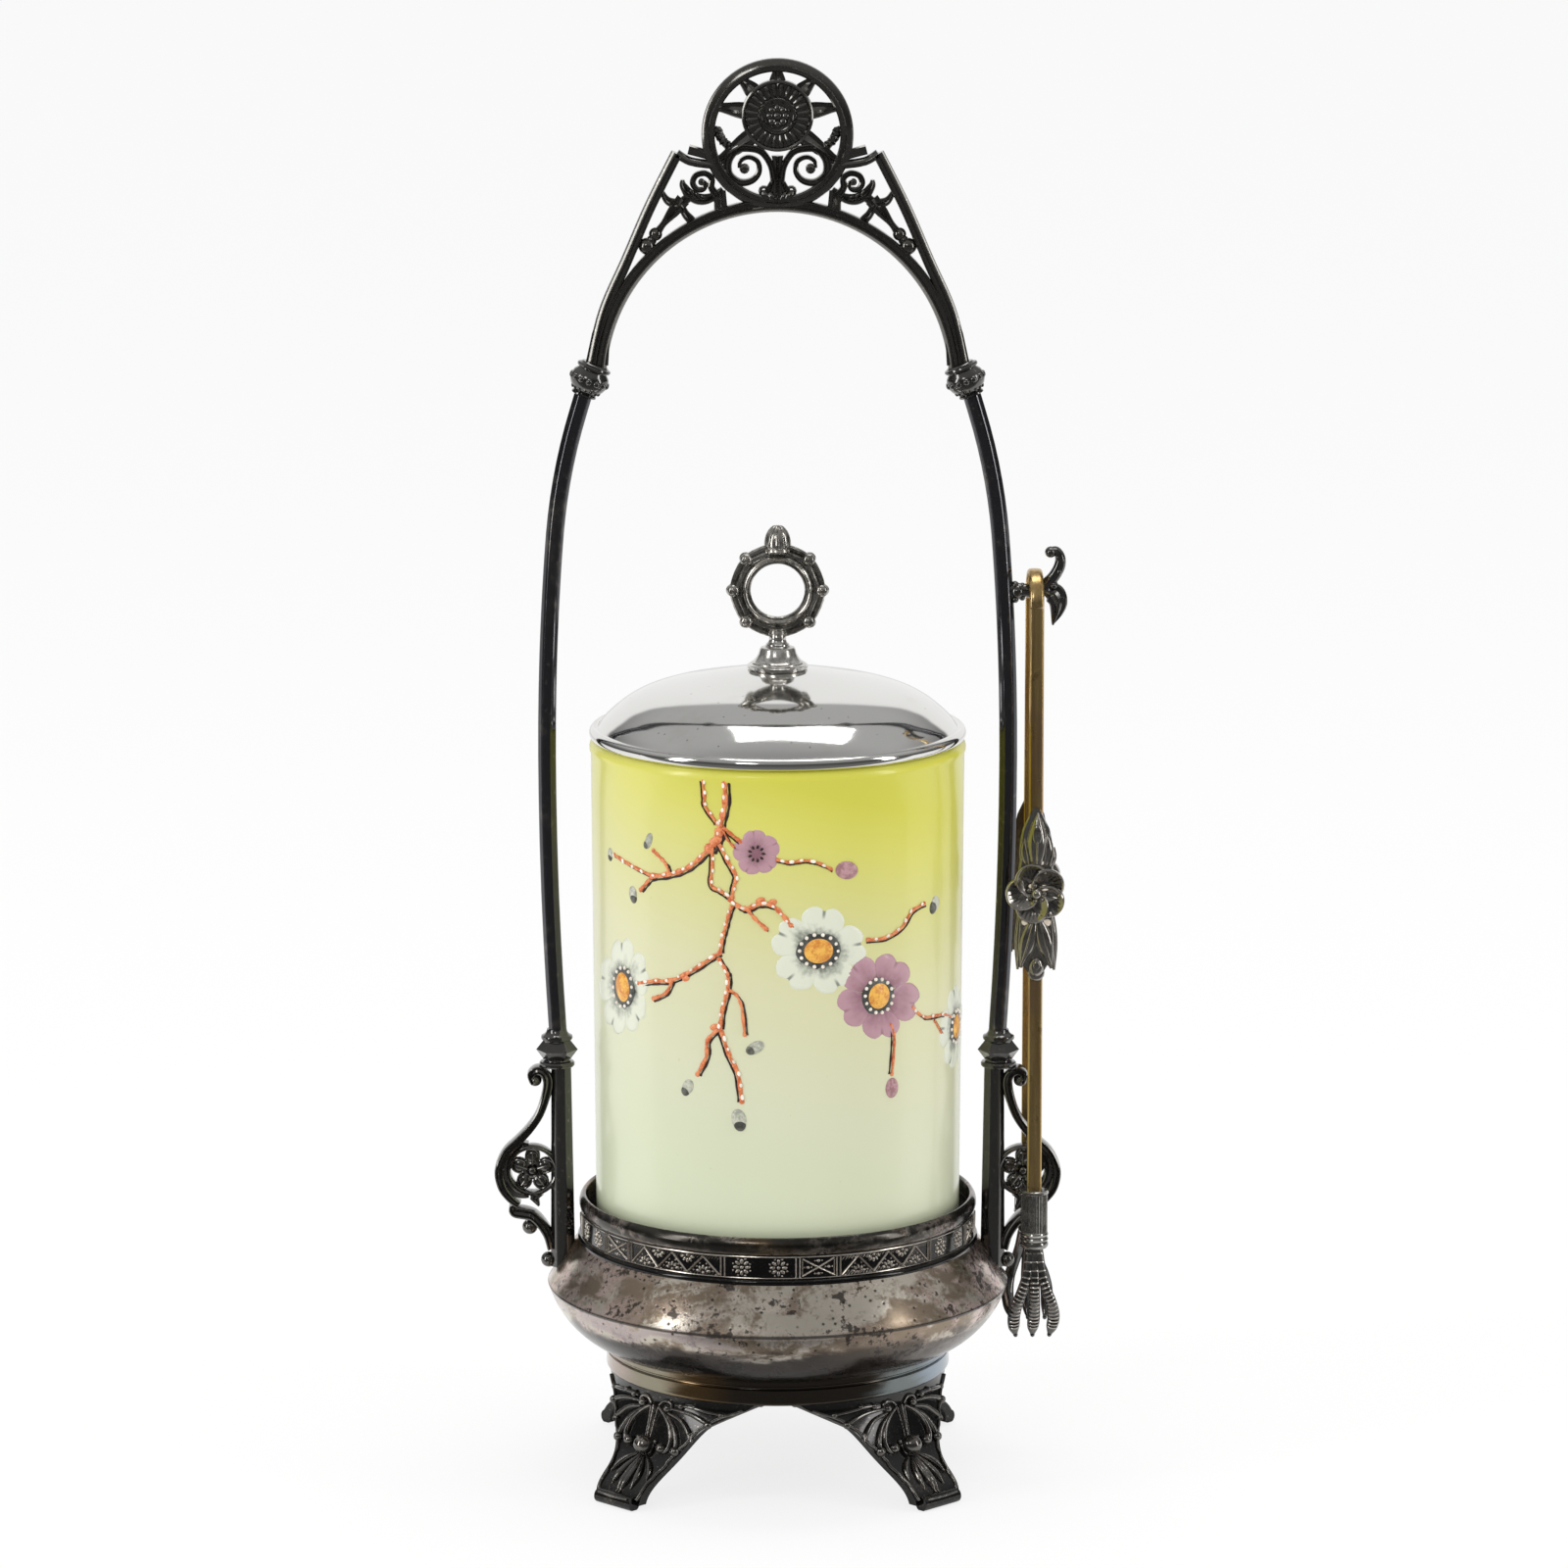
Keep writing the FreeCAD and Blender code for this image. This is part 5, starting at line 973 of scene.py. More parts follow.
def crest_rosette(bm):
    """The sunburst: a rimmed disc with petals, an inner ring and a small flower, on both faces."""
    middle = Vector((0, 0, SUN_LEVEL))
    spun(bm, SUN_LINE, 72, middle, Matrix.Rotation(math.radians(90), 4, "X"))
    for turn in turns(SUN_PETALS, 0.5):
        for face in FACES:
            low = middle + upright(turn, 4.3) + Vector((0, face, 0))
            high = middle + upright(turn, 6.9) + Vector((0, 1.15 * face, 0))
            strip(bm, [low.lerp(high, n / 4) for n in range(5)], (0, face, 0),
                  [0.45, 0.7, 1.0, 1.25, 0.7], [0.25, 0.5, 0.6, 0.62, 0.3], 4, 0.2)
    for turn in turns(8):
        face_beads(bm, upright(turn, 1.75, SUN_LEVEL), 1.1, 0.72, 0.8)
        face_beads(bm, upright(turn + math.pi / 8, 2.75, SUN_LEVEL), 1.0, 0.4, 0.9)
    face_beads(bm, middle, 1.2, 0.8, 0.75)


def crest_rays(bm):
    """Veined leaves that carry the sunburst in the ring."""
    inside = CREST_RADIUS - 2.2
    rise = SUN_LEVEL - CREST_LEVEL
    for degrees in RAY_ANGLES:
        way = upright(math.radians(degrees))
        across = way.z * rise
        reach = -across + math.sqrt(across ** 2 + inside ** 2 - rise ** 2)
        swept(bm, [Vector((0, 0, SUN_LEVEL)) + way * out for out in steps(6.6, reach, 7)], ROOF_BAR,
              RAY_WIDTHS, 1.35)


def crest_rope(bm, shares, side, radius):
    """A twisted sprig: two strands wound about each other."""
    line = [in_ring(share, side) for share in curved(shares, 8)]
    thick = steps(0.68, 0.5, len(line))
    for strand in range(2):
        points = []
        for number, here in enumerate(line):
            across = Vector((0, 1, 0)).cross(way_along(line, number).normalized())
            turn = number * math.radians(48) + strand * math.pi
            points.append(here + across * (math.cos(turn) * radius)
                          + Vector((0, math.sin(turn) * radius, 0)))
        swept(bm, points, round_section(1.0, 6), thick, thick)


def crest_side(bm, side):
    """Side bar, scrolls, leaves, spindle and balls between the ring and the arch."""
    bend, peak = in_ring(SIDE_BEND), in_ring(SIDE_PEAK)
    line = [SIDE_FOOT, (SIDE_FOOT + bend) / 2 + Vector((1.1, 0, 0.4)), bend,
            (bend + peak) / 2 + Vector((0.35, 0, 0.1)), peak]
    swept(bm, [(x * side, y, z) for x, y, z in curved([tuple(place) for place in line], 8)],
          facing(SIDE_BAR, side))
    bars(bm, CREST_SIDE_BARS, in_ring, side)
    face_beads(bm, in_ring(SIDE_EYE, side), 0.8, 0.75, 0.9)
    for x, z, radius, u, v in CREST_BALLS:
        bead(bm, in_ring((x, z), side), radius, u=u, v=v)
    first, last = (in_ring(share, side) for share in CRESCENT_ENDS)
    for number, share in enumerate((0.30, 0.50, 0.70)):
        spot = first.lerp(last, share) - Vector((0, 0, 0.75 * math.sin(math.pi * share)))
        face_beads(bm, spot, 1.1, 0.32, 0.8, 2.4, (0.5 * side, 0, 0.8 - 0.3 * number))


def crest_palmette(bm):
    """The leaf at the foot of the ring, with a pointed middle and two curled lobes."""
    root = in_ring((0, -0.80))
    bars(bm, PALMETTE_STEM, in_ring, 1)
    for side, _ in SIDES:
        for number, (spread, lift, long) in enumerate(PALMETTE_LOBES):
            face_beads(bm, root + Vector((spread * side, 0, lift)), 0.75, 0.85, 0.95, long / 1.3,
                       (0.45 * side * (number + 1), 0, 1.0), 12, 8)
        curl = [upright(math.radians(-70 + 36 * n), 0.85, 0.9) for n in range(9)]
        swept(bm, [root + Vector(((3.0 + x) * side, 0, z)) for x, _, z in curl],
              round_section(0.42, 8), 1.0, 2.2)


def make_crest():
    bm = bmesh.new()
    swept_ring(bm, [upright(turn, CREST_MIDDLE, CREST_LEVEL) for turn in turns(96)], RING_BAR)
    swept(bm, [upright(turn, ARCH_MIDDLE, ARCH_CENTRE)
               for turn in steps(ARCH_END, math.pi - ARCH_END, 65)], ARCH_BAR)
    for side, _ in SIDES:
        crest_side(bm, side)
        bars(bm, CREST_RING_BARS, in_ring, side)
        eye = in_ring(VOLUTE_EYE, side)
        face_beads(bm, eye, 0.7, 1.15, 0.95)
        swept(bm, [eye, in_ring(VOLUTE_TAIL, side)], round_section(0.5, 8), 1.0, 2.0)
        for shares, radius in CREST_ROPES:
            crest_rope(bm, shares, side, radius)
        bars(bm, CREST_WEBS, on_side, side)
    crest_rosette(bm)
    crest_rays(bm)
    crest_palmette(bm)
    finished("handle_crest_cast", bm, "frame", DARKER, "handle_crest", 28)


# Finial: a turned foot and a cast ring with an acorn

FINIAL_LINE = [(0, 178.0), (1.5, 178.0), (1.5, 181.6), (6.35, 181.6), (6.7, 181.85), (6.7, 182.5),
               (6.3, 182.8), (5.85, 182.9), (5.7, 183.2), (5.5, 183.3), (4.75, 184.1), (4.2, 185.1),
               (3.95, 186.1), (3.7, 186.45), (2.9, 186.6), (2.6, 186.9), (2.55, 187.2),
               (2.1, 187.6), (1.85, 188.2), (1.95, 188.9), (2.3, 189.6), (0, 189.6)]
FINIAL_CENTRE, FINIAL_RING, FINIAL_CORNER = 199.2, 7.05, 9.75
ACORN_LINE = [(0, 208.2), (2.3, 208.2), (2.75, 208.9), (2.7, 210.2), (2.3, 211.7), (1.5, 212.9),
              (0.7, 213.5), (0, 213.7)]
ACORN_COLLAR = [(0, 207.6), (2.6, 207.6), (2.95, 208.0), (2.75, 208.5), (2.4, 208.7), (0, 208.7)]
FINIAL_ROOT = [(0, 189.6), (2.3, 189.6), (2.0, 190.2), (2.3, 190.8), (0, 191.6)]
FINIAL_BAR = both_faces((1.3, 0.85), (0.95, 1.0), (0.8, 0.8), (0.5, 1.25), (0.1, 1.5), (-0.3, 1.3),
                        (-0.55, 0.9), (-0.85, 0.95), (-1.1, 0.6))
FINIAL_SIDE_BAR = both_faces((1.0, 0.5), (0.75, 1.0), (0.35, 1.1), (0.1, 0.75), (-0.25, 1.15),
                             (-0.7, 1.1), (-1.0, 0.7), (-1.5, 0.6))
PLAIN_CORNERS = (2, 6)


def make_finial():
    bm = bmesh.new()
    spun(bm, FINIAL_LINE, 64)
    for turn in turns(18):
        bead(bm, around(turn, 6.12, 182.15), 0.55, 1.0, around(turn), 1.15, (0, 0, 1), 8, 6)
    finished("finial_foot_turned", bm, "lid", FINIAL_FOOT, "finial_foot")

    bm = bmesh.new()
    swept_ring(bm, [upright(turn, FINIAL_RING, FINIAL_CENTRE) for turn in turns(64)], FINIAL_BAR)
    corners = [upright(turn, FINIAL_CORNER, FINIAL_CENTRE) for turn in turns(8)]
    for number, corner in enumerate(corners):
        after = corners[(number + 1) % 8]
        swept(bm, [corner.lerp(after, n / 4) for n in range(5)], FINIAL_SIDE_BAR,
              [0.95, 1.3, 1.4, 1.3, 0.95])
        if number not in PLAIN_CORNERS:
            way = (corner - Vector((0, 0, FINIAL_CENTRE))).normalized()
            face_beads(bm, corner, 0.95, 1.45, 0.8, u=14, v=10)
            face_beads(bm, corner, 1.75, 0.65, 0.7)
            bead(bm, corner + way * 0.55, 1.25, 0.9, way, u=12, v=8)
    spun(bm, ACORN_LINE, 40)
    profile = curved(ACORN_LINE[1:-1], 2)
    widths = [0.55, 0.8] + [1.05] * (len(profile) - 5) + [0.7, 0.5, 0.3]
    for turn in turns(12, 0.5):
        strip(bm, [around(turn, r, z) for r, z in profile], around(turn, 1.0, 0.35), widths, 0.28)
    spun(bm, ACORN_COLLAR, 40)
    spun(bm, FINIAL_ROOT, 32)
    finished("finial_ring_cast", bm, "lid", FINIAL, "finial_ring")


# Scroll brackets. Places in them are shares of the wheel's distance to the outermost point and
# to the collar.

WHEEL = (54.9, 67.7)
BRACKET_WIDE, BRACKET_DROP = 8.65, 23.8
SCROLL_BAR = both_faces((0.5, 0.55), (0.42, 0.93), (0.30, 1.0), (0.16, 0.72), (-0.05, 0.62),
                        (-0.20, 0.72), (-0.34, 0.98), (-0.44, 0.9), (-0.5, 0.55))
WHEEL_BAR = both_faces((0.55, 1.1), (0.4, 1.5), (0.05, 1.75), (-0.15, 2.05), (-0.4, 1.9),
                       (-0.55, 1.3))
HOLLOW_BAR = both_faces((0.5, 0.9), (0.0, 0.65), (-0.5, 0.9))
BRACKET_BARS = (
    (SCROLL_BAR, 2.1, 6, ((-0.06, 0.84, 1.6), (0.02, 0.92, 1.8), (-0.13, 0.965, 2.1),
                          (-0.30, 0.945, 2.2), (-0.41, 0.87, 2.3), (-0.37, 0.74, 2.2),
                          (-0.20, 0.55, 2.0), (0.06, 0.405, 2.0), (0.36, 0.285, 2.1),
                          (0.68, 0.165, 2.2), (0.86, 0.0, 2.2), (0.80, -0.155, 2.1),
                          (0.60, -0.265, 1.9), (0.36, -0.335, 1.6))),
    (SCROLL_BAR, 2.05, 6, ((0.52, -0.34, 1.6), (0.47, -0.40, 2.6), (0.25, -0.415, 2.9),
                           (0.0, -0.44, 2.6), (-0.22, -0.52, 2.5), (-0.40, -0.63, 2.4),
                           (-0.50, -0.76, 2.3))),
    (SCROLL_BAR, 1.7, 1, ((0.0, -0.43, 1.4), (0.10, -0.50, 1.2), (0.08, -0.56, 1.0))),
    (ROOF_BAR, 1.9, 1, ((-0.12, -0.22, 3.0), (-0.05, -0.28, 2.2), (-0.16, -0.345, 0.6))),
)
BRACKET_BALLS = (((0.08, -0.555), 1.75), ((-0.40, -0.872), 1.75), ((-0.08, 0.865), 1.5))
HOLLOW_END, PETAL_END = math.radians(82), math.radians(125)


def in_bracket(share, side):
    return Vector(((WHEEL[0] + share[0] * BRACKET_WIDE) * side, 0,
                   WHEEL[1] + share[1] * BRACKET_DROP))


def sided(turn, reach, side):
    """A way out in the handle's plane, mirrored for the left."""
    return Vector((math.cos(turn) * reach * side, 0, math.sin(turn) * reach))


def make_bracket(side, name):
    bm = bmesh.new()
    bars(bm, BRACKET_BARS, in_bracket, side, False)
    centre = in_bracket((0, 0), side)
    swept_ring(bm, [centre + upright(turn, 5.35) for turn in turns(64)], WHEEL_BAR)
    leans = steps(-HOLLOW_END, HOLLOW_END, 25)
    swept(bm, [centre + sided(lean, 5.75 + math.cos(lean), side) for lean in leans], HOLLOW_BAR,
          [0.6 + 2.4 * math.cos(lean) for lean in leans], 1.5)
    for turn in turns(5, 1.25):
        way = sided(turn, 1.0, side)
        across = Vector((-way.z, 0, way.x))
        middle = centre + way * 3.1
        face_beads(bm, middle, 0.55, 1.55, 0.5, 1.0, way, 14, 8)
        for face in FACES:
            out = Vector((0, face, 0))
            rim = [middle + way * (math.cos(lean) * 1.75) + across * (math.sin(lean) * 1.5) + out
                   for lean in steps(-PETAL_END, PETAL_END, 11)]
            strip(bm, rim, out, 0.5, 0.28, 4, 0.5)
            vein = [centre + way * reach + out * 1.15 for reach in (1.2, 2.2, 3.4, 4.3)]
            strip(bm, vein, out, [0.6, 0.5, 0.4, 0.3], 0.3, 4, 0.5)
        swept(bm, [centre + way * 3.9, centre + way * 5.2], round_section(1.0, 8), [0.8, 0.55], 0.9)
    swept_ring(bm, [centre + upright(turn, 1.5) for turn in turns(24)], round_section(0.95, 8))
    face_beads(bm, centre, 1.35, 0.95, 0.75, u=14, v=8)
    for share, radius in BRACKET_BALLS:
        spot = in_bracket(share, side)
        bead(bm, spot, radius, 1.15, (0, 1, 0), u=18, v=12)
        face_beads(bm, spot, 1.55, 0.62, 0.8)
    finished("scroll_bracket_%s_cast" % name, bm, "frame", DARKER,
             "scroll_bracket_" + name, 30)


# Hook and tongs. The tongs' pieces are made in an arm's own frame: hinge line at the origin,
# strip hanging down, outer face towards -Y.

HINGE_LEVEL, TONGS_REACH, HINGE_REACH = 196.5, 56.8, 7.0
TONGS_TURN, ARM_SPLAY = math.radians(2.0), math.radians(1.4)
TONGS_STAND = (Matrix.Translation((TONGS_REACH, 0, HINGE_LEVEL))
               @ Matrix.Rotation(TONGS_TURN, 4, "Z"))
ARM_LENGTH, FERRULE_LENGTH, CLAW_LENGTH = 131.0, 13.3, 20.6
HOOK_LEAF = ((58.9, 199.4, 2.2), (60.9, 198.6, 4.6), (61.9, 196.6, 4.2), (61.6, 194.2, 2.8),
             (60.7, 191.7, 0.5))
HOOK_BARS = (
    (round_section(0.5), 3.0, 6, ((51.2, 198.9, 4.2), (53.5, 199.2, 3.2), (56.5, 199.0, 3.0),
                                  (58.4, 198.9, 3.4))),
    (round_section(0.5), 2.6, 6, ((57.6, 198.6, 3.2), (59.2, 200.3, 2.9), (61.0, 202.3, 2.7),
                                  (62.2, 204.6, 2.6), (62.3, 206.6, 2.3), (61.4, 208.0, 2.0),
                                  (60.0, 207.9, 1.7))),
    (ROOF_BAR, 1.9, 6, HOOK_LEAF),
)
HOOK_BEADS = ((52.9, 198.9, 1.75), (52.4, 200.4, 0.9), (52.4, 197.2, 0.9), (54.0, 200.2, 0.7),
              (54.0, 197.5, 0.7), (60.9, 200.3, 1.1), (62.9, 197.6, 0.75), (62.6, 195.5, 0.6))
STRIP_SECTION = [(-1.6, 0.1), (-1.45, -0.2), (-1.15, -0.42), (-0.6, -0.5), (0.6, -0.5),
                 (1.15, -0.42), (1.45, -0.2), (1.6, 0.1), (1.55, 0.4), (1.4, 0.5), (-1.4, 0.5),
                 (-1.55, 0.4)]
FERRULE_LINE = [(0, 0), (2.9, 0), (3.2, -0.2), (3.2, -0.7), (2.95, -0.95), (2.78, -1.1),
                (2.78, -9.4), (3.05, -9.6), (3.2, -10.0), (3.05, -10.4), (2.85, -10.55),
                (3.05, -10.7), (3.2, -11.1), (3.05, -11.5), (2.85, -11.65), (3.05, -11.8),
                (3.2, -12.2), (3.1, -12.7), (2.85, -13.1), (2.5, -13.3), (0, -13.3)]
# A claw's finger: share of its length, outward, sideways and how wide it is
FINGER_LEVELS = ((0.00, 0.00, 0.20, 0.80), (0.28, -0.75, 0.40, 0.82), (0.46, -0.98, 0.66, 0.86),
                 (0.60, -1.00, 0.90, 0.94), (0.75, -0.70, 1.04, 1.02), (0.90, -0.15, 1.00, 0.92),
                 (1.00, 0.00, 0.90, 0.35))
FINGER_WIDE, FINGER_FLAT = 1.38, 0.62
CLAW_ROOT = [(0, 0.0), (2.1, 0.0), (2.0, -1.2), (1.5, -3.0), (0, -4.0)]


def arm_frame(side):
    turn = Matrix.Rotation(ARM_SPLAY * side, 4, "X")
    if side > 0:
        turn = turn @ Matrix.Rotation(math.pi, 4, "Z")
    return TONGS_STAND @ Matrix.Translation((0, HINGE_REACH * side, 0)) @ turn


def arm_piece(pattern, arm, bm, material, node=None, sharp=SHARP):
    """A piece that rides on one arm. The pattern and the node are completed with its name."""
    finished(pattern % arm, bm, "tongs_%s_arm" % arm, material, node and node + arm, sharp)


def make_hook():
    bm = bmesh.new()
    bars(bm, HOOK_BARS, on_side, 1)
    bead(bm, (60.2, 0, 207.7), 1.3, 1.25, (0, 1, 0), u=16, v=10)
    bead(bm, (62.1, 0, 203.4), 0.9, 1.7, (0, 1, 0), u=12, v=8)
    for x, z, radius in HOOK_BEADS:
        bead(bm, (x, 0, z), radius, 1.9 / radius if radius > 1 else 1.6, (0, 1, 0), u=12, v=8)
    for face in FACES:
        vein = [Vector((x, 1.75 * face, z)) for x, z, _ in curved(HOOK_LEAF, 3)]
        strip(bm, vein, (0, face, 0), 0.5, 0.22, 4, 0.8)
    finished("tongs_hook_cast", bm, "frame", DARK, "tongs_hook")


def make_strip():
    bm = bmesh.new()
    rings = []
    for turn in steps(0.0, math.pi, 33):
        out = Vector((0, -math.cos(turn), math.sin(turn)))
        rings.append([TONGS_STAND @ (out * (HINGE_REACH - b) + Vector((a, 0, 0)))
                      for a, b in STRIP_SECTION])
    skinned(bm, rings)
    finished("tongs_bow_bent", bm, "tongs", BRASS, "tongs_bow")
    for side, name in ARMS:
        bm = bmesh.new()
        place = arm_frame(side)
        skinned(bm, [[place @ Vector((a, b, z)) for a, b in STRIP_SECTION]
                     for z in steps(-0.16, -ARM_LENGTH, 25)])
        arm_piece("tongs_arm_%s_drawn", name, bm, BRASS, "tongs_arm_")


def make_ferrules():
    for side, name in ARMS:
        bm = bmesh.new()
        place = arm_frame(side) @ Matrix.Translation((0, 0, -ARM_LENGTH))
        spun(bm, FERRULE_LINE, 48, turn=place)
        for turn in turns(30):
            strip(bm, [place @ around(turn, 2.76, z) for z in (-1.0, -4.0, -7.0, -9.5)],
                  place.to_3x3() @ around(turn), 0.36, 0.24, 4, 0.2)
        arm_piece("tongs_ferrule_%s_fluted", name, bm, FERRULE, "tongs_ferrule_")


def claw_ribs(ribs, line, wide, outward):
    """Scales across a finger, on its outer half."""
    for step in range(2, len(line) - 7, 2):
        along = way_along(line, step).normalized()
        normal = (outward - along * outward.dot(along)).normalized()
        across = along.cross(normal)
        leans = steps(math.radians(35), math.radians(145), 6)
        rib = [line[step] + (across * math.cos(lean) + normal * (math.sin(lean) * FINGER_FLAT))
               * wide[step] for lean in leans]
        outs = [across * math.cos(lean) + normal * math.sin(lean) for lean in leans]
        strip(ribs, rib, outs, 0.42, [0.08, 0.16, 0.2, 0.2, 0.16, 0.08], 4, 0.2)


def make_claws():
    top = -ARM_LENGTH - FERRULE_LENGTH
    inward = HINGE_REACH + math.sin(ARM_SPLAY) * (CLAW_LENGTH - top) - 6.2 - 1.3
    table = curved(FINGER_LEVELS, 7)
    wide = [FINGER_WIDE * width for _, _, _, width in table]
    for side, name in ARMS:
        bm, ribs = bmesh.new(), bmesh.new()
        place = arm_frame(side)
        outward = place.to_3x3() @ Vector((0, -1, 0))
        for finger in (-1, 0, 1):
            line = [place @ Vector((finger * 4.25 * lateral, 2.4 * out + inward * level ** 4,
                                    top - CLAW_LENGTH * level))
                    for level, out, lateral, _ in table]
            swept(bm, line, round_section(1.0, 16), wide, [w * FINGER_FLAT for w in wide], outward)
            claw_ribs(ribs, line, wide, outward)
            end = line[-1] - line[-3]
            bead(bm, line[-1] + end.normalized() * 0.1, 0.55, 0.9, outward, 1.2, end, 8, 6)
        flat = Matrix.Diagonal((1.0, FINGER_FLAT, 1.0, 1.0))
        spun(bm, CLAW_ROOT, 32, turn=place @ Matrix.Translation((0, 0, top)) @ flat)
        arm_piece("tongs_claw_%s_scaled", name, bm, DARK, "tongs_claw_")
        # The ribs take the bright rim finish: a painted highlight along each scale
        arm_piece("tongs_claw_%s_ribs", name, ribs, WORN_RIM)


FLOWER_LEVEL, FLOWER_FACE = -63.6, -0.5
PETAL_CUP = [(0, -0.55), (1.3, -0.6), (2.4, -0.95), (3.1, -1.5), (3.5, -1.75), (3.75, -1.55),
             (3.8, -1.0), (3.55, 0.1), (0, 0.1)]
PETAL_REACH = 3.05
PETAL_TURNS = [math.radians(111 + 72 * n) for n in range(5)]
RAY_SPREAD, RIM_SPREAD = math.radians(72), math.radians(84)
# From across and along the arm, to across and along, widest, how far it stands out
LEAVES = (
    ((-1.5, 6.2), (-2.6, 12.6), 3.4, 1.1),
    ((1.7, 6.2), (2.4, 13.6), 3.8, 1.2),
    ((3.0, 6.0), (3.9, 10.2), 2.2, 0.9),
    ((0.0, 6.0), (0.35, 18.0), 4.8, 2.0),
    ((-3.3, -5.0), (-4.0, -17.2), 2.2, 0.9),
    ((3.4, -5.0), (4.1, -17.4), 2.2, 0.9),
    ((-0.6, -6.4), (-3.4, -16.8), 4.3, 1.8),
    ((0.7, -6.4), (3.6, -17.0), 4.3, 1.8),
)
LEAF_SECTION = ([(math.cos(turn) * 0.5, math.sin(turn)) for turn in steps(0.0, math.pi, 9)]
                + [(-0.3, -0.12), (0.3, -0.12)])
BACKING_SECTION = [(-0.5, 0), (-0.44, 0.75), (0.44, 0.75), (0.5, 0)]
BACKING_WIDTHS = [1.4, 3.8, 6.0, 7.0, 7.4, 7.2, 8.0, 9.0, 9.4, 9.0, 8.4, 8.2, 8.6, 8.8, 8.6, 5.0,
                  2.2]
# Across, how far out, along, radius, flatness, length and sides of the buds on the leaves
FLOWER_BUDS = ((0.1, 0.7, -16.6, 1.75, 0.75, 1.3, 16, 10),
               (0.1, 1.6, -16.2, 0.9, 0.6, 1.4, 12, 8),
               (0.15, 1.95, 13.2, 1.05, 0.35, 2.2, 16, 8),
               (0.1, 0.45, -18.0, 1.9, 0.35, 1.0, 16, 8))
# Dried polish in the flower's hollows: across, how far out, along, radius and how long it is
FLOWER_POLISH = ((-2.2, 0.75, -6.5, 0.8, 1.6), (0.2, 0.85, -7.3, 0.9, 1.9),
                 (2.4, 0.75, -6.7, 0.8, 1.5), (1.7, 1.75, 1.3, 0.7, 1.6),
                 (-1.1, 1.75, 1.7, 0.5, 1.3), (-2.3, 1.6, 0.2, 0.4, 1.0),
                 (0.9, 1.0, 6.9, 0.6, 1.8))


def flower_petals(bm, rims, place, at, outward):
    cup = Matrix.Rotation(math.radians(-90), 4, "X")
    for angle in PETAL_TURNS:
        way = upright(angle)
        middle = way * PETAL_REACH
        shift = Matrix.Translation((middle.x, FLOWER_FACE - 0.15, FLOWER_LEVEL + middle.z))
        spun(bm, PETAL_CUP, 36, turn=place @ shift @ Matrix.Rotation(math.radians(9), 4, way) @ cup)
        for lean in steps(-RAY_SPREAD, RAY_SPREAD, 9):
            foot = way * (PETAL_REACH - 1.9)
            far = middle + upright(angle + lean, 3.05)
            spots = [(foot.lerp(far, share), share) for share in (0.3, 0.55, 0.8, 1.0)]
            strip(bm, [at(spot.x, 0.82 + 0.85 * share ** 2, spot.z) for spot, share in spots],
                  outward, [0.18, 0.28, 0.34, 0.2], 0.14, 3, 0.3)
        spots = [middle + upright(angle + lean, 3.52)
                 for lean in steps(-RIM_SPREAD, RIM_SPREAD, 17)]
        strip(rims, [at(spot.x, 1.62 + 0.05 * spot.length, spot.z) for spot in spots], outward,
              0.42, 0.26, 5, 0.4)
    for turn in turns(7):
        bead(bm, at(math.cos(turn) * 1.75, 1.75, math.sin(turn) * 1.75), 0.62, 0.9, outward,
             u=8, v=6)
    bead(rims, at(0, 1.95, 0), 1.2, 0.95, outward, u=16, v=10)


def flower_leaf(bm, rims, line, wide, high, outward):
    """A leaf with a vein and borders in a bright finish that paints their highlights."""
    shares = steps(0.0, 1.0, 9)
    widths = [wide * max(0.12, math.sin(math.pi * (0.18 + 0.80 * share))) for share in shares]
    heights = [high * max(0.2, math.sin(math.pi * (0.22 + 0.70 * share))) for share in shares]
    swept(bm, line, LEAF_SECTION, widths, heights, outward)
    across = (line[-1] - line[0]).normalized().cross(outward)
    for aside, out, broad in ((0, 0.98, 0.40), (-0.44, 0.42, 0.34), (0.44, 0.42, 0.34)):
        strip(rims, [place + across * (width * aside) + outward * (height * out)
                     for place, width, height in zip(line, widths, heights)],
              outward, broad, 0.16, 3, 0.3)


def make_flowers():
    for side, name in ARMS:
        bm, rims, left_over = bmesh.new(), bmesh.new(), bmesh.new()
        place = arm_frame(side)
        turn = place.to_3x3()
        outward = turn @ Vector((0, -1, 0))

        def at(x, out, z):
            return place @ Vector((x, FLOWER_FACE - out, FLOWER_LEVEL + z))

        flower_petals(bm, rims, place, at, outward)
        for (x0, z0), (x1, z1), wide, high in LEAVES:
            line = [at(x, 0.2, z) for x, z in zip(steps(x0, x1, 9), steps(z0, z1, 9))]
            flower_leaf(bm, rims, line, wide, high, outward)
        swept(bm, [at(0, -0.02, z) for z in steps(19.0, -19.2, 17)], BACKING_SECTION,
              BACKING_WIDTHS, 1.0, outward)
        for x, out, z, radius, flat, long, u, v in FLOWER_BUDS:
            bead(bm, at(x, out, z), radius, flat, outward, long, turn @ Vector((0, 0, 1)), u, v)
        for x, out, z, radius, long in FLOWER_POLISH:
            bead(left_over, at(x, out, z), radius, 0.35, outward, long, turn @ Vector((1, 0, 0)),
                 12, 8)
        arm_piece("tongs_flower_%s_cast", name, bm, FLOWER, "tongs_flower_", 40)
        # Petal rims, the middle bead and the leaves' veins and borders take the bright rim finish:
        # painted highlights
        arm_piece("tongs_flower_%s_edges", name, rims, WORN_RIM)
        arm_piece("tongs_flower_%s_polish", name, left_over, POLISH)


# Gallery band: a rolled strip of ornament, five lengths of it and a seam at the back

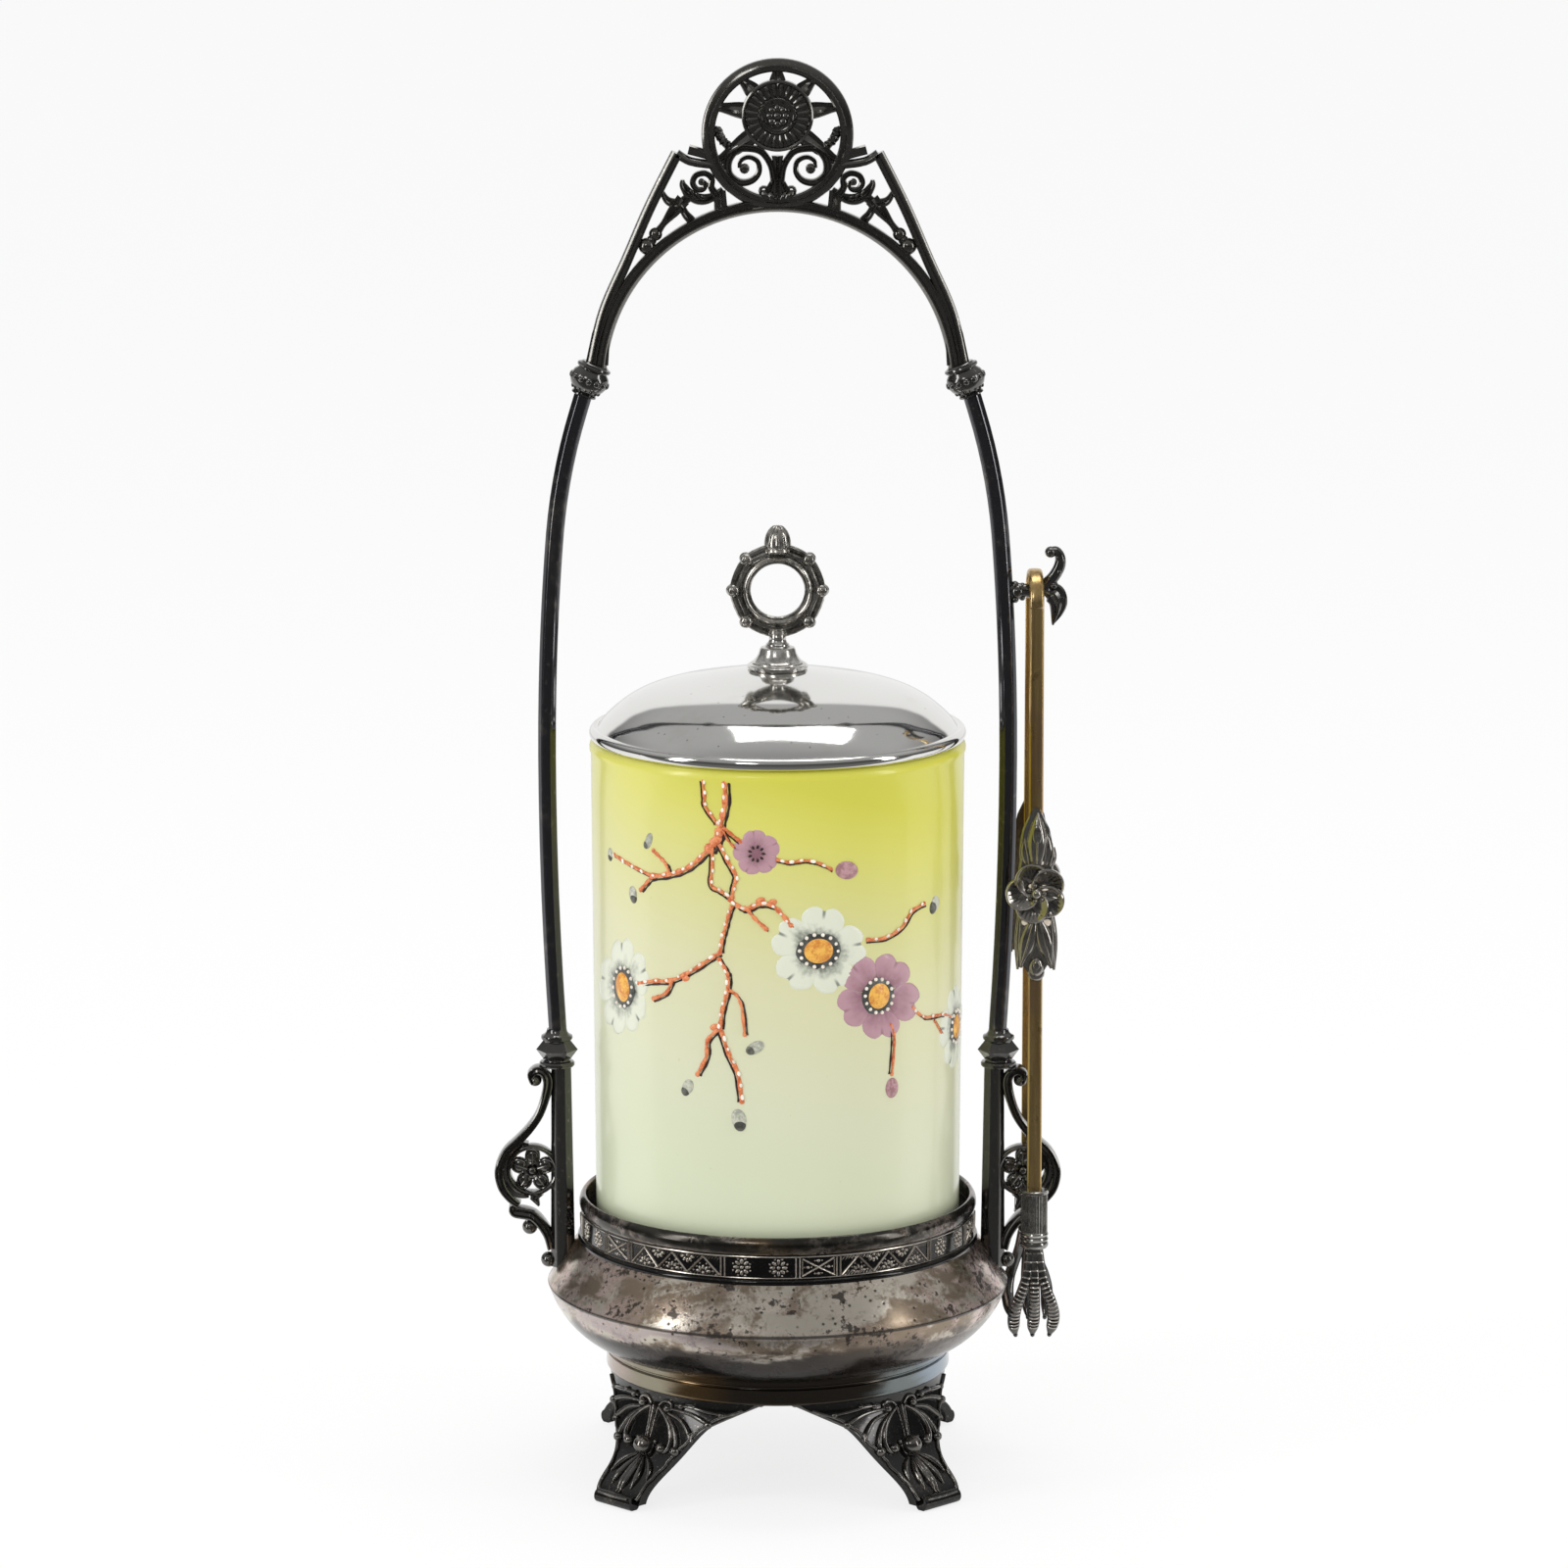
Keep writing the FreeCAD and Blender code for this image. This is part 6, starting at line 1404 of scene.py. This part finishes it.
BAND_REACH = BAND_OUT - 0.1
BAND_LOW, BAND_HIGH = BAND_FOOT + 1.45, BAND_TOP - 0.45
BAND_RISE = BAND_HIGH - BAND_LOW
# In degrees about the stand, from the front
BAND_PERIOD, BAND_START = 65.2, -189.8
CROSS_TURN, ZIGZAG_TURN, ROSETTE_TURN = 11.9, 31.7, 21.6
BAND_EDGE = ((-0.3, -0.16), (0.2, -0.14), (0.26, 0.0), (0.2, 0.14), (-0.3, 0.16))
# How far the small dots lie under a zigzag, as a share of the band
DOTS_UNDER = 0.19


def off_band(turn):
    return around(math.radians(turn - 90))


def on_band(turn, height):
    """A place on the band: turn in degrees from the front, height as a share of the band."""
    return off_band(turn) * BAND_REACH + Vector((0, 0, BAND_LOW + BAND_RISE * height))


def band_line(bm, points, width=0.5, high=0.36, step=1.2):
    """A raised line on the band through places given as turn and height."""
    line = []
    for (a, p), (b, q) in zip(points, points[1:]):
        count = max(1, round(abs(b - a) / step))
        line += [(a + (b - a) * n / count, p + (q - p) * n / count) for n in range(count)]
    line.append(points[-1])
    strip(bm, [on_band(*spot) for spot in line], [off_band(turn) for turn, _ in line], width, high,
          4, 0.25)


def band_bead(bm, turn, height, radius, long=1.0, lean=0.0):
    along = Vector((math.cos(math.radians(turn)) * math.cos(lean),
                    math.sin(math.radians(turn)) * math.cos(lean), math.sin(lean)))
    bead(bm, on_band(turn, height), radius, 0.85, off_band(turn), long, along, 8, 5)


def band_rosette(bm, turn):
    """Eight petals, each a small raised drop, about a dot."""
    for lean in turns(8):
        band_bead(bm, turn + math.degrees(math.cos(lean) * 1.32 / BAND_REACH),
                  0.5 + math.sin(lean) * 1.32 / BAND_RISE, 0.42, 1.7, lean)
        lean += math.pi / 8
        band_bead(bm, turn + math.degrees(math.cos(lean) * 2.05 / BAND_REACH),
                  0.5 + math.sin(lean) * 2.0 / BAND_RISE, 0.27)
    band_bead(bm, turn, 0.5, 0.46)


def band_daisy(bm, turn, up):
    """Half a daisy that stands on the band's edge inside a zigzag."""
    foot = 0.12 if up else 0.88
    for number in range(5):
        lean = math.radians(18 + 36 * number)
        rise = math.sin(lean) * 1.25 * (1 if up else -1)
        spot = turn + math.degrees(math.cos(lean) * 1.25 / BAND_REACH)
        band_bead(bm, spot, foot + rise / BAND_RISE, 0.36, 1.7, lean if up else -lean)
    band_bead(bm, turn, foot, 0.42)


def band_bars(bm, turn):
    for shift in (-0.55, 0.55):
        band_line(bm, [(turn + shift, 0.02), (turn + shift, 0.98)], 0.5, 0.42)


def zigzag_panel(bm, start, end, peaks=3):
    wide = (end - start - 2.0) / (peaks * 2)
    line = [(start + 1.0 + wide * n, 0.08 if n % 2 == 0 else 0.90) for n in range(peaks * 2 + 1)]
    band_line(bm, line, 0.6, 0.46, 1.0)
    for (a, p), (b, q) in zip(line, line[1:]):
        for number in range(1, 5):
            share = number / 5
            band_bead(bm, a + (b - a) * share, p + (q - p) * share - DOTS_UNDER, 0.24)
    for number in range(peaks):
        band_daisy(bm, start + 1.0 + wide * (2 * number + 1), True)
        if number:
            band_daisy(bm, start + 1.0 + wide * 2 * number, False)
    hatch = start + 1.2
    while hatch < end - 1.4:
        band_line(bm, [(hatch, 0.03), (hatch + 1.0, 0.22)], 0.12, 0.09)
        band_line(bm, [(hatch, 0.78), (hatch + 1.0, 0.97)], 0.12, 0.09)
        hatch += 0.9


def cross_panel(bm, start, end):
    low, high = start + 1.3, end - 1.3
    middle = (low + high) / 2
    band_line(bm, [(low, 0.10), (high, 0.90)], 0.55, 0.42)
    band_line(bm, [(low, 0.90), (high, 0.10)], 0.55, 0.42)
    for edge in (low, high):
        band_line(bm, [(edge, 0.10), (edge, 0.90)], 0.3, 0.24)
    for turn, height in ((middle, 0.80), (middle, 0.20), (low + 1.6, 0.5), (high - 1.6, 0.5)):
        band_bead(bm, turn, height, 0.42)
        band_bead(bm, turn - 1.0, height, 0.24)
        band_bead(bm, turn + 1.0, height, 0.24)


def make_band_ornament():
    bm = bmesh.new()
    turn = BAND_START
    for _ in range(5):
        zigzag = turn + CROSS_TURN
        rosettes = zigzag + ZIGZAG_TURN
        cross_panel(bm, turn, zigzag)
        zigzag_panel(bm, zigzag, rosettes)
        for edge in (turn, zigzag, rosettes):
            band_bars(bm, edge)
        for share in (0.255, 0.745):
            band_rosette(bm, rosettes + ROSETTE_TURN * share)
        turn += BAND_PERIOD
    band_bars(bm, turn)
    zigzag_panel(bm, turn, BAND_START + 360.0)
    finished("gallery_band_ornament", bm, "frame", ORNAMENT, sharp=50)
    bm = bmesh.new()
    for height in (0.0, 1.0):
        skinned(bm, [[on_band(turn, height) + off_band(turn) * a + Vector((0, 0, b))
                      for a, b in BAND_EDGE] for turn in range(0, 360, 3)], True)
    finished("gallery_band_edges", bm, "frame", ORNAMENT)


# Feet: relief seated on the cast plates. Places are given across the foot and by height.

FEET = (("foot_front_right", -45), ("foot_back_right", 45), ("foot_back_left", 135),
        ("foot_front_left", 225))
FOOT_SPRAYS = (
    # places across and height, widths, height of the relief; one side, mirrored to the other
    (((1.2, 20.4), (3.6, 19.0), (6.0, 16.6), (7.0, 13.6), (6.2, 11.6), (4.9, 11.6)),
     (0.9, 1.2, 1.5, 1.5, 1.2, 0.8), 1.0),
    (((3.6, 19.2), (6.6, 17.2), (8.4, 14.4), (8.9, 12.2)), (0.9, 1.3, 1.6, 1.5), 1.0),
    (((4.4, 19.6), (8.2, 18.6), (11.0, 16.4), (12.2, 14.8)), (0.9, 1.3, 1.6, 1.4), 1.0),
    (((5.2, 20.6), (9.4, 20.3), (12.8, 19.4), (14.8, 18.6)), (0.9, 1.2, 1.5, 1.3), 0.9),
    (((5.8, 21.6), (9.6, 21.7), (13.4, 21.2), (16.6, 20.8)), (0.8, 1.1, 1.3, 1.0), 0.8),
    (((1.2, 20.8), (2.6, 22.0), (4.4, 21.9), (4.9, 20.6), (3.8, 20.0)),
     (0.8, 1.0, 1.1, 0.9, 0.7), 0.9),
)
FOOT_BALLS = ((5.0, 12.1, 1.25), (8.9, 12.1, 1.15), (12.3, 14.7, 1.05), (14.9, 18.5, 0.95),
              (3.9, 20.5, 0.95), (16.8, 20.7, 0.7), (7.4, 21.6, 0.8), (10.6, 21.8, 0.65),
              (2.7, 13.2, 0.6))
FOOT_LEAF = (((0.3, 9.8), (0.5, 7.4), (0.5, 5.2), (0.4, 3.0)),
             ((0.8, 9.8), (2.0, 7.8), (2.7, 6.0), (3.0, 4.0)),
             ((1.2, 10.2), (3.2, 9.0), (4.7, 7.6), (5.6, 6.0)))
FOOT_LEAF_WIDTHS = (0.5, 1.5, 1.6, 0.4)
FOOT_REACH, BOSS_LEVEL = 27.0, 11.9
BOSS_LINE = [(0, -0.4), (2.3, -0.4), (2.4, 0.1), (2.1, 0.45), (1.7, 0.5), (0, 0.5)]


def make_feet_relief():
    for name, degrees in FEET:
        surface = Surface(name)
        out = around(math.radians(degrees))
        across = around(math.radians(degrees + 90))

        def seat(u, z):
            start = (out * 90.0 + across * u + Vector((0, 0, z))) * MM
            place, normal = surface.hit(start, -out)
            return place / MM, normal

        def relief(points, widths, height, count=4):
            seats = [seat(u, z) for u, z in curved(points, count)]
            wide = [w * 0.86 for w in eased(widths, count)]
            strip(bm, [place for place, _ in seats], [normal for _, normal in seats], wide,
                  [min(height * 1.2, w * 0.75) for w in wide], 8, 0.4)

        bm = bmesh.new()
        for side, _ in SIDES:
            for points, widths, height in FOOT_SPRAYS:
                relief([(u * side, z) for u, z in points], widths, height)
            for u, z, radius in FOOT_BALLS:
                place, normal = seat(u * side, z)
                bead(bm, place + normal * radius * 0.35, radius, 1.0, normal, u=12, v=8)
            for points in FOOT_LEAF:
                relief([(u * side, z) for u, z in points], FOOT_LEAF_WIDTHS, 0.85)
            relief([(0.75 * side, 13.4), (0.85 * side, 17.0), (1.1 * side, 20.2)],
                   (0.5, 0.6, 0.8), 0.5)
            edge = []
            for z in steps(2.4, 22.2, 25):
                reach = 0.5
                while reach < FOOT_REACH:
                    place, _ = seat(reach * side, z)
                    found = place.dot(across)
                    if (place - across * found).length < 1.0 or abs(found - reach * side) > 0.2:
                        break
                    reach += 0.5
                edge.append(((reach - 1.1) * side, z))
            relief(edge, (0.85,) * len(edge), 0.5, 1)
        place, normal = seat(0.0, BOSS_LEVEL)
        bead(bm, place + normal * 0.7, 2.35, 1.0, normal, u=20, v=14)
        spun(bm, BOSS_LINE, 28, turn=framed(place, normal, across))
        relief([(0, 13.4), (0, 17.0), (0, 20.6)], (1.0, 1.1, 1.4), 0.8)
        relief([(-4.6, 2.5), (0, 2.35), (4.6, 2.5)], (0.6, 0.6, 0.6), 0.35, 8)
        # The relief's lighter finish is partly wear and partly a painted highlight
        finished(name + "_relief", bm, "frame", FOOT_RELIEF, sharp=45)


# Enamel on the jar, placed by the photograph's pixels on the glass

JAR_SURFACE = Surface("jar")
PIXEL_SIZE = 1.0 / 4.6
TWIG_ENDS = ((739, 795), (733, 857), (788, 921), (776, 919), (700, 998), (729, 1048))
BRANCHES = (
    # places as pixels, width in mm, side of the dark line, dots
    (((717, 791), (719, 813), (720, 823), (732, 840)), 0.9, -1, True),
    (((739, 793), (740, 819), (736, 838), (733, 857)), 1.5, 1, True),
    (((735, 848), (728, 861), (724, 866)), 2.2, 1, False),
    (((727, 862), (713, 877), (699, 887), (683, 892), (666, 894)), 1.3, 1, True),
    (((666, 894), (650, 886), (638, 879), (627, 872)), 0.9, 1, True),
    (((666, 894), (660, 901), (654, 908)), 1.0, 1, False),
    (((683, 891), (680, 882), (674, 875), (667, 868)), 1.0, 1, False),
    (((738, 844), (746, 851), (756, 859)), 0.9, -1, False),
    (((738, 847), (743, 857), (749, 864)), 0.7, 1, False),
    (((792, 877), (806, 880), (822, 878), (836, 881), (848, 887)), 0.8, 1, True),
    (((727, 866), (727, 885), (726, 903), (735, 909), (744, 915)), 0.9, -1, True),
    (((734, 861), (743, 879), (751, 894), (749, 905), (747, 916)), 1.0, -1, True),
    (((744, 917), (754, 925), (763, 927), (776, 922), (788, 924), (798, 933), (807, 944)),
     1.2, 1, True),
    (((763, 928), (771, 938), (782, 948)), 1.0, 1, False),
    (((747, 924), (743, 936), (740, 948), (737, 959), (735, 972)), 1.0, 1, True),
    (((735, 972), (727, 977), (707, 990), (686, 1000), (668, 1001), (652, 1003)), 1.1, 1, True),
    (((686, 1001), (680, 1013), (667, 1019)), 1.0, 1, False),
    (((733, 977), (740, 988), (743, 997), (742, 1013), (737, 1032), (735, 1050)), 1.1, 1, True),
    (((744, 1010), (752, 1016), (757, 1028), (760, 1056)), 0.9, 1, False),
    (((733, 1050), (722, 1062), (721, 1078), (712, 1096)), 1.1, 1, False),
    (((736, 1052), (744, 1076), (753, 1096), (757, 1124)), 1.1, -1, True),
    (((884, 959), (903, 957), (920, 946), (930, 930), (943, 922)), 0.9, 1, True),
    (((908, 1044), (912, 1056), (912, 1070), (910, 1096)), 0.9, -1, False),
    (((930, 1027), (938, 1035), (946, 1038), (962, 1035), (971, 1038)), 0.8, 1, True),
    (((953, 1041), (957, 1048), (960, 1054)), 0.6, 1, False),
)
BUDS = (
    # pixel, half length and half width in mm, lean of its length in degrees, finish
    (623, 871, 1.5, 1.2, 90, "bud"), (662, 858, 2.3, 1.15, 60, "bud"),
    (646, 912, 2.0, 1.5, 100, "bud"), (864, 888, 3.0, 2.3, -10, "mauve_bud"),
    (954, 922, 2.1, 1.8, 60, "bud"), (771, 1069, 2.4, 1.5, 30, "bud"),
    (702, 1109, 2.1, 1.5, 60, "bud"), (754, 1142, 2.6, 1.9, 100, "bud"),
    (910, 1110, 2.6, 2.0, 90, "mauve_bud"),
)
WHITE_FLOWERS = (
    # middle in pixels, petal's reach across and up, first petal's angle, centre's half size
    (835, 970, 51, 47, 82, (14.5, 12.5)),
    (637, 1007, 27, 52, 95, (7.0, 15.0)),
)
# The flower where the glass turns away from the camera. It is measured along the glass.
EDGE_FLOWER = (981, 1047, 45, 45, 100, (12.5, 12.5))
EDGE_TURN, EDGE_HEIGHT, JAR_REACH = math.radians(73.5), 103.2, 41.1
MAUVE_FLOWER = (896, 1016, 44, 46, 60, (10.5, 13.0))
SMALL_FLOWER = (772, 870, 25, 24, 98)
# How deep a petal's underside lies in the glass
PATCH_FOOT = -0.45


def on_jar(px, py, out=0.0):
    place, normal = JAR_SURFACE.hit(*pixel_ray(px, py))
    return place / MM + normal * out, normal


def round_jar(px, py, out=0.0):
    """A place on the jar's side, as far along the glass from the edge flower as the pixels say."""
    turn = EDGE_TURN + (px - EDGE_FLOWER[0]) * PIXEL_SIZE / JAR_REACH
    way = around(turn - math.pi / 2)
    start = way * JAR_REACH * 2 + Vector((0, 0, EDGE_HEIGHT - (py - EDGE_FLOWER[1]) * PIXEL_SIZE))
    place, normal = JAR_SURFACE.hit(start * MM, -way)
    return place / MM + normal * out, normal


def jar_strip(bm, pixels, widths, height):
    seats = [on_jar(px, py) for px, py in pixels]
    strip(bm, [place for place, _ in seats], [normal for _, normal in seats], widths, height, 5,
          0.25)


def jar_bead(bm, px, py, radius, flat=0.5, long=1.0, lean=0.0, u=10, v=6):
    place, normal = on_jar(px, py)
    bead(bm, place, radius, flat, normal, long, upright(math.radians(lean)), u, v)


def shadow_line(line, shift):
    """The dark line beside a branch. It lies on the side that the shift's sign gives."""
    shadow = []
    for number, (px, py) in enumerate(line):
        dx, dy = way_along([Vector((x, y, 0)) for x, y in line], number).to_2d().normalized()
        if dy < 0 or (dy == 0 and dx < 0):
            dx, dy = -dx, -dy
        drop = -dx * shift if shift < 0 else abs(dx) * shift
        shadow.append((px + dy * shift, py + drop))
    return shadow


def branch_dots(bm, line, side, rng):
    """White dots at uneven distances along a branch."""
    travelled = 3.0
    for (ax, ay), (bx, by) in zip(line, line[1:]):
        travelled += math.hypot(bx - ax, by - ay)
        if travelled > 9.5:
            travelled = rng.uniform(-1.5, 1.0)
            place, normal = on_jar(bx - side * 1.2, by - 0.6, 0.30)
            bead(bm, place, rng.uniform(0.28, 0.42), 0.7, normal, rng.uniform(1.2, 1.8),
                 upright(math.atan2(ay - by, bx - ax)), 8, 6)


def make_branches():
    rng = random.Random(7)
    branch, shade, dots = bmesh.new(), bmesh.new(), bmesh.new()
    for pixels, width, side, dotted in BRANCHES:
        line = curved(pixels, 5)
        count = len(line)
        widths = [width * (0.85 + 0.25 * math.sin(n * 1.7) + (0.25 if n in (0, count - 1) else 0.0))
                  for n in range(count)]
        jar_strip(branch, line, widths, 0.42)
        jar_strip(shade, shadow_line(line, width * 0.66 / PIXEL_SIZE * side),
                  [w * 0.54 for w in widths], 0.28)
        jar_bead(branch, *line[-1], width * 0.58, 0.7)
        if dotted:
            branch_dots(dots, line, side, rng)
    for px, py in TWIG_ENDS:
        jar_bead(branch, px, py, 0.75, 0.6, 1.5, 20)
    finished("enamel_branches", branch, "jar", ORANGE)
    finished("enamel_branch_shadows", shade, "jar", SHADOW)
    finished("enamel_dots", dots, "jar", WHITE)


def make_buds():
    for kind, material in (("bud", BUD), ("mauve_bud", MAUVE_BUD)):
        bm = bmesh.new()
        for px, py, long, wide, lean, finish in BUDS:
            if finish == kind:
                jar_bead(bm, px, py, wide * 0.88, 0.35, long / wide, lean, 20, 12)
        finished("enamel_buds_" + kind, bm, "jar", material)
    bm = bmesh.new()
    for px, py, long, wide, lean, finish in BUDS:
        if finish == "bud":
            back = upright(math.radians(lean), long * 0.42 / PIXEL_SIZE)
            jar_bead(bm, px - back.x, py + back.z, wide * 0.74, 0.45, 1.2, lean, 16, 10)
    finished("enamel_bud_cups", bm, "jar", BUD_CUP)


def petal_patch(bm, uv, flower, number, spread, height, inner=0.26, lobes=0.09, seat=on_jar):
    """One heart-shaped petal, as a raised patch on the glass. UV runs out and across."""
    middle_x, middle_y, wide, tall, first = flower
    angle = math.radians(first + 72 * number)
    before = set(bm.verts)
    made = bmesh.ops.create_grid(bm, x_segments=10, y_segments=14, size=0.5,
                                 calc_uvs=True)["verts"]
    faces = list({face for vert in made for face in vert.link_faces})
    cells = {vert: (vert.co.x + 0.5, vert.co.y * 2) for vert in made}
    for face in faces:
        for loop in face.loops:
            out, across = cells[loop.vert]
            loop[uv].uv = (out, across * 0.5 + 0.5)
    grown = bmesh.ops.extrude_face_region(bm, geom=faces, use_keep_orig=True)["geom"]
    tops = {item for item in grown if isinstance(item, bmesh.types.BMVert)}
    cells.update({vert: (vert.co.x + 0.5, vert.co.y * 2) for vert in tops})
    for vert in [v for v in bm.verts if v not in before]:
        out, across = cells[vert]
        rim = 1.0 - lobes * math.exp(-(across / 0.20) ** 2) - 0.20 * abs(across) ** 3.0
        half = spread * (0.74 + 0.34 * math.sin(math.pi * min(1.0, out * 0.72 + 0.10)))
        turn = angle + across * half
        share = inner + (rim - inner) * out
        rise = PATCH_FOOT
        if vert in tops:
            edge = max(abs(across), abs(out * 2 - 1) if out > 0.5 else 0.0)
            crease = 0.10 * math.exp(-(across / 0.10) ** 2) if out > 0.35 else 0.0
            rise = height * (1.0 - edge ** 5) - 0.05 - crease
        vert.co = seat(middle_x + math.cos(turn) * wide * share,
                       middle_y - math.sin(turn) * tall * share, rise)[0]


def make_flower(name, flower, material, seat=on_jar):
    px, py, (wide, tall) = flower[0], flower[1], flower[5]
    bm = bmesh.new()
    uv = bm.loops.layers.uv.new("UVMap")
    for number in range(5):
        petal_patch(bm, uv, flower[:5], number, math.radians(37), 0.34, seat=seat)
    finished(name + "_petals", bm, "jar", material, sharp=None)
    ring, yolk, dots = bmesh.new(), bmesh.new(), bmesh.new()
    place, normal = seat(px, py)
    side = Vector((0, 0, 1)).cross(normal).normalized()
    shrink = side.x if seat == on_jar else 1.0
    half = tall * PIXEL_SIZE
    long = wide / shrink / tall
    bead(ring, place, half * 1.55, 0.39 / half, normal, long, side, 32, 12)
    bead(yolk, place, half * 1.16, 0.8 / half, normal, long, side, 32, 14)
    for turn in turns(14):
        dot, way = seat(px + math.cos(turn) * wide * 1.33, py - math.sin(turn) * tall * 1.33, 0.38)
        bead(dots, dot, 0.44, 0.8, way, u=10, v=8)
    finished(name + "_ground", ring, "jar", SHADOW_GREY)
    finished(name + "_centre", yolk, "jar", YOLK)
    finished(name + "_dots", dots, "jar", WHITE)


def make_enamel():
    make_branches()
    make_buds()
    for number, flower in enumerate(WHITE_FLOWERS, start=1):
        make_flower("enamel_white_%d" % number, flower, WHITE_PETAL)
    make_flower("enamel_white_3", EDGE_FLOWER, WHITE_PETAL, round_jar)
    make_flower("enamel_mauve_1", MAUVE_FLOWER, MAUVE_PETAL)
    px, py = SMALL_FLOWER[:2]
    bm = bmesh.new()
    uv = bm.loops.layers.uv.new("UVMap")
    for number in range(5):
        petal_patch(bm, uv, SMALL_FLOWER, number, math.radians(42), 0.3, 0.02, -0.02)
    jar_bead(bm, px, py, 2.4, 0.12, u=16, v=8)
    finished("enamel_small_petals", bm, "jar", MAUVE_PETAL, sharp=None)
    bm = bmesh.new()
    for turn in turns(9):
        place, normal = on_jar(px + math.cos(turn) * 7.0, py + 1 - math.sin(turn) * 7.0, 0.25)
        bead(bm, place, 0.30, 0.8, normal, 1.5, upright(turn), 8, 6)
    finished("enamel_small_dots", bm, "jar", SHADOW)


dress_cad_nodes()
make_base()
make_jar()
make_lid()
make_uprights()
make_crest()
make_finial()
make_bracket(1, "right")
make_bracket(-1, "left")
make_hook()
make_strip()
make_ferrules()
make_claws()
make_flowers()
make_band_ornament()
make_feet_relief()
make_enamel()
make_stage()
make_world()
make_lights()
make_camera()
